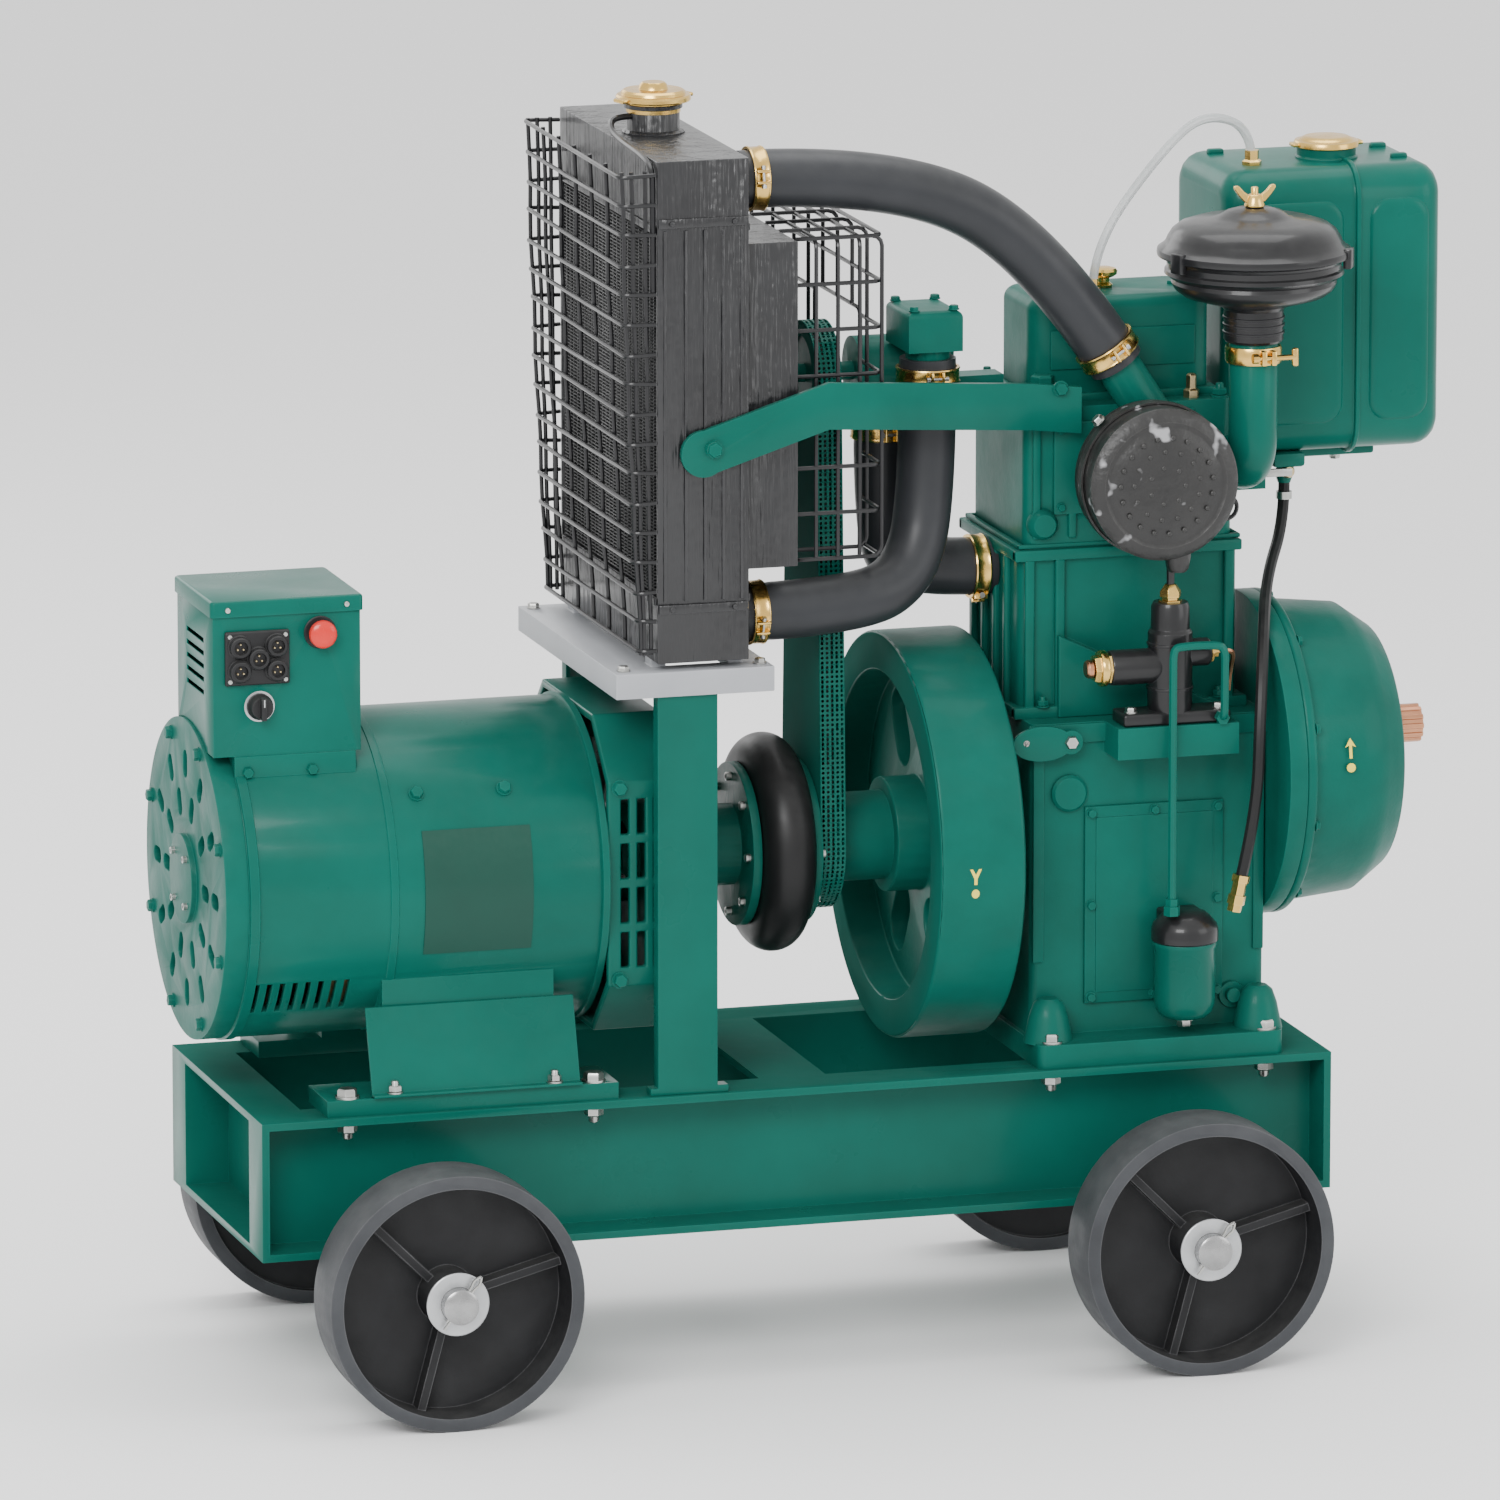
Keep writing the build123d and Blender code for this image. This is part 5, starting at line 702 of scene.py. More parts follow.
# lays one pierced tile on each point, square to its aim and along
def tileTree():
    tree, given, result = newTree(
        "perforations", [("Tile", "NodeSocketObject"), ("Finish", "NodeSocketMaterial")],
    )
    shape = tree.nodes.new("GeometryNodeObjectInfo")
    place = tree.nodes.new("GeometryNodeInstanceOnPoints")
    upright = tree.nodes.new("FunctionNodeAlignRotationToVector")
    upright.axis = "Z"
    aside = tree.nodes.new("FunctionNodeAlignRotationToVector")
    aside.axis = "X"
    aside.pivot_axis = "Z"
    tree.links.new(given.outputs["Tile"], shape.inputs["Object"])
    tree.links.new(shape.outputs["Geometry"], place.inputs["Instance"])
    tree.links.new(given.outputs["Geometry"], place.inputs["Points"])
    tree.links.new(attributeNode(tree, "aim", "FLOAT_VECTOR"), upright.inputs["Vector"])
    tree.links.new(upright.outputs[0], aside.inputs["Rotation"])
    tree.links.new(attributeNode(tree, "along", "FLOAT_VECTOR"), aside.inputs["Vector"])
    tree.links.new(aside.outputs[0], place.inputs["Rotation"])
    closeTree(tree, place.outputs[0], result, given.outputs["Finish"])
    return tree


trees = {"fasteners": fastenerTree(), "wires": wireTree(), "slats": slatTree(), "perforations": tileTree()}


# the plain mesh that a tree makes of these points, in millimetres
def runTree(treeName, points, values, edges=(), attributes=None, weld=0.0, smooth=True, wall=0.0):
    seedMesh = bpy.data.meshes.new("seed")
    seedMesh.from_pydata([Vector(p) * mm for p in points], list(edges), [])
    for label, (kind, rows) in (attributes or {}).items():
        layer = seedMesh.attributes.new(label, kind, "POINT")
        flat = [value for row in rows for value in row] if kind == "FLOAT_VECTOR" else list(rows)
        layer.data.foreach_set("vector" if kind == "FLOAT_VECTOR" else "value", flat)
    holder = bpy.data.objects.new("seed", seedMesh)
    bpy.context.scene.collection.objects.link(holder)
    modifier = holder.modifiers.new("tree", "NODES")
    modifier.node_group = trees[treeName]
    for item in trees[treeName].interface.items_tree:
        if item.in_out == "INPUT" and item.name in values:
            modifier[item.identifier] = values[item.name]
    graph = bpy.context.evaluated_depsgraph_get()
    result = bpy.data.meshes.new_from_object(holder.evaluated_get(graph))
    holder.modifiers.remove(modifier)
    bpy.data.objects.remove(holder)
    if weld or wall:
        bm = bmesh.new()
        bm.from_mesh(result)
        if weld:
            bmesh.ops.remove_doubles(bm, verts=bm.verts, dist=weld * mm)
        if wall:
            bmesh.ops.solidify(bm, geom=bm.faces, thickness=wall * mm)
        bm.to_mesh(result)
        bm.free()
    for polygon in result.polygons:
        polygon.use_smooth = True
    if smooth:
        result.set_sharp_from_angle(angle=math.radians(40))
    return result


# a small shape of its own that a tree repeats; it is never shown itself
def stampShape(name, shapes):
    mesh = bpy.data.meshes.new(name)
    bm = bmesh.new()
    for points, faces in shapes:
        made = [bm.verts.new(Vector(p) * mm) for p in points]
        fresh = [bm.faces.new([made[i] for i in face]) for face in faces]
        bmesh.ops.recalc_face_normals(bm, faces=fresh)
    bm.to_mesh(mesh)
    bm.free()
    return bpy.data.objects.new(name, mesh)


def washerRing(low, high, radius, hole):
    return turned(
        "z", (0, 0, 0), [(low, hole), (low, radius), (high, radius), (high, hole)], 16, hollow=True,
    )


# sizes are for an 8 mm thread, and each spot scales its own
fastenerShapes = {
    "hexHead": stampShape(
        "hexHead",
        [
            washerRing(0, 1.6, 8.6, 3.5),
            turned("z", (0, 0, 0), [(1.6, 7.3), (5.6, 7.3), (6.9, 6.2), (6.9, 0)], 6),
        ],
    ),
    "hexNut": stampShape(
        "hexNut",
        [
            washerRing(0, 1.6, 8.8, 3.5),
            turned("z", (0, 0, 0), [(1.6, 6.4), (2.4, 7.4), (7.2, 7.4), (8.2, 6.4), (8.2, 4.0)], 6),
            turned("z", (0, 0, 0), [(1.6, 4.0), (12.2, 4.0), (13.2, 3.2), (13.2, 0)], 12),
        ],
    ),
    "panScrew": stampShape(
        "panScrew",
        [
            turned("z", (0, 0, 0), [(0, 6.4), (1.6, 6.4), (3.6, 5.2), (4.4, 2.6), (4.4, 0)], 16),
            block(-4.6, 4.6, -0.7, 0.7, 3.3, 4.7),
        ],
    ),
    "socketHead": stampShape(
        "socketHead",
        [turned("z", (0, 0, 0), [(0, 6.4), (7.0, 6.4), (7.8, 5.6), (7.8, 3.5), (3.0, 3.5), (3.0, 0)], 18)],
    ),
    "rivet": stampShape(
        "rivet", [turned("z", (0, 0, 0), [(0, 4.6), (1.2, 4.2), (2.2, 2.6), (2.6, 0)], 12)],
    ),
}


# spots are (place, aim, size)
def addFasteners(name, kind, finish, body, spots, seed=1):
    mesh = runTree(
        "fasteners", [spot[0] for spot in spots],
        {"Fastener": fastenerShapes[kind], "Finish": materials[finish], "Seed": seed},
        attributes={
            "aim": ("FLOAT_VECTOR", [spot[1] for spot in spots]),
            "size": ("FLOAT", [spot[2] for spot in spots]),
        },
    )
    mesh.name = name
    return finishMesh(name, mesh, body)


def ringSpots(axis, centre, radius, count, aim, size, start=0.0):
    return [
        (spun(axis, 0, radius, start + 2 * math.pi * step / count, centre), aim, size)
        for step in range(count)
    ]


print("trees ready")

# trolley
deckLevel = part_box("chassis_frame")[1][2] * 1000
softenNode(
    "chassis_frame", "greenEnamel", 1.6, 3, choose=lambda spots: 1
    if min(spot.z for spot in spots) > deckLevel - 0.5 else 0, others=("deckPaint",),
)

trolley = {
    "axleX": (-485.5, 346.5),
    "axleRadius": 19.0,
    "axleEnd": 339.9,
    "washer": (319.9, 323.9),
    "pinY": 329.9,
    "boltX": (214.5, 454.5, -564.5, -294.5),
    "boltY": 172.0,
}


# a bright split pin: two legs through the axle and a loop at one end
def cotterPin(x, y, z):
    lean = math.radians(38)
    legs = []
    for gap in (-1.5, 1.5):
        path = [
            (gap, 0, -30 if gap > 0 else -22), (gap, 0, 0), (gap * 1.2, 0, 24), (gap * 3.2, 0, 31),
            (0, 0, 38),
        ]
        legs.append(shifted(piped(path, 1.7, 8, 4), (x, y, z), (0, lean, 0)))
    return legs


# the rim is lighter than the disc inside it
def wheelFinish(axleX):
    def reach(spot):
        return math.hypot(spot.x - axleX, spot.z - wheelHeight)

    return lambda spots: 0 if max(reach(spot) for spot in spots) > 127.0 else 1


for side in ("near", "far"):
    for end, axleX in zip(("left", "right"), trolley["axleX"]):
        softenNode(
            f"wheel_{end}_{side}", "wheelGrey", 2.6, 3, choose=wheelFinish(axleX), others=("wheelDark",),
        )
axleShapes, washerShapes, pinShapes = [], [], []
for x in trolley["axleX"]:
    centre = (x, 0, wheelHeight)
    end, radius = trolley["axleEnd"], trolley["axleRadius"]
    axleShapes.append(
        turned(
            "y", centre,
            [
                (-end, 0), (-end, radius - 3), (-end + 2, radius), (end - 2, radius), (end, radius - 3),
                (end, 0),
            ],
            40,
        )
    )
    for side in (-1, 1):
        low, high = sorted(side * v for v in trolley["washer"])
        washerShapes.append(
            turned(
                "y", centre,
                [
                    (low, radius + 0.2), (low, 33), (low + 0.8, 34), (high - 0.8, 34), (high, 33),
                    (high, radius + 0.2),
                ],
                48, hollow=True,
            )
        )
        pinShapes += cotterPin(x, side * trolley["pinY"], wheelHeight)
makePiece(
    "axleSet", [("turnedSteel", *axleShapes), ("washerSteel", *washerShapes), ("zincSteel", *pinShapes)],
    "trolley", ("axles",),
)

boltTop = {214.5: 340.0, 454.5: 340.0, -564.5: 332.0, -294.5: 332.0}
heads = [((x, s * trolley["boltY"], boltTop[x]), (0, 0, 1), 1.5) for x in trolley["boltX"] for s in (-1, 1)]
nuts = [((x, s * trolley["boltY"], 306.0), (0, 0, -1), 1.4) for x in trolley["boltX"] for s in (-1, 1)]
boltHeads = addFasteners("frameBoltHeads", "hexHead", "zincSteel", "trolley", heads)
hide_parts("frame_bolts")
addFasteners("frameBoltNuts", "hexNut", "zincSteel", "trolley", nuts, 2)
lumps = []
for x in trolley["axleX"]:
    for side in (-1, 1):
        low, high = sorted((side * 136.0, side * 151.0))
        lumps.append(roundedBox(x - 30, x + 30, low, high, 173, 196, 4.0, 3))
        lumps.append(
            turned(
                "y", (x + 6, 0, 200),
                [(side * 136, 0), (side * 136, 17), (side * 149, 15), (side * 152, 11), (side * 152, 0)],
                28,
            )
        )
makePiece("axleLumps", [("greenCasting", *lumps)], "trolley")
print("trolley done")

# alternator and control box
for name, edge in (
    ("alternator_end_cover", 3.0), ("alternator_drive_bracket", 2.2), ("alternator_foot_plates", 0.9),
):
    softenNode(name, "greenCasting" if "cover" in name else "greenEnamel", edge, 3)
softenNode("alternator_barrel", "greenEnamel", 1.4, 2)

alternator = {
    "radius": 172.0,
    "seamX": -516.0,
    "patch": (-478.0, -360.0),
    "patchTurn": (-21.0, 24.0),
}


# a place on the barrel's near side, measured up from its widest line, and its outward direction
def onBarrel(x, degreesUp, lift=0.0):
    angle = math.radians(degreesUp)
    outward = (0, -math.cos(angle), math.sin(angle))
    reach = alternator["radius"] + lift
    return (x, outward[1] * reach, shaftHeight + outward[2] * reach), outward


patchPoints, patchFaces = [], []
steps = 14
for level, lift in enumerate((0.1, 1.0)):
    for x in alternator["patch"]:
        for step in range(steps + 1):
            low, high = alternator["patchTurn"]
            patchPoints.append(onBarrel(x, low + (high - low) * step / steps, lift)[0])
row = steps + 1
for step in range(steps):
    a, b, c, d = step, step + 1, row + step + 1, row + step
    patchFaces += [(a, b, c, d), (2 * row + a, 2 * row + b, 2 * row + c, 2 * row + d)]
    patchFaces += [(a, b, 2 * row + b, 2 * row + a), (d, c, 2 * row + c, 2 * row + d)]
patchFaces += [(0, row, 3 * row, 2 * row), (steps, row + steps, 3 * row + steps, 2 * row + steps)]
centre = (0, 0, shaftHeight)
seamAt = (alternator["seamX"], 0, shaftHeight)
seam = turned("x", seamAt, [(0, 171.5), (1, 173.2), (5, 173.6), (9, 173.2), (10, 171.5)], 120, hollow=True)
collarLeft = turned(
    "x", centre, [(-669.0, 171), (-668.0, 174.0), (-658.0, 174.0), (-656.5, 171)], 120, hollow=True,
)
collarRight = turned(
    "x", centre, [(-285.0, 171), (-283.5, 175.0), (-276.5, 175.0), (-275.0, 171)], 120, hollow=True,
)
makePiece(
    "alternatorTrim",
    [("platePatch", (patchPoints, patchFaces)), ("greenEnamel", seam, collarLeft, collarRight)], "trolley",
)
barrelScrews = [(*onBarrel(x, up), 1.0) for x in (-478.0, -382.0) for up in (38.0, -41.0)]
cornerScrews = [((-262.0, s * 160.0, z), (0, s, 0), 1.05) for s in (-1, 1) for z in (645.0, 437.0)]
plateBolts = [((x, s * 181.0, 336.0), (0, 0, 1), 1.0) for x in (-515.0, -340.0) for s in (-1, 1)]
coverBolts = ringSpots("x", (-694.5, 0, shaftHeight), 158.0, 8, (-1, 0, 0), 0.9, 0.39)
capScrews = ringSpots("x", (-700.5, 0, shaftHeight), 36.0, 4, (-1, 0, 0), 0.6, 0.78)
addFasteners(
    "alternatorBolts", "hexHead", "greenCasting", "trolley", barrelScrews + cornerScrews + coverBolts,
)
addFasteners("alternatorFootBolts", "hexNut", "zincSteel", "trolley", plateBolts, 3)
addFasteners("bearingCapScrews", "socketHead", "zincSteel", "trolley", capScrews, 4)

controlBox = {
    "x": (-691.5, -531.5),
    "y": (-112.0, 40.0),
    "z": (693.2, 858.2),
    "lidSkirt": 15.0,
    "panel": (-679.5, -609.5, 770.2, 828.2),
    "button": (-575.5, 822.2),
    "knob": (-641.5, 746.2),
}
softenNode("control_box", "greenEnamel", 0.9, 2)
x0, x1 = controlBox["x"]
y0, y1 = controlBox["y"]
z1 = controlBox["z"][1]
skirt = z1 - controlBox["lidSkirt"] + 0.5


def lidRing(grow, corner):
    return roundedRing(x0 - grow, x1 + grow, y0 - grow, y1 + grow, corner, 5)


lidLevels = [
    (z1 + 0.5, lidRing(1.0, 3.0)), (skirt, lidRing(1.0, 3.0)), (skirt, lidRing(3.0, 5.0)),
    (z1 - 0.4, lidRing(3.0, 5.0)), (z1 + 1.4, lidRing(2.3, 4.6)), (z1 + 2.3, lidRing(0.6, 4.0)),
]
lidPoints = [(x, y, z) for z, ring in lidLevels for x, y in ring]
lidShape = lidPoints, stackFaces(len(lidLevels[0][1]), len(lidLevels))
makePiece("boxLid", [("greenEnamel", lidShape)], "control_box_lid_body", ("control_box_lid",), limit=50)

px0, px1, pz0, pz1 = controlBox["panel"]
socketParts, pinParts = [], []
middleX, middleZ = (px0 + px1) / 2, (pz0 + pz1) / 2
for dx, dz in ((-20, 13), (20, 13), (0, 0), (-20, -13), (20, -13)):
    spot = (middleX + dx, y0, middleZ + dz)
    socketParts.append(
        turned(
            "y", spot,
            [
                (-6, 13), (-8, 13), (-9, 12), (-9, 11), (-14, 11), (-15, 10), (-15, 7.6), (-9.5, 7.2),
                (-9.5, 0),
            ],
            28,
        )
    )
    for angle in (90, 210, 330):
        pin = (
            spot[0] + 3.6 * math.cos(math.radians(angle)), y0,
            spot[2] + 3.6 * math.sin(math.radians(angle)),
        )
        pinParts.append(turned("y", pin, [(-9.4, 1.1), (-12.6, 1.1), (-13, 0.7), (-13, 0)], 8))
base = roundedBox(px0, px1, y0 - 6, y0, pz0, pz1, 2.2, 3)
makePiece(
    "socketPanel", [("blackPlastic", base, *socketParts), ("dullBrass", *pinParts)], "trolley",
    ("socket_panel",),
)
bx, bz = controlBox["button"]
makePiece(
    "stopButton",
    [
        (
            "redPlastic",
            turned(
                "y", (bx, y0, bz),
                [
                    (-6.2, 8), (-7.0, 12.5), (-10, 14.6), (-14, 15), (-17, 14.2), (-19.2, 11.5), (-20, 7),
                    (-20, 0),
                ],
                40,
            ),
        ),
        ("blackPlastic", turned("y", (bx, y0, bz), [(12, 0), (12, 7.9), (-6.4, 7.9)], 24)),
    ],
    "stop_button_body", ("stop_button",),
)
kx, kz = controlBox["knob"]
makePiece(
    "selectorKnob",
    [
        (
            "blackPlastic",
            turned(
                "y", (kx, y0, kz),
                [
                    (12, 0), (12, 7.9), (-0.5, 7.9), (-0.5, 14), (-4, 14), (-6, 12.4), (-13, 11.8),
                    (-14, 11), (-14, 0),
                ],
                36,
            ),
            roundedBox(kx - 3, kx + 3, y0 - 22, y0 - 12, kz - 12, kz + 12, 1.5, 2),
        ),
        ("washerSteel", block(kx - 0.6, kx + 0.6, y0 - 22.2, y0 - 21.5, kz + 3, kz + 11)),
    ],
    "selector_knob_body", ("selector_knob",),
)
ringPlate = turned("y", (bx, y0, bz), [(0, 17.5), (-1.2, 17.5), (-2.0, 16.5), (-2.0, 9)], 40)
knobPlate = turned("y", (kx, y0, kz), [(0, 16.5), (-0.25, 16.5), (-0.25, 8.5)], 40)
makePiece(
    "boxTrim", [("blackPlastic", ringPlate), ("washerSteel", knobPlate)], "trolley",
)
saddleBolts = [((x, y0 - 0.2, 676.0), (0, -1, 0), 0.85) for x in (-655.0, -585.0)]
panelScrews = [((x, y0 - 6, z), (0, -1, 0), 0.42) for x in (px0 + 5, px1 - 5) for z in (pz0 + 5, pz1 - 5)]
lidScrews = [((x, y0 - 3, skirt + 7.5), (0, -1, 0), 0.5) for x in (-676.0, -547.0)]
addFasteners("saddleBolts", "hexHead", "greenCasting", "trolley", saddleBolts, 5)
addFasteners("panelScrews", "panScrew", "zincSteel", "trolley", panelScrews, 6)
addFasteners("lidScrews", "panScrew", "zincSteel", "control_box_lid_body", lidScrews, 7)
print("alternator done")

# coupling, belt guard, pulleys and flywheel
drive = {
    "tyreX": -52.5,
    "tyreRadius": 118.0,
    "tyreHalf": 29.0,
    "guard": (-13.5, 14.5),
    "guardRadii": (73.5, 55.5),
    "tile": 5.2,
    "hole": 1.75,
    "flywheel": (76.5, 220.0),
}
softenNode("coupling_flanges", "greenCasting", 1.0, 2)
shaftAt = (0, 0, shaftHeight)
tyreX, tyreHalf = drive["tyreX"], drive["tyreHalf"]
tyreOuter = []
for step in range(25):
    angle = math.pi * step / 24
    tyreOuter.append(
        (tyreX - tyreHalf * math.cos(angle), drive["tyreRadius"] - 34 + 34 * math.sin(angle) ** 0.8)
    )
tyreInner = [(along + (tyreX - along) * 0.24, radius - 9) for along, radius in reversed(tyreOuter)]
beads = [(tyreX + tyreHalf - 1.5, 66), (tyreX + tyreHalf - 7, 66)]
beadsLeft = [(tyreX - tyreHalf + 7, 66), (tyreX - tyreHalf + 1.5, 66)]
tyreShape = turned("x", shaftAt, tyreOuter + beads + tyreInner + beadsLeft, 96, hollow=True)
makePiece("couplingTyre", [("tyreRubber", tyreShape)], "crank_line", ("coupling_tyre",), limit=50)
clampSpots = ringSpots("x", (-92.5, 0, shaftHeight), 74, 8, (-1, 0, 0), 0.75)
clampSpots += ringSpots("x", (-14.5, 0, shaftHeight), 74, 8, (1, 0, 0), 0.75)
addFasteners("couplingScrews", "socketHead", "zincSteel", "crank_line", clampSpots, 8)
paintNode("crank_pulley", "greenCasting")
paintNode("pump_pulley", "greenCasting")
paintNode("drive_belt", "tyreRubber")


# the guard's outline round both pulleys: (y, z) with its outward direction
def guardPath(reach):
    lowZ, highZ = shaftHeight, fanHeight
    lowRadius, highRadius = (radius + reach for radius in drive["guardRadii"])
    lean = math.asin((lowRadius - highRadius) / (highZ - lowZ))
    spots = []
    for radius, z, first, last in (
        (highRadius, highZ, lean, math.pi - lean), (lowRadius, lowZ, math.pi - lean, 2 * math.pi + lean),
    ):
        steps = 40
        for step in range(steps + 1):
            angle = first + (last - first) * step / steps
            spots.append((radius * math.cos(angle), z + radius * math.sin(angle)))
    return spots


def measured(spots):
    lengths = [0.0]
    for here, after in zip(spots, spots[1:] + spots[:1]):
        lengths.append(lengths[-1] + math.dist(here, after))
    return lengths


guardLoop = guardPath(0)
guardLengths = measured(guardLoop)


def alongGuard(distance):
    distance %= guardLengths[-1]
    index = max(i for i, value in enumerate(guardLengths) if value <= distance + 1e-9)
    index = min(index, len(guardLoop) - 1)
    here, after = guardLoop[index], guardLoop[(index + 1) % len(guardLoop)]
    share = (distance - guardLengths[index]) / max(1e-6, math.dist(here, after))
    spot = tuple(a + (b - a) * share for a, b in zip(here, after))
    along = Vector((0, after[0] - here[0], after[1] - here[1])).normalized()
    return spot, along


tileSize, holeSize = drive["tile"], drive["hole"]
guardLow, guardHigh = drive["guard"]
tileCount = round(guardLengths[-1] / tileSize)
tileLong = guardLengths[-1] / tileCount
tileRows = 5
tileWide = (guardHigh - guardLow - 1.0) / tileRows
square = [
    (-tileLong / 2, -tileWide / 2), (0, -tileWide / 2), (tileLong / 2, -tileWide / 2), (tileLong / 2, 0),
    (tileLong / 2, tileWide / 2), (0, tileWide / 2), (-tileLong / 2, tileWide / 2), (-tileLong / 2, 0),
]
pierced = [
    (holeSize * math.cos(a), holeSize * math.sin(a)) for a in (math.radians(225 + 45 * i) for i in range(8))
]
tileStamp = stampShape(
    "guardTile",
    [
        (
            [(a, b, 0) for a, b in square + pierced],
            [(i, (i + 1) % 8, 8 + (i + 1) % 8, 8 + i) for i in range(8)],
        )
    ],
)
tileSpots, tileAims, tileAlongs = [], [], []
for step in range(tileCount):
    (y, z), along = alongGuard((step + 0.5) * tileLong)
    for row in range(tileRows):
        tileSpots.append((guardLow + 0.5 + (row + 0.5) * tileWide, y, z))
        tileAims.append((0, along.z, -along.y))
        tileAlongs.append(tuple(along))
guardSheet = runTree(
    "perforations", tileSpots, {"Tile": tileStamp, "Finish": materials["greenEnamel"]},
    attributes={"aim": ("FLOAT_VECTOR", tileAims), "along": ("FLOAT_VECTOR", tileAlongs)}, weld=0.9,
    wall=-1.2,
)
guardSheet.name = "guardSheet"
finishMesh("guardSheet", guardSheet, "trolley", ("belt_guard",))


def loopBand(outerReach, innerReach, x0, x1):
    outer, inner = guardPath(outerReach), guardPath(innerReach)
    count = len(outer)
    points = [(x, y, z) for x in (x0, x1) for spots in (outer, inner) for y, z in spots]
    faces = []
    for i in range(count):
        j = (i + 1) % count
        faces += [
            (i, j, count + j, count + i), (2 * count + i, 2 * count + j, 3 * count + j, 3 * count + i),
        ]
        faces += [
            (i, j, 2 * count + j, 2 * count + i), (count + i, count + j, 3 * count + j, 3 * count + i),
        ]
    return points, faces


# the point of a round hole that faces a spot of the outline
def onHole(x, spot, radius, centreZ):
    reach = math.hypot(spot[0], spot[1] - centreZ)
    return x, radius * (spot[0] / reach), centreZ + radius * (spot[1] - centreZ) / reach


# a flat side with one round hole for each shaft, made from rings between outline and holes
def guardSide(x0, x1, holes):
    outline = guardPath(-0.8)
    count = len(outline)
    half = count // 2
    faces, points = [], []
    upper = outline[:half]
    lower = outline[half:]
    for x in (x0, x1):
        points += [(x, y, z) for y, z in upper]
        points += [onHole(x, spot, holes[1], fanHeight) for spot in upper]
        points += [(x, y, z) for y, z in lower]
        points += [onHole(x, spot, holes[0], shaftHeight) for spot in lower]
        lowArc = [
            spun("x", 0, holes[1], math.radians(180 + 180 * i / 12), (x, 0, fanHeight)) for i in range(13)
        ]
        highArc = [
            spun("x", 0, holes[0], math.radians(180 - 180 * i / 12), (x, 0, shaftHeight)) for i in range(13)
        ]
        points += lowArc + highArc
    size = len(points) // 2
    n, m = len(upper), len(lower)
    for base in (0, size):
        for i in range(n - 1):
            faces.append((base + i, base + i + 1, base + n + i + 1, base + n + i))
        low = base + 2 * n
        for i in range(m - 1):
            faces.append((low + i, low + i + 1, low + m + i + 1, low + m + i))
        arcs = base + 2 * n + 2 * m
        for i in range(12):
            faces.append((arcs + i, arcs + i + 1, arcs + 13 + i + 1, arcs + 13 + i))
        faces.append((base + n - 1, low, low + m, arcs + 13, arcs, base + 2 * n - 1))
        faces.append((base, base + n, arcs + 12, arcs + 25, low + 2 * m - 1, low + m - 1))

    def rim(indices):
        for i, j in zip(indices, indices[1:] + indices[:1]):
            faces.append((i, j, size + j, size + i))
    rim(list(range(n)) + [2 * n + i for i in range(m)])
    rim([n + i for i in range(n)] + [2 * n + 2 * m + i for i in range(13)])
    rim([2 * n + m + i for i in range(m)] + [2 * n + 2 * m + 25 - i for i in range(13)])
    return points, faces


guardEdges = [
    loopBand(0.6, -1.4, guardLow, guardLow + 1.6), loopBand(0.6, -1.4, guardHigh - 1.6, guardHigh),
]
makePiece(
    "guardSides",
    [("deckPaint", *[guardSide(x, x + 2, (52, 40)) for x in (guardLow, guardHigh - 2)], *guardEdges)],
    "trolley",
)

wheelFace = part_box("flywheel")[0][0] * 1000
softenNode(
    "flywheel", "greenCasting", 2.4, 3, choose=lambda spots: 1
    if max(spot.x for spot in spots) < wheelFace + 1.0 else 0, others=("deckPaint",),
)
wheelLow, wheelRadius = drive["flywheel"]
markShapes = []


# a mark painted on a drum, given in millimetres across and around
def drumMark(x, radius, aroundDegrees, outline, height=0.35, centre=(0, shaftHeight)):
    points = []
    for reach in (radius - 0.4, radius + height):
        for across, around in outline:
            angle = math.radians(aroundDegrees) + around / radius
            points.append(
                (x + across, centre[0] - reach * math.cos(angle), centre[1] + reach * math.sin(angle))
            )
    return points, stackFaces(len(outline), 2)


arrowDown = [
    (-6.5, 11), (-3.4, 11), (0, 5), (3.4, 11), (6.5, 11), (1.7, 0.5), (1.7, -6), (-1.7, -6), (-1.7, 0.5),
]
ringMark = [
    (4.4 * math.cos(math.radians(a)), -16 + 5 * math.sin(math.radians(a))) for a in range(0, 360, 30)
]
for outline in (arrowDown, ringMark):
    markShapes.append(drumMark(wheelLow + 38, wheelRadius, -1.5, outline))
makePiece("timingMark", [("yellowPaint", *markShapes)], "crank_line")
print("drive line done")
# radiator, its stand, guards, fan and cowl
cooling = {
    "radiator": (-227.5, -127.5, -188.0, 188.0, 782.0, 1318.0),
    "topTank": 78.0,
    "lowTank": 70.0,
    "fins": 104,
    "tubes": 25,
    "guardX": -267.5,
    "guardTop": 1308.0,
    "guardWire": 2.3,
    "guardLean": 20.0,
    "guardRows": 17,
    "guardColumns": 7,
    "cage": (-69.5, 26.5, -162.0, 162.0, 880.0, 1224.0),
    "cageGap": (84.0, 1132.0),
    "neck": (-177.5, 0.0),
    "fanX": -91.5,
    "hubX": (-97.5, -57.5),
    "fanRadius": 152.0,
    "blades": 6,
}
x0, x1, y0, y1, z0, z1 = cooling["radiator"]
softenNode("radiator", "wrinkleBlack", 2.2, 2)
coreLow, coreHigh = z0 + cooling["lowTank"] + 4, z1 - cooling["topTank"] - 4


# rows of equal bars across the core, one row from each start
def coreBars(name, starts, count, step, bar, finish):
    values = {
        "Count": count, "Step": [value * mm for value in step], "Bar": [value * mm for value in bar],
        "Finish": materials[finish],
    }
    mesh = runTree("slats", starts, values, smooth=False)
    mesh.name = name
    finishMesh(name, mesh, "trolley")


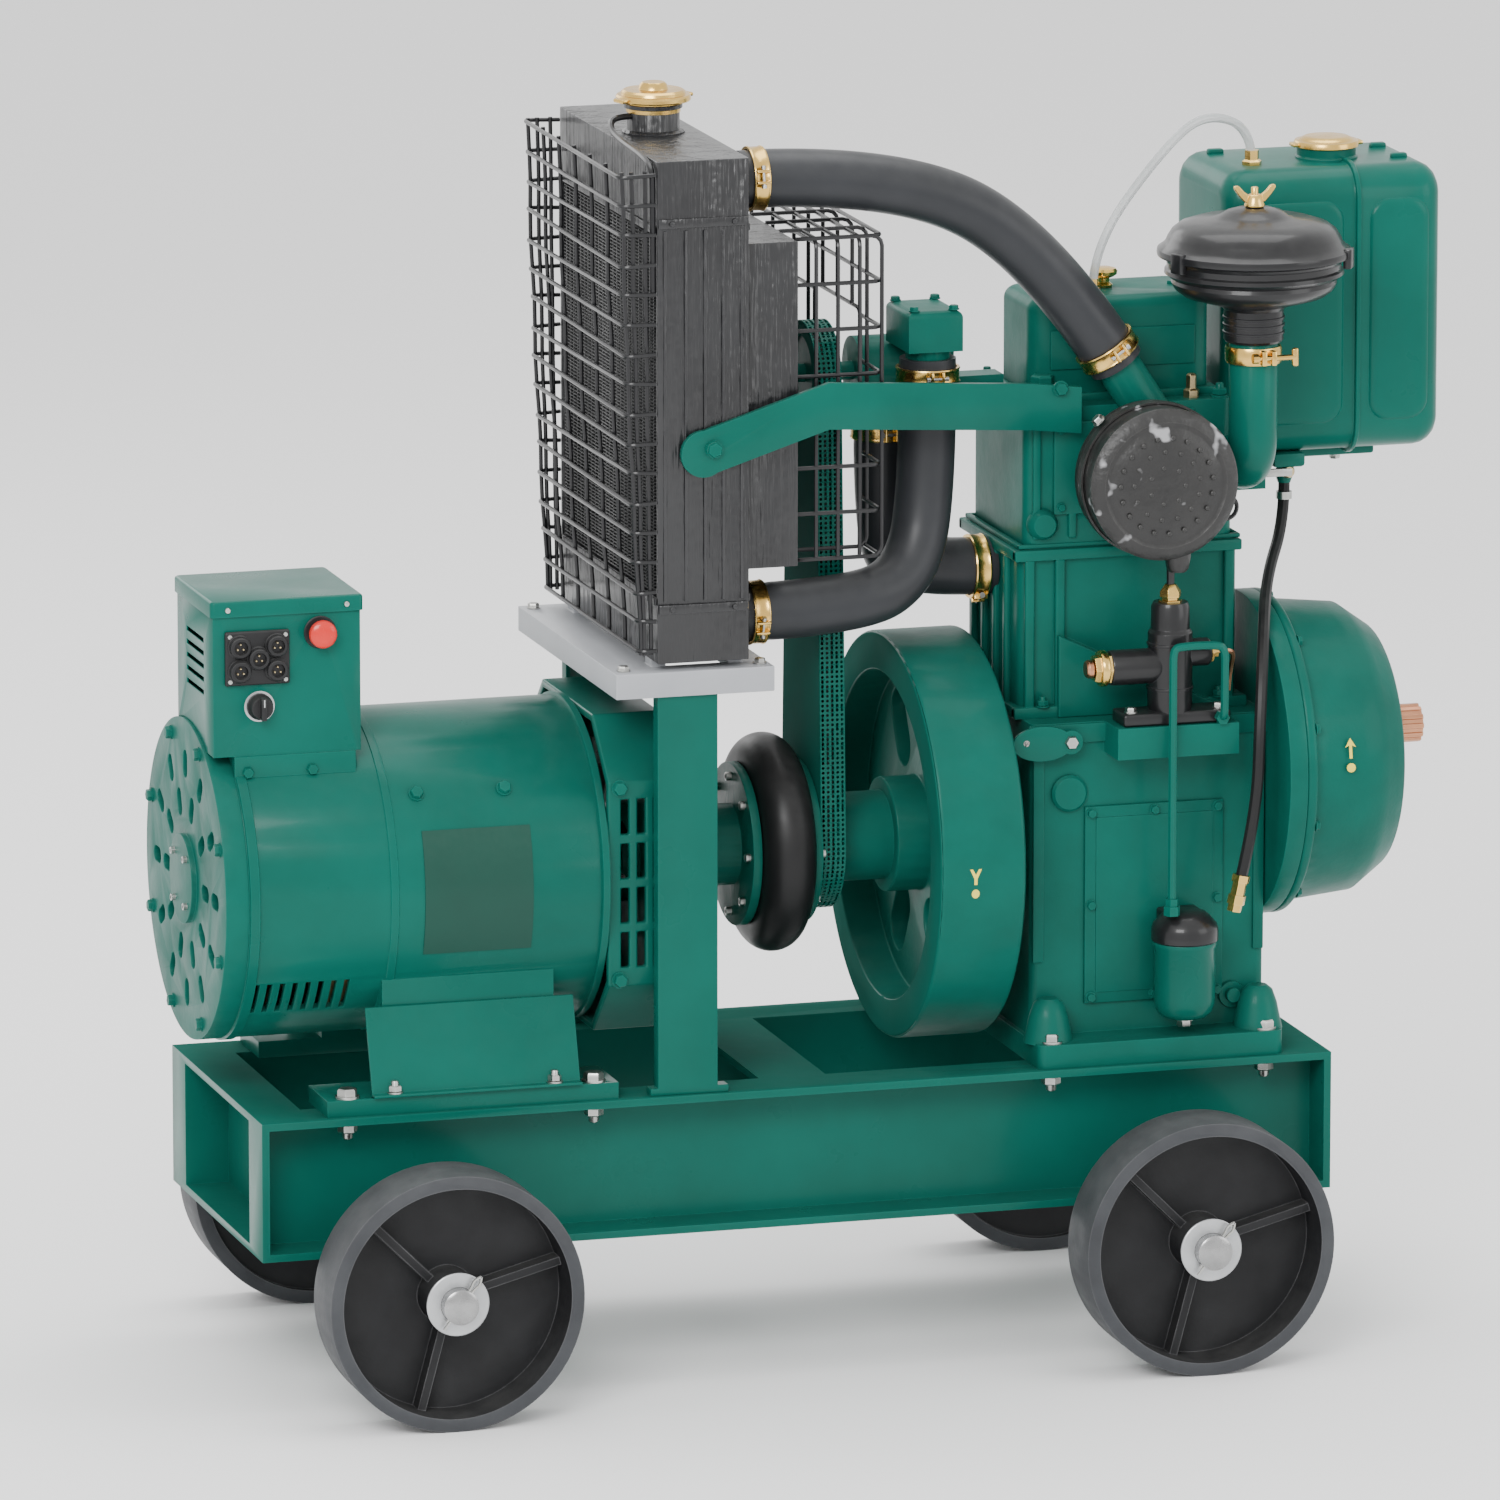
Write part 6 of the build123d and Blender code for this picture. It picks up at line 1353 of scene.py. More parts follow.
finStarts = [(x, 0, coreLow) for x in (x0 + 3.2, x1 - 3.2)]
finStep = (0, 0, (coreHigh - coreLow) / (cooling["fins"] - 1))
coreBars("coreFins", finStarts, cooling["fins"], finStep, (5.0, 348, 1.0), "coreMetal")
tubeStarts = [(x, -168, (coreLow + coreHigh) / 2) for x in (x0 + 4.0, x1 - 4.0)]
tubeStep = (0, 336 / (cooling["tubes"] - 1), 0)
coreBars("coreTubes", tubeStarts, cooling["tubes"], tubeStep, (5.4, 3.0, coreHigh - coreLow), "satinBlack")
ribShapes, sideShapes = [], []
for side in (-1, 1):
    y = side * y1
    for x in (x0 + 8, x0 + 31, x0 + 52, x0 + 72, x1 - 8):
        sideShapes.append(
            roundedBox(
                x - 1.6, x + 1.6, min(y, y + side * 1.6), max(y, y + side * 1.6), z0 + 66, z1 - 74, 0.7, 2,
            )
        )
    for z in (z0 + 58, z1 - 66):
        ribShapes.append(
            roundedBox(x0 + 1, x1 - 1, min(y, y + side * 2.4), max(y, y + side * 2.4), z - 5, z + 5, 1.1, 2)
        )
for z in (z0 + 66, z1 - 74):
    for x, reach in ((x0, -1), (x1, 1)):
        ribShapes.append(
            roundedBox(
                min(x, x + reach * 2.6), max(x, x + reach * 2.6), y0 + 3, y1 - 3, z - 4, z + 4, 1.2, 2,
            )
        )
makePiece("radiatorRibs", [("wrinkleBlack", *ribShapes, *sideShapes)], "trolley")
edgeBolts = [
    ((x, s * (y1 + 2.4), z), (0, s, 0), 0.5) for s in (-1, 1) for x in (x0 + 16, x1 - 16)
    for z in (z0 + 58, z1 - 66)
]
addFasteners("radiatorScrews", "panScrew", "wrinkleBlack", "trolley", edgeBolts, 9)

nx, ny = cooling["neck"]
makePiece(
    "radiatorCap",
    [
        (
            "brass",
            turned(
                "z", (nx, ny, 0),
                [
                    (1340.5, 0), (1340.5, 29.0), (1352.2, 29.2), (1352.2, 39.0), (1353.6, 40.0),
                    (1357, 40.0), (1359, 38.5), (1359.4, 35.0), (1362.2, 34.0), (1364, 31.5),
                    (1364.6, 16.0), (1369.5, 14.5), (1371.9, 12.0), (1371.9, 0),
                ],
                64,
            ),
            *[
                shifted(roundedBox(-46.5, -34, -9, 9, 1353, 1357.5, 1.6, 2), (nx, ny, 0), (0, 0, turn))
                for turn in (math.radians(20), math.radians(200))
            ],
        )
    ],
    "radiator_cap_body", ("radiator_cap",), limit=30,
)
overflow = [
    (nx - 26, -6, 1337), (nx - 44, -8, 1337), (nx - 52, -14, 1331), (nx - 54, -40, 1322),
    (nx - 54, -150, 1318), (nx - 54, -181, 1310), (nx - 54, -184, 1288), (nx - 54, -184, 1180),
]
neckRings = [
    turned("z", (nx, ny, 0), [(1316, 33), (1319.5, 33.5), (1321.5, 31), (1322, 28)], 48),
    turned("z", (nx, ny, 0), [(1344, 28), (1345, 31), (1349, 31), (1350, 28)], 48),
]
makePiece(
    "radiatorNeckTrim", [("wrinkleBlack", *neckRings), ("satinBlack", piped(overflow, 3.4, 12, 6))],
    "trolley",
)

softenNode(
    "radiator_stand", "greyPaint", 1.0, 2, choose=lambda spots: 0 if min(spot.z for spot in spots) > 746.0
    else 1, others=("greenEnamel",),
)
shelfBolts = [((x, s * 176.0, 774.2), (0, 0, 1), 0.85) for x in (-262.0, -112.0) for s in (-1, 1)]
addFasteners("shelfBolts", "hexHead", "zincSteel", "trolley", shelfBolts, 10)
standNuts = [((-194.5, s * 175.0, 746.5), (0, 0, -1), 0.9) for s in (-1, 1)]
addFasteners("standNuts", "hexNut", "zincSteel", "trolley", standNuts, 11)


# a net of straight wires; each wire is its own run of points
def wireNet(name, runs, radius, corner):
    points, edges = [], []
    for run in runs:
        first = len(points)
        points += run
        edges += [(first + i, first + i + 1) for i in range(len(run) - 1)]
    values = {"Radius": radius * mm, "Corner": corner * mm, "Finish": materials["satinBlack"]}
    mesh = runTree("wires", points, values, edges)
    mesh.name = name
    return mesh


guardX, guardTop, guardLow = cooling["guardX"], cooling["guardTop"], 796.0
sideReach = 186.0


# the guard leans in towards its foot and its wires are a little bent
def guardFront(z):
    rise = (z - guardLow) / (guardTop - guardLow)
    return guardX + cooling["guardLean"] * (1 - rise) ** 1.4 + 0.9 * math.sin(rise * 23.0)


guardLevels = [
    guardLow + (guardTop - 4 - guardLow) * i / (cooling["guardRows"] - 1)
    for i in range(cooling["guardRows"])
]
guardRuns = []
for level, z in enumerate(guardLevels):
    front, dip = guardFront(z), 1.6 * math.sin(level * 2.3)
    guardRuns.append(
        [
            (x0 - 1, -sideReach, z), (front, -sideReach, z + dip), (front, sideReach, z - dip),
            (x0 - 1, sideReach, z),
        ]
    )
for column in range(cooling["guardColumns"]):
    y = -sideReach + 2 * sideReach * column / (cooling["guardColumns"] - 1)
    guardRuns.append(
        [(guardFront(z) + 3.4, y * 0.98, z) for z in (guardLow - 4, *guardLevels[1:-1], guardTop)]
    )
for side in (-1, 1):
    for part in (0.34, 0.70):
        rise = [(z, guardFront(z)) for z in (guardLow - 4, *guardLevels[1:-1], guardTop)]
        guardRuns.append([(front + (x0 - front) * part, side * (sideReach - 3.2), z) for z, front in rise])
frontGuard = wireNet("frontGuard", guardRuns, cooling["guardWire"], 9.0)
cx0, cx1, cy0, cy1, cz0, cz1 = cooling["cage"]
gapY, gapZ = cooling["cageGap"]
cageRuns = []
cageColumns = 7
for column in range(cageColumns):
    y = cy0 + (cy1 - cy0) * column / (cageColumns - 1)
    low = gapZ if abs(y) < gapY else cz0
    if low > cz0:
        cageRuns.append([(cx1, y, low), (cx1, y, cz1), (cx0, y, cz1)])
    else:
        cageRuns.append([(cx0, y, cz0), (cx1, y, cz0), (cx1, y, cz1), (cx0, y, cz1)])
cageRows = 8
for row in range(cageRows):
    z = cz0 + (cz1 - cz0) * row / (cageRows - 1)
    if z < gapZ:
        for side in (-1, 1):
            cageRuns.append([(cx0, side * cy1, z), (cx1, side * cy1, z), (cx1, side * gapY, z)])
    else:
        cageRuns.append([(cx0, cy0, z), (cx1, cy0, z), (cx1, cy1, z), (cx0, cy1, z)])
for x in (cx0 + 24, cx0 + 48, cx0 + 72):
    cageRuns.append([(x, cy0 + 1, cz0), (x, cy0 + 1, cz1 - 1), (x, cy1 - 1, cz1 - 1), (x, cy1 - 1, cz0)])
cageRuns.append([(cx1, -gapY, cz0), (cx1, -gapY, gapZ), (cx1, gapY, gapZ), (cx1, gapY, cz0)])
fanCage = wireNet("fanCage", cageRuns, 2.3, 11.0)
finishMesh("frontGuard", frontGuard, "trolley", ("wire_guards",))
finishMesh("fanCage", fanCage, "trolley")

hubLow, hubHigh = cooling["hubX"]
fanAt = (0, 0, fanHeight)
fanX, fanRadius = cooling["fanX"], cooling["fanRadius"]


# a twisted, cupped blade between two radii, turned about the shaft
def fanBlade(turnBy):
    rows, columns = 9, 7
    points = []
    for face in (0.0, 1.0):
        for row in range(rows):
            share = row / (rows - 1)
            radius = 32 + (fanRadius - 33) * share
            pitch = math.radians(34 - 12 * share)
            half = 23 + 15 * math.sin(math.pi * min(1, share * 0.8)) - 8 * max(0, share - 0.85) / 0.15
            for column in range(columns):
                across = -1 + 2 * column / (columns - 1)
                cup = 3.2 * (1 - across * across)
                x = fanX - 1 + half * across * math.sin(pitch) * 0.9 + cup * 0.6 + face * 2.2
                around = half * across * math.cos(pitch)
                angle = turnBy + around / radius if radius > 60 else turnBy + around / 60
                points.append(spun("x", x, radius, angle, fanAt))
    faces = []
    layer = rows * columns
    for row in range(rows - 1):
        for column in range(columns - 1):
            a = row * columns + column
            faces.append((a, a + 1, a + columns + 1, a + columns))
            faces.append((layer + a, layer + a + 1, layer + a + columns + 1, layer + a + columns))
    border = list(range(columns)) + [columns * r + columns - 1 for r in range(1, rows)]
    border += [layer - 1 - c for c in range(1, columns)] + [columns * r for r in range(rows - 2, 0, -1)]
    for here, after in zip(border, border[1:] + border[:1]):
        faces.append((here, after, layer + after, layer + here))
    return points, faces


bladeShapes = [fanBlade(2 * math.pi * step / cooling["blades"]) for step in range(cooling["blades"])]
hubShape = turned(
    "x", fanAt,
    [
        (hubLow, 0), (hubLow, 30), (hubLow + 3, 34), (hubHigh - 4, 34), (hubHigh - 1, 31), (hubHigh, 27),
        (hubHigh, 0),
    ],
    40,
)
makePiece("fanWheel", [("satinBlack", hubShape, *bladeShapes)], "fan_line", ("fan",), limit=40)
addFasteners(
    "fanBolts", "hexHead", "zincSteel", "fan_line",
    ringSpots("x", (hubLow, 0, fanHeight), 22, 4, (-1, 0, 0), 0.6), 12,
)

# flat arm from the radiator's side to the engine
softenNode("support_arm", "greenEnamel", 1.0, 2)
armBolts = [((-168.5, -196.2, 1011.0), (0, -1, 0), 1.15), ((238.5, -119.2, 1041.0), (0, -1, 0), 1.0)]
addFasteners("armBolts", "hexHead", "greenCasting", "trolley", armBolts, 13)

# hoses and their clips
hoses = {
    "radius": 31.0,
    "clipRadius": 34.8,
    "clipWidth": 20.0,
    "inset": 8.0,
    "top": [(-119.5, -120, 1284), (46.5, -120, 1284), (215.5, -101, 1200), (306.5, -101, 1062)],
    "low": [(-119.5, -120, 818), (6.5, -120, 818), (78.5, -97, 842), (104.5, -74, 928), (104.5, -74, 1074)],
    "block": [(76.5, 0, 1002), (76.5, 0, 869.3), (100.5, 0, 829.3), (199.5, 0, 829.3)],
}


# the line itself, read back from its smooth curve
def smoothLine(points, steps):
    return [Vector(spot) for spot in piped(points, 0, smooth=steps)[0]]


# a tube of any outline (distance along, radius) about a smooth line
def sleeveAlong(spots, radiusAt, sides=32):
    lengths = [0.0]
    for here, after in zip(spots, spots[1:]):
        lengths.append(lengths[-1] + (after - here).length)
    points, faces = [], []
    side = Vector((0, 0, 1)) if abs((spots[1] - spots[0]).normalized().z) < 0.9 else Vector((0, 1, 0))
    for index, spot in enumerate(spots):
        before, after = spots[max(0, index - 1)], spots[min(len(spots) - 1, index + 1)]
        ahead = (after - before).normalized()
        side = (side - ahead * side.dot(ahead)).normalized()
        other = ahead.cross(side)
        radius = radiusAt(lengths[index], lengths[-1])
        for step in range(sides):
            angle = 2 * math.pi * step / sides
            points.append(tuple(spot + (side * math.cos(angle) + other * math.sin(angle)) * radius))
    for ring in range(len(spots) - 1):
        for step in range(sides):
            a, b = ring * sides + step, ring * sides + (step + 1) % sides
            faces.append((a, b, b + sides, a + sides))
    faces += [tuple(range(sides)), tuple(range(len(points) - sides, len(points)))]
    return points, faces


# a clip on a hose's end: band, two rolled ears and a screw
def hoseClip(spot, ahead, towards):
    ahead = Vector(ahead).normalized()
    lift = (Vector(towards) - ahead * Vector(towards).dot(ahead)).normalized()
    across = ahead.cross(lift)
    spin = Matrix((across, lift, ahead)).transposed()
    half, radius = hoses["clipWidth"] / 2 - 1.5, hoses["clipRadius"]
    band = turned(
        "z", (0, 0, 0),
        [
            (-half, radius - 3.4), (-half, radius - 0.6), (-half + 1.4, radius), (-half + 3, radius - 1.0),
            (half - 3, radius - 1.0), (half - 1.4, radius), (half, radius - 0.6), (half, radius - 3.4),
        ],
        56, hollow=True,
    )
    ears = [
        roundedBox(x - 1.6, x + 1.6, radius - 3, radius + 4.2, -half + 1, half - 1, 1.2, 2)
        for x in (-6.0, 6.0)
    ]
    screw = turned(
        "x", (0, radius + 1.2, 0),
        [(-12, 0), (-12, 2.6), (-8.6, 2.6), (-8.6, 1.7), (8.6, 1.7), (8.6, 3.0), (12, 3.0), (12, 0)], 12,
    )
    placed = []
    for points, faces in (band, *ears, screw):
        placed.append(([tuple(spin @ Vector(p) + Vector(spot)) for p in points], faces))
    return placed[:-1], placed[-1:]


def bulgedEnds(along, total):
    edge = min(along, total - along)
    pinch = 1.0 if abs(edge - hoses["inset"] - hoses["clipWidth"] / 2) < hoses["clipWidth"] / 2 else 0.0
    return hoses["radius"] - 0.5 * pinch - (0.8 if edge < 1.5 else 0)


hoseShapes, bandShapes, screwShapes = [], [], []
for label, towards in (("top", (0, -1, 0.2)), ("low", (0, -1, -0.3)), ("block", (0, -0.5, -1))):
    spots = smoothLine(hoses[label], 20)
    hoseShapes.append(sleeveAlong(spots, bulgedEnds))
    for order in (spots, spots[::-1]):
        inward = (order[1] - order[0]).normalized()
        spot = order[0] + inward * (hoses["inset"] + hoses["clipWidth"] / 2)
        bands, screws = hoseClip(spot, inward, towards)
        bandShapes += bands
        screwShapes += screws
makePiece("coolantHoses", [("hoseRubber", *hoseShapes)], "trolley", ("coolant_hoses",), limit=50)
makePiece(
    "hoseClips", [("brass", *bandShapes), ("zincSteel", *screwShapes)], "trolley", ("hose_clips",),
    limit=40,
)
softenNode("water_pump", "greenCasting", 1.6, 2)
pumpTop = [((104.5 + s * 22, -62 + t * 34.0, 1128.2), (0, 0, 1), 0.7) for s in (-1, 1) for t in (-1, 1)]
addFasteners("pumpBolts", "hexHead", "greenCasting", "trolley", pumpTop, 14)
print("cooling done")

# crankcase, gear case, cylinder and head
engine = {
    "case": (202.5, 466.5, -135.0, 135.0, 680.3),
    "block": (201.5, 447.5, -95.0, 95.0, 680.3, 866.0),
    "head": (207.5, 441.5, -95.0, 95.0, 866.0, 1016.0),
    "cover": (225.5, 427.5, -60.0, 60.0, 1016.0, 1126.0),
    "gearCase": (486.5, 611.5, -44.0, 617.5),
    "drum": 164.7,
    "flange": 175.7,
    "panel": (262.0, 418.0, 372.0, 588.0),
}
for name, edge in (
    ("crankcase", 3.2), ("gear_case", 3.6), ("cylinder_block", 2.4), ("cylinder_head", 2.6),
    ("rocker_cover", 3.4),
):
    softenNode(name, "greenCasting", edge, 3, thin=0.02 if name == "gear_case" else 0.6)
ex0, ex1, ey0, ey1, ez1 = engine["case"]
px0, px1, pz0, pz1 = engine["panel"]
caseShapes, panelBolts = [], []
panelSpots = [(x, z) for x in (px0 + 7, (px0 + px1) / 2, px1 - 7) for z in (pz0 + 7, pz1 - 7)]
panelSpots += [(x, (pz0 + pz1) / 2) for x in (px0 + 7, px1 - 7)]


# a rounded box on one side of the crankcase, between two depths from its face
def onCase(x0, x1, side, deep, high, z0, z1, corner):
    face = ey0 if side < 0 else ey1
    return roundedBox(x0, x1, *sorted((face + side * deep, face + side * high)), z0, z1, corner, 2)


for side, edge in ((-1, ey0), (1, ey1)):
    caseShapes.append(onCase(px0, px1, side, -1, 4.2, pz0, pz1, 1.8))
    caseShapes.append(onCase(px0 + 12, px1 - 12, side, 3, 6, pz0 + 12, pz1 - 12, 1.2))
    caseShapes.append(onCase(ex0 - 3, ex1 + 3, side, -1, 3.5, ez1 - 22, ez1 - 1, 1.6))
    for x in (ex0 + 2, ex1 - 14):
        caseShapes.append(onCase(x, x + 12, side, -1, 3, 420, ez1 - 24, 1.4))
    for x in (ex0 + 14, ex1 - 14):
        footBoss = [(338, 27), (342, 26), (366, 21), (380, 16), (385, 10), (385, 0)]
        caseShapes.append(turned("z", (x, edge + side * 20, 0), footBoss, 28))
    panelBolts += [((x, edge + side * 4.3, z), (0, side, 0), 0.7) for x, z in panelSpots]
dipBoss = turned("y", (ex0 + 42, ey0, 604), [(1, 20), (-4, 20), (-7, 17), (-7, 0)], 32)
drainBoss = turned(
    "y", (ex1 - 38, ey0, 372), [(1, 15), (-5, 14), (-5, 8), (-12, 8), (-13, 7), (-13, 0)], 24,
)
makePiece(
    "crankcaseTrim", [("greenCasting", *caseShapes, dipBoss, drainBoss)], "trolley",
)
addFasteners("crankcaseBolts", "hexHead", "greenCasting", "trolley", panelBolts, 15)
gx0, gx1, gy, gz = engine["gearCase"]
rimBolts = ringSpots("x", (gx0 + 12.2, gy, gz), engine["flange"] - 6.2, 10, (1, 0, 0), 0.75, 0.3)
stubBolts = ringSpots("x", (gx1 + 0.2, -88, 647.3), 33.0, 3, (1, 0, 0), 0.55, 0.5)
addFasteners("gearCaseBolts", "hexHead", "greenCasting", "trolley", rimBolts + stubBolts, 16)
drumArrow = [(-6, 10), (0, 20), (6, 10), (1.6, 12), (1.6, -2), (-1.6, -2), (-1.6, 12)]
drumRing = [(5 * math.cos(math.radians(a)), -12 + 5 * math.sin(math.radians(a))) for a in range(0, 360, 30)]
caseMarks = [
    drumMark(gx0 + 52, engine["drum"], 8, outline, 0.4, (gy, gz)) for outline in (drumArrow, drumRing)
]
makePiece("caseMark", [("yellowPaint", *caseMarks)], "trolley")

# the starting shaft: a toothed, copper coloured end
softenNode("camshaft", "turnedSteel", 0.8, 2, cutBeyond=622.5)
shaftEnd = {"x": (622.0, 655.5), "radius": 21.0, "teeth": 12}
sx0, sx1 = shaftEnd["x"]
toothed = []
for tooth in range(shaftEnd["teeth"]):
    for turnBy, reach in ((-0.30, 0.90), (-0.22, 1.0), (0.22, 1.0), (0.30, 0.90)):
        angle = 2 * math.pi * (tooth + turnBy) / shaftEnd["teeth"]
        toothed.append(
            (
                camAt[0] + shaftEnd["radius"] * reach * math.cos(angle),
                camAt[1] + shaftEnd["radius"] * reach * math.sin(angle),
            )
        )
makePiece(
    "startingShaft",
    [
        ("copper", drawn("x", toothed, sx0, sx1)),
        (
            "turnedSteel",
            turned("x", (sx1, camAt[0], camAt[1]), [(-1, 12), (0.0, 11.6), (0.0, 4.0), (-3, 0)], 24),
        ),
    ],
    "cam_line", edge=0.8, limit=30,
)
# ribs, covers and fittings on the cylinder
bx0, bx1, by0, by1, bz0, bz1 = engine["block"]
hx0, hx1, hy0, hy1, hz0, hz1 = engine["head"]
vx0, vx1, vy0, vy1, vz0, vz1 = engine["cover"]
castRibs = []
for y in (-58, -20, 20, 58):
    castRibs.append(roundedBox(bx0 - 6.5, bx0 + 1, y - 5, y + 5, bz0 + 2, bz1 - 14, 2.4, 3))
for x in (bx0 + 10, bx0 + 44, bx1 - 12):
    castRibs.append(roundedBox(x - 5.5, x + 5.5, by0 - 6.5, by0 + 1, bz0 + 2, bz1 - 14, 2.4, 3))
    castRibs.append(roundedBox(x - 5.5, x + 5.5, by1 - 1, by1 + 6.5, bz0 + 2, bz1 - 14, 2.4, 3))
for x in (hx0 + 12, hx0 + 52, hx1 - 50):
    castRibs.append(roundedBox(x - 4.5, x + 4.5, hy0 - 4.5, hy0 + 1, hz0 + 8, hz1 - 8, 2.0, 3))


# four strips that run round a casting, so that its inside stays free
def bandRound(x0, x1, y0, y1, z0, z1, edge, deep=11.0):
    strips = [roundedBox(x0, x1, y, y + deep, z0, z1, edge, 2) for y in (y0, y1 - deep)]
    strips += [
        roundedBox(x, x + deep, y0 + 1.0, y1 - 1.0, z0 + 0.02, z1 - 0.02, edge, 2) for x in (x0, x1 - deep)
    ]
    return strips


joints = [
    *bandRound(bx0 - 1.5, bx1 + 1.5, by0 - 1.5, by1 + 1.5, bz1 - 2.2, bz1 + 2.2, 1.0, 6.0),
    *bandRound(bx0 - 7, bx1 + 2, by0 - 7, by1 + 7, bz1 - 15, bz1 - 3, 2.0),
    *bandRound(bx0 - 8, bx1 + 8, by0 - 9, by1 + 9, bz0 - 0.5, bz0 + 12, 2.2, 13.0),
    *bandRound(vx0 - 6, vx1 + 6, vy0 - 6, vy1 + 6, vz0 - 1, vz0 + 8, 2.0),
    roundedBox(vx0 + 20, vx1 - 20, vy0 - 3, vy0 + 3, vz0 + 34, vz1 - 34, 1.6, 2),
    roundedBox(vx0 + 20, vx1 - 20, vy1 - 3, vy1 + 3, vz0 + 34, vz1 - 34, 1.6, 2),
]
coverPlate = [
    roundedBox(238, 320, hy0 - 5, hy0 + 1, 900, 1000, 1.8, 2),
    turned("y", (226, hy0 + 2, 890), [(0, 17), (-9, 16), (-14, 12), (-14, 0)], 24),
]
makePiece(
    "castRibs", [("greenCasting", *castRibs, *joints, *coverPlate)], "trolley",
)
headStuds = [((x, y, hz1), (0, 0, 1), 1.1) for x in (hx0 + 12, hx1 - 12) for y in (hy0 + 14, hy1 - 14)]
headStuds += [(((hx0 + hx1) / 2, y, hz1), (0, 0, 1), 1.1) for y in (hy0 + 14, hy1 - 14)]
blockStuds = [
    ((x, s * 102.0, bz0 + 12.2), (0, 0, 1), 0.85) for x in (bx0 + 24, 330.5, bx1 - 24) for s in (-1, 1)
]
addFasteners("headStuds", "hexNut", "greenCasting", "trolley", headStuds + blockStuds, 17)
coverBoltsAt = [((x, y, vz1 - 2.0), (0, 0, 1), 0.8) for x in (vx0 + 26, vx1 - 26) for y in (0.0,)]
sideBolts = [((x, hy0 - 5.2, z), (0, -1, 0), 0.6) for x in (246, 312) for z in (908, 992)]
addFasteners("coverBolts", "hexHead", "greenCasting", "trolley", coverBoltsAt + sideBolts, 18)

knobAt = (324.5, 0)
makePiece(
    "fillerKnob",
    [
        (
            "brass",
            turned(
                "z", (*knobAt, 0),
                [
                    (1114.2, 0), (1114.2, 4.9), (1126.4, 5), (1126.4, 9.0), (1129, 9.6), (1132, 6.2),
                    (1136, 6.4), (1138, 11), (1140.5, 14.4), (1144, 15), (1146.6, 13), (1147.9, 8),
                    (1148, 0),
                ],
                36,
            ),
        )
    ],
    "filler_knob_body", ("filler_knob",),
)
makePiece(
    "headFittings",
    [
        (
            "greenCasting",
            turned(
                "z", (236.5, -62, 0),
                [(1014, 15), (1030, 15), (1032, 13), (1044, 13), (1046, 11), (1046, 0)], 6,
            ),
        ),
        (
            "dullBrass",
            turned(
                "z", (398.5, -78, 0), [(1014, 9), (1024, 9), (1026, 6), (1040, 6), (1042, 4), (1042, 0)], 6,
            ),
        ),
    ],
    "trolley", edge=0.6,
)
print("engine castings done")

# injection pump with its unions, knob and pipes
injection = {
    "bodyAt": (350.5, -157.0),
    "cylinderZ": 742.3,
}
pumpX, pumpY = injection["bodyAt"]
cz = injection["cylinderZ"]
pumpBody = [
    roundedBox(292.5, 412.5, -179, -135.2, 680.3, 694.3, 3.0, 3),
    turned(
        "z", (pumpX, pumpY, 0),
        [(692, 0), (692, 23), (700, 24), (778, 24), (782, 21), (806, 20.5), (811, 18.5), (811, 0)], 40,
    ),
    turned("x", (0, pumpY, cz), [(282, 0), (282, 18), (284, 19), (350, 19), (350, 0)], 36),
    turned("x", (0, pumpY, 754.3), [(350.5, 0), (350.5, 15), (392, 15), (394.5, 13), (394.5, 0)], 32),
]
pumpRings = [
    turned("z", (pumpX, pumpY, 0), [(z, 23), (z + 0.5, 25.2), (z + 3.5, 25.2), (z + 4, 23)], 40)
    for z in (716, 764)
]
brassParts = [
    turned(
        "z", (pumpX, pumpY, 0),
        [
            (800, 0), (800, 13.6), (813, 13.6), (813, 9.5), (816, 9.5), (816, 12), (822, 12), (830.2, 6),
            (830.2, 0),
        ],
        6,
    ),
    turned(
        "x", (0, pumpY, cz), [(264, 0), (264, 14.5), (268, 15.5), (276, 15.5), (282.4, 17.4), (282.4, 0)],
        6,
    ),
    turned(
        "x", (0, pumpY, cz), [(270, 0), (270, 18.2), (272, 19.6), (277, 19.6), (279, 18.2), (279, 0)], 32,
    ),
    turned("x", (0, pumpY, 754.3), [(392, 0), (392, 12), (398, 12), (398, 7), (404, 7), (404, 0)], 6),
]
knobParts = [
    turned("x", (0, pumpY, cz), [(255.6, 0), (255.6, 8), (258, 10), (263, 10), (264.4, 7), (264.4, 0)], 24)
]
makePiece(
    "injectionPump",
    [("satinBlack", *pumpBody, *pumpRings), ("brass", *brassParts), ("copper", *knobParts)], "trolley",
    ("injection_pump",), edge=0.5, limit=35,
)
makePiece(
    "pumpPipes",
    [
        (
            "satinBlack",
            piped(
                [
                    (350.5, -157, 828), (350.5, -157, 846), (350, -160, 862), (362, -150, 878),
                    (372, -128, 890), (374, -100, 900),
                ],
                4.4, 12,
            ),
        ),
        ("brass", turned("y", (374, -96, 901), [(-8, 0), (-8, 8.5), (2, 8.5), (2, 0)], 6)),
        (
            "copper",
            piped(
                [
                    (404, -157, 754.3), (418, -157, 754.3), (424, -152, 748), (424, -140, 730),
                    (424, -134, 706),
                ],
                2.8, 10,
            ),
        ),
    ],
    "trolley",
)
pumpScrews = [((x, -167.0, 694.4), (0, 0, 1), 0.85) for x in (303.5, 402.5)]
addFasteners("pumpScrews", "hexHead", "zincSteel", "trolley", pumpScrews, 19)

softenNode("governor_lever", "greenEnamel", 1.0, 2)
leverParts = [
    turned("y", (242.5, -147, 662.3), [(-8.5, 0), (-8.5, 6.5), (-5, 8), (1, 8), (1, 0)], 6),
    turned("y", (192, -147, 664), [(-5, 0), (-5, 3.4), (1, 3.4), (1, 0)], 16),
]
makePiece("leverTrim", [("zincSteel", *leverParts)], "governor_lever_body")

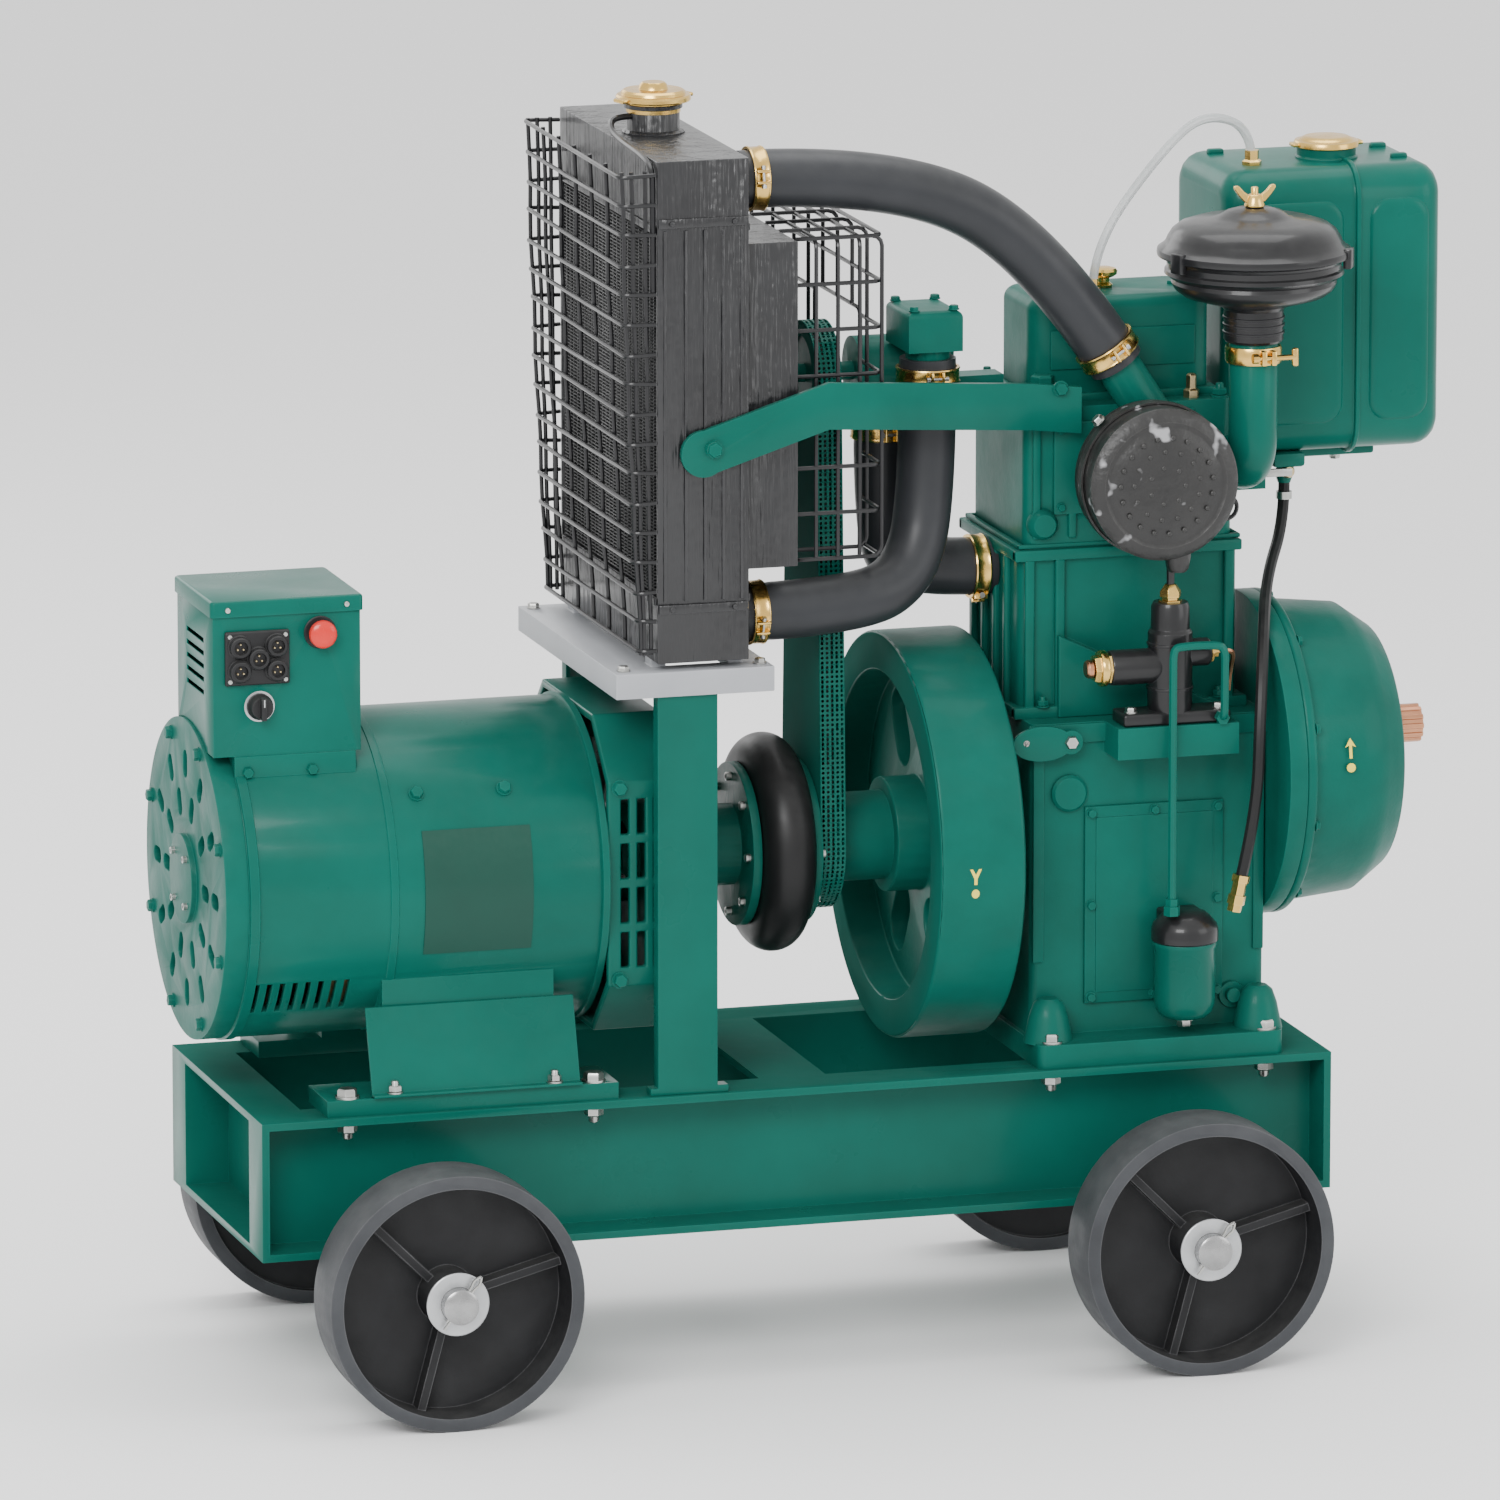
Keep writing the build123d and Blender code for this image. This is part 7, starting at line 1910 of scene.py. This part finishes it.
# fuel filter
filterAt = (364.5, -171.0)
filterShapes = turned(
    "z", (*filterAt, 0),
    [
        (357, 0), (357, 14), (360, 24), (366, 30), (374, 32.4), (380, 33), (436, 33), (438, 34.4),
        (442, 34.4), (444, 33),
    ],
    56,
)
filterHead = turned(
    "z", (*filterAt, 0),
    [(442, 0), (442, 34), (444, 36), (456, 36), (462, 34), (470, 27), (474, 22), (476, 14), (476, 0)], 56,
)
filterBolt = turned(
    "z", (*filterAt, 0), [(348.2, 0), (348.2, 7), (350, 8.4), (355, 8.4), (356, 12), (358, 12), (358, 0)],
    6,
)
filterArm = roundedBox(342.5, 386.5, -172, -134, 458, 474, 3.0, 2)
makePiece(
    "fuelFilter",
    [("greenEnamel", filterShapes), ("satinBlack", filterHead, filterArm), ("zincSteel", filterBolt)],
    "trolley", ("fuel_filter",),
)

# thin lines
lines = {
    "supply": [
        (530.5, 0, 902), (530.5, 0, 858), (486.5, -72, 812), (452.5, -165, 764), (436.5, -205, 684),
        (432.5, -207, 584), (414.5, -203, 504),
    ],
    "back": [
        (304.5, -24, 1126), (304.5, -24, 1176), (388.5, -14, 1278), (438.5, 0, 1310), (500.5, 28, 1286),
        (500.5, 28, 1246),
    ],
    "oil": [
        (342.5, -193, 476), (342.5, -193, 600), (342.5, -193, 740), (342.5, -193, 766), (352, -193, 768.5),
        (390, -193, 768.5), (400.5, -193, 764), (400.5, -193, 740), (400.5, -193, 700), (400.5, -192, 688),
        (400.5, -179, 687),
    ],
}
endFitting = shifted(
    turned(
        "z", (0, 0, 0),
        [(-26, 0), (-26, 8), (-18, 8), (-18, 10), (-8, 10), (-8, 8), (6, 8), (6, 10), (14, 10), (14, 0)], 6,
    ),
    (414.5, -203, 504), (0, math.radians(12), 0),
)
lineFittings = [
    turned("z", (304.5, -24, 0), [(1120, 0), (1120, 9), (1130, 9), (1130, 6.5), (1140, 6.5), (1140, 0)], 6),
    turned("z", (500.5, 28, 0), [(1240, 0), (1240, 11), (1250, 11), (1252, 8), (1262, 8), (1262, 0)], 6),
]
topClips = [turned("z", (530.5, 0, 0), [(884, 6.6), (884, 8.6), (892, 8.6), (892, 6.6)], 24, hollow=True)]
oilUnions = [
    turned("z", (342.5, -193, 0), [(476, 0), (476, 9), (486, 9), (486, 7), (494, 7), (494, 0)], 6),
    turned("y", (400.5, 0, 687), [(-189, 0), (-189, 7.4), (-179.5, 7.4), (-179.5, 0)], 6),
]
makePiece(
    "thinLines",
    [
        ("tyreRubber", piped(lines["supply"], 6.5, 16, 10)),
        ("clearTube", piped(lines["back"], 5.0, 14, 10)),
        ("greenEnamel", piped(lines["oil"], 4.5, 14, 6), *oilUnions), ("brass", endFitting, *lineFittings),
        ("zincSteel", *topClips),
    ],
    "trolley", ("fuel_and_oil_lines",),
)

# silencer with its textured face and wire ring
silencer = {"at": (330.5, 946.0), "radius": 82.0, "y": (-207.0, -127.0)}
sx, sz = silencer["at"]
sLow, sHigh = silencer["y"]
sr = silencer["radius"]
# its outline, as (along, step in from the rim) from the back and then from the face
backOutline = ((0, 16), (-3, 6), (-9, 1), (-14, 1), (-16, 0), (-22, 0), (-24, 1.4))
faceOutline = (
    (20, 1.4), (18, 0), (11, 0), (8, 3), (5, 9), (4, 14), (5.4, 17), (5.4, 20), (3.6, 23), (1.2, sr - 40),
    (0, sr - 24),
)
outline = [(sHigh, 0)] + [(sHigh + along, sr - inset) for along, inset in backOutline]
outline += [(sLow + along, sr - inset) for along, inset in faceOutline] + [(sLow, 0)]
shell = turned("y", (sx, 0, sz), outline, 96)
dimples = []
for ringRadius, count in ((20, 7), (37, 13), (52, 19)):
    for step in range(count):
        angle = 2 * math.pi * (step + 0.2 * ringRadius) / count
        dimples.append(
            (
                (
                    sx + ringRadius * math.cos(angle), sLow + (0.5 if ringRadius < 30 else 1.1),
                    sz + ringRadius * math.sin(angle),
                ),
                (0, -1, 0), 0.62,
            )
        )
pipeOut = turned("y", (sx, 0, sz), [(-130, 24), (-96, 24)], 48)
ringWire = piped(
    [
        (sx + 74, -160, sz - 22), (sx + 88, -160, sz - 24), (sx + 94, -160, sz - 34),
        (sx + 90, -160, sz - 46), (sx + 76, -160, sz - 50), (sx + 66, -160, sz - 44),
    ],
    2.4, 10, 8,
)
bandRing = turned(
    "y", (sx, 0, sz), [(-166, sr - 0.5), (-166, sr + 1.6), (-154, sr + 1.6), (-154, sr - 0.5)], 96,
    hollow=True,
)
drain = turned("z", (350.5, -181, 0), [(848, 0), (848, 9), (852, 12), (864, 14), (880, 14), (880, 0)], 24)
makePiece(
    "silencer", [("stoveBlack", shell, pipeOut, drain, bandRing), ("satinBlack", ringWire)], "trolley",
    ("silencer",),
)
addFasteners("silencerDimples", "rivet", "stoveBlack", "trolley", dimples, 20)
addFasteners(
    "silencerNut", "hexHead", "zincSteel", "trolley", [((sx - 60, -155, sz + 64), (-0.68, 0, 0.73), 0.9)],
    21,
)
# air cleaner, its pipe and clamp
air = {"at": (447.5, -140.0)}
ax, ay = air["at"]
cleaner = turned(
    "z", (ax, ay, 0),
    [
        (1085.2, 0), (1085.2, 30), (1088, 32), (1120, 32), (1124, 35), (1129, 52), (1136, 76), (1142, 84),
        (1146, 87), (1150, 88.5), (1154, 87.5), (1156, 91), (1160, 96), (1164, 95.5), (1166, 93),
        (1172, 93.5), (1176, 96.5), (1179, 103.4), (1182, 104), (1186, 103.4), (1189, 99), (1193, 95),
        (1199, 92.5), (1206, 88), (1212, 80), (1217, 64), (1219, 44), (1222, 36), (1226, 30), (1229.5, 18),
        (1229.9, 0),
    ],
    96,
)
latches = []
for turnBy in (200, 330, 75):
    angle = math.radians(turnBy)
    latches.append(shifted(roundedBox(98, 107, -9, 9, 1168, 1190, 2.0, 2), (ax, ay, 0), (0, 0, angle)))
neckRibs = [
    turned("z", (ax, ay, 0), [(z, 31.5), (z + 0.8, 33.2), (z + 3, 33.2), (z + 3.8, 31.5)], 56)
    for z in (1094, 1102, 1110)
]
makePiece(
    "airCleaner", [("satinBlack", cleaner, *neckRibs), ("satinBlack", *latches)], "trolley",
    ("air_cleaner",), limit=28,
)

wingShapes = [
    turned(
        "z", (ax, ay, 0),
        [(1230.4, 0), (1230.4, 11.0), (1233, 11.0), (1238, 9), (1242, 8.2), (1244, 6), (1244, 0)], 28,
    ),
    turned("z", (ax, ay, 0), [(1240, 0), (1240, 3.8), (1251, 3.8), (1252, 3), (1252, 0)], 16),
]
for side in (-1, 1):
    outline = [
        (side * 5, 1233), (side * 12, 1236), (side * 19, 1244), (side * 23.6, 1251), (side * 22.6, 1253.8),
        (side * 18, 1253.6), (side * 12, 1247), (side * 5, 1242),
    ]
    wingShapes.append(drawn("y", [(ax + a, b) for a, b in outline], ay - 2.2, ay + 2.2))
makePiece("wingNut", [("brass", *wingShapes)], "wing_nut_body", ("wing_nut",), edge=1.2, limit=40)

softenNode("intake_pipe", "greenEnamel", 1.4, 2, limit=40)
clampZ = 1072.0
clampBand = [
    turned(
        "z", (ax, ay, 0),
        [
            (clampZ - 9, 26.2), (clampZ - 9, 29.4), (clampZ - 6, 30.4), (clampZ + 6, 30.4),
            (clampZ + 9, 29.4), (clampZ + 9, 26.2),
        ],
        48, hollow=True,
    ),
    roundedBox(ax + 8, ax + 14, ay - 39, ay - 25, clampZ - 8, clampZ + 8, 1.6, 2),
    roundedBox(ax - 3, ax + 3, ay - 39, ay - 25, clampZ - 8, clampZ + 8, 1.6, 2),
    turned(
        "x", (ax, ay - 34, clampZ), [(-12, 0), (-12, 5.2), (-6, 5.2), (-6, 3.0), (36, 3.0), (37, 0)], 16,
    ),
    roundedBox(ax + 32, ax + 39, ay - 36.5, ay - 31.5, clampZ - 10, clampZ + 10, 2.2, 3),
]
makePiece("intakeClamp", [("brass", *clampBand)], "trolley")

# fuel tank with its seam and pillow panels
tank = {
    "box": (454.5, 700.5, -30.0, 160.0, 936.0, 1246.0), "corner": 34.0, "seamX": 602.0,
    "neck": (592.26, 49.8),
}
tx0, tx1, ty0, ty1, tz0, tz1 = tank["box"]


def tankRing(x, inset, corner):
    return [
        (x, a, b) for a, b in roundedRing(ty0 + inset, ty1 - inset, tz0 + inset, tz1 - inset, corner, 8)
    ]


endRadius, tankCorner = 26.0, tank["corner"]
endSteps = [
    (endRadius * (1 - math.cos(math.radians(t))), endRadius * (1 - math.sin(math.radians(t))))
    for t in (0, 18, 36, 54, 72, 90)
]
seamX = tank["seamX"]
tankRings = [tankRing(tx0 + along, inset, max(10.0, tankCorner - inset)) for along, inset in endSteps]
tankRings += [
    tankRing(seamX + x, inset, tankCorner - inset)
    for x,
    inset in ((-5, 0), (-3, -1.0), (-2.4, -4.2), (-1.6, -4.8), (1.6, -4.8), (2.4, -4.2), (3, -1.0), (5, 0))
]
tankRings += [
    tankRing(tx1 - along, inset, max(10.0, tankCorner - inset)) for along, inset in reversed(endSteps)
]


# a softly raised panel on the tank's side, given in X and Z
def pillow(x0, x1, z0, z1, y, side, corner, rise):
    points, levels = [], ((0, -1.0), (0, 0.2), (1.6, rise * 0.55), (4.0, rise * 0.85), (9.0, rise))
    for inset, lift in levels:
        ring = roundedRing(x0, x1, z0, z1, corner, 6, max(2.0, corner - inset))
        points += [(a, y + side * lift, b) for a, b in ring]
    return points, stackFaces(len(ring), len(levels))


panels = [
    pillow(low, high, tz0 + 34, tz1 - 34, y, side, 22, 3.4) for y, side in ((ty0, -1), (ty1, 1))
    for low, high in ((seamX + 14, tx1 - 18), (tx0 + 26, seamX - 16))
]
neckX, neckY = tank["neck"]
neck = turned(
    "z", (neckX, neckY, 0),
    [(1240, 34), (1248, 34), (1250, 32), (1258, 32), (1258, 24), (1246, 24), (1240, 24)], 48, hollow=True,
)
tankMounts = [
    roundedBox(442.5, 640.0, 20, 110, 924, 937.5, 3.0, 2),
    roundedBox(442.5, 452.5, 20, 110, 876, 937, 2.5, 2),
    roundedBox(512.5, 548.5, -20, 20, 921, 937, 4.0, 2),
    turned("z", (530.5, 0, 0), [(902, 0), (902, 7), (908, 9), (926, 9), (926, 0)], 24),
    *[drawn("y", [(452, 878), (452, 926), (520, 926)], y, y + 6) for y in (24, 100)],
]
lugs = [
    roundedBox(x - 9, x + 9, y - 5, y + 5, 1244, 1251, 2.4, 2)
    for x, y in ((668, 100), (668, 30), (486, 110))
]
tankShape = [spot for ring in tankRings for spot in ring], stackFaces(len(tankRings[0]), len(tankRings))
tankParts = [tankShape, *panels, neck, *tankMounts, *lugs]
makePiece("fuelTank", [("greenEnamel", *tankParts)], "trolley", ("fuel_tank",), limit=30)
straps = [((x, y, 923.8), (0, 0, -1), 0.85) for x in (490.0, 600.0) for y in (36.0, 94.0)]
addFasteners("tankBolts", "hexHead", "zincSteel", "trolley", straps, 22)
makePiece(
    "tankCap",
    [
        (
            "brass",
            turned(
                "z", (neckX, neckY, 0),
                [
                    (1248.3, 0), (1248.3, 22.6), (1258.4, 22.8), (1258.4, 33.6), (1259.4, 35), (1264, 35),
                    (1265.6, 34), (1266, 30), (1267.6, 28), (1269.6, 24), (1270, 20), (1270, 0),
                ],
                64,
            ),
            *[
                shifted(
                    roundedBox(-40.0, -31, -8, 8, 1259.5, 1264, 1.6, 2), (neckX, neckY, 0),
                    (0, 0, math.radians(t)),
                )
                for t in (0, 180)
            ],
        )
    ],
    "tank_cap_body", ("tank_cap",),
)
makePiece(
    "fuelTap",
    [
        (
            "dullBrass",
            turned("y", (530.5, 0, 916.0), [(-18, 0), (-18, 5.5), (-14, 7.5), (-9.4, 7.5), (-9.4, 0)], 24),
        ),
        ("zincSteel", roundedBox(498.5, 534, -19.5, -14.5, 911.5, 920.5, 2.0, 2)),
    ],
    "fuel_tap_body", ("fuel_tap",),
)
print("fuel, air and exhaust done")

# what is inside, for the views through openings
inside = {
    "stator": "copper",
    "alternator_rotor": "bareIron",
    "shaft_bearings": "turnedSteel",
    "crankshaft": "turnedSteel",
    "crank_gear": "turnedSteel",
    "cam_gear": "turnedSteel",
    "piston": "washerSteel",
    "connecting_rod": "bareIron",
    "inlet_valve": "turnedSteel",
    "exhaust_valve": "turnedSteel",
}
for node, finish in inside.items():
    paintNode(node, finish)
print("inside painted")

# floor
floorMesh = bpy.data.meshes.new("floor")
floorHalf = 60  # metres
floorCorners = [(a * floorHalf, b * floorHalf, 0) for a, b in ((-1, -1), (1, -1), (1, 1), (-1, 1))]
floorMesh.from_pydata(floorCorners, [], [(0, 1, 2, 3)])
floorMesh.materials.append(materials["floorPaper"])
floorObject = bpy.data.objects.new("floor", floorMesh)
bpy.context.scene.collection.objects.link(floorObject)
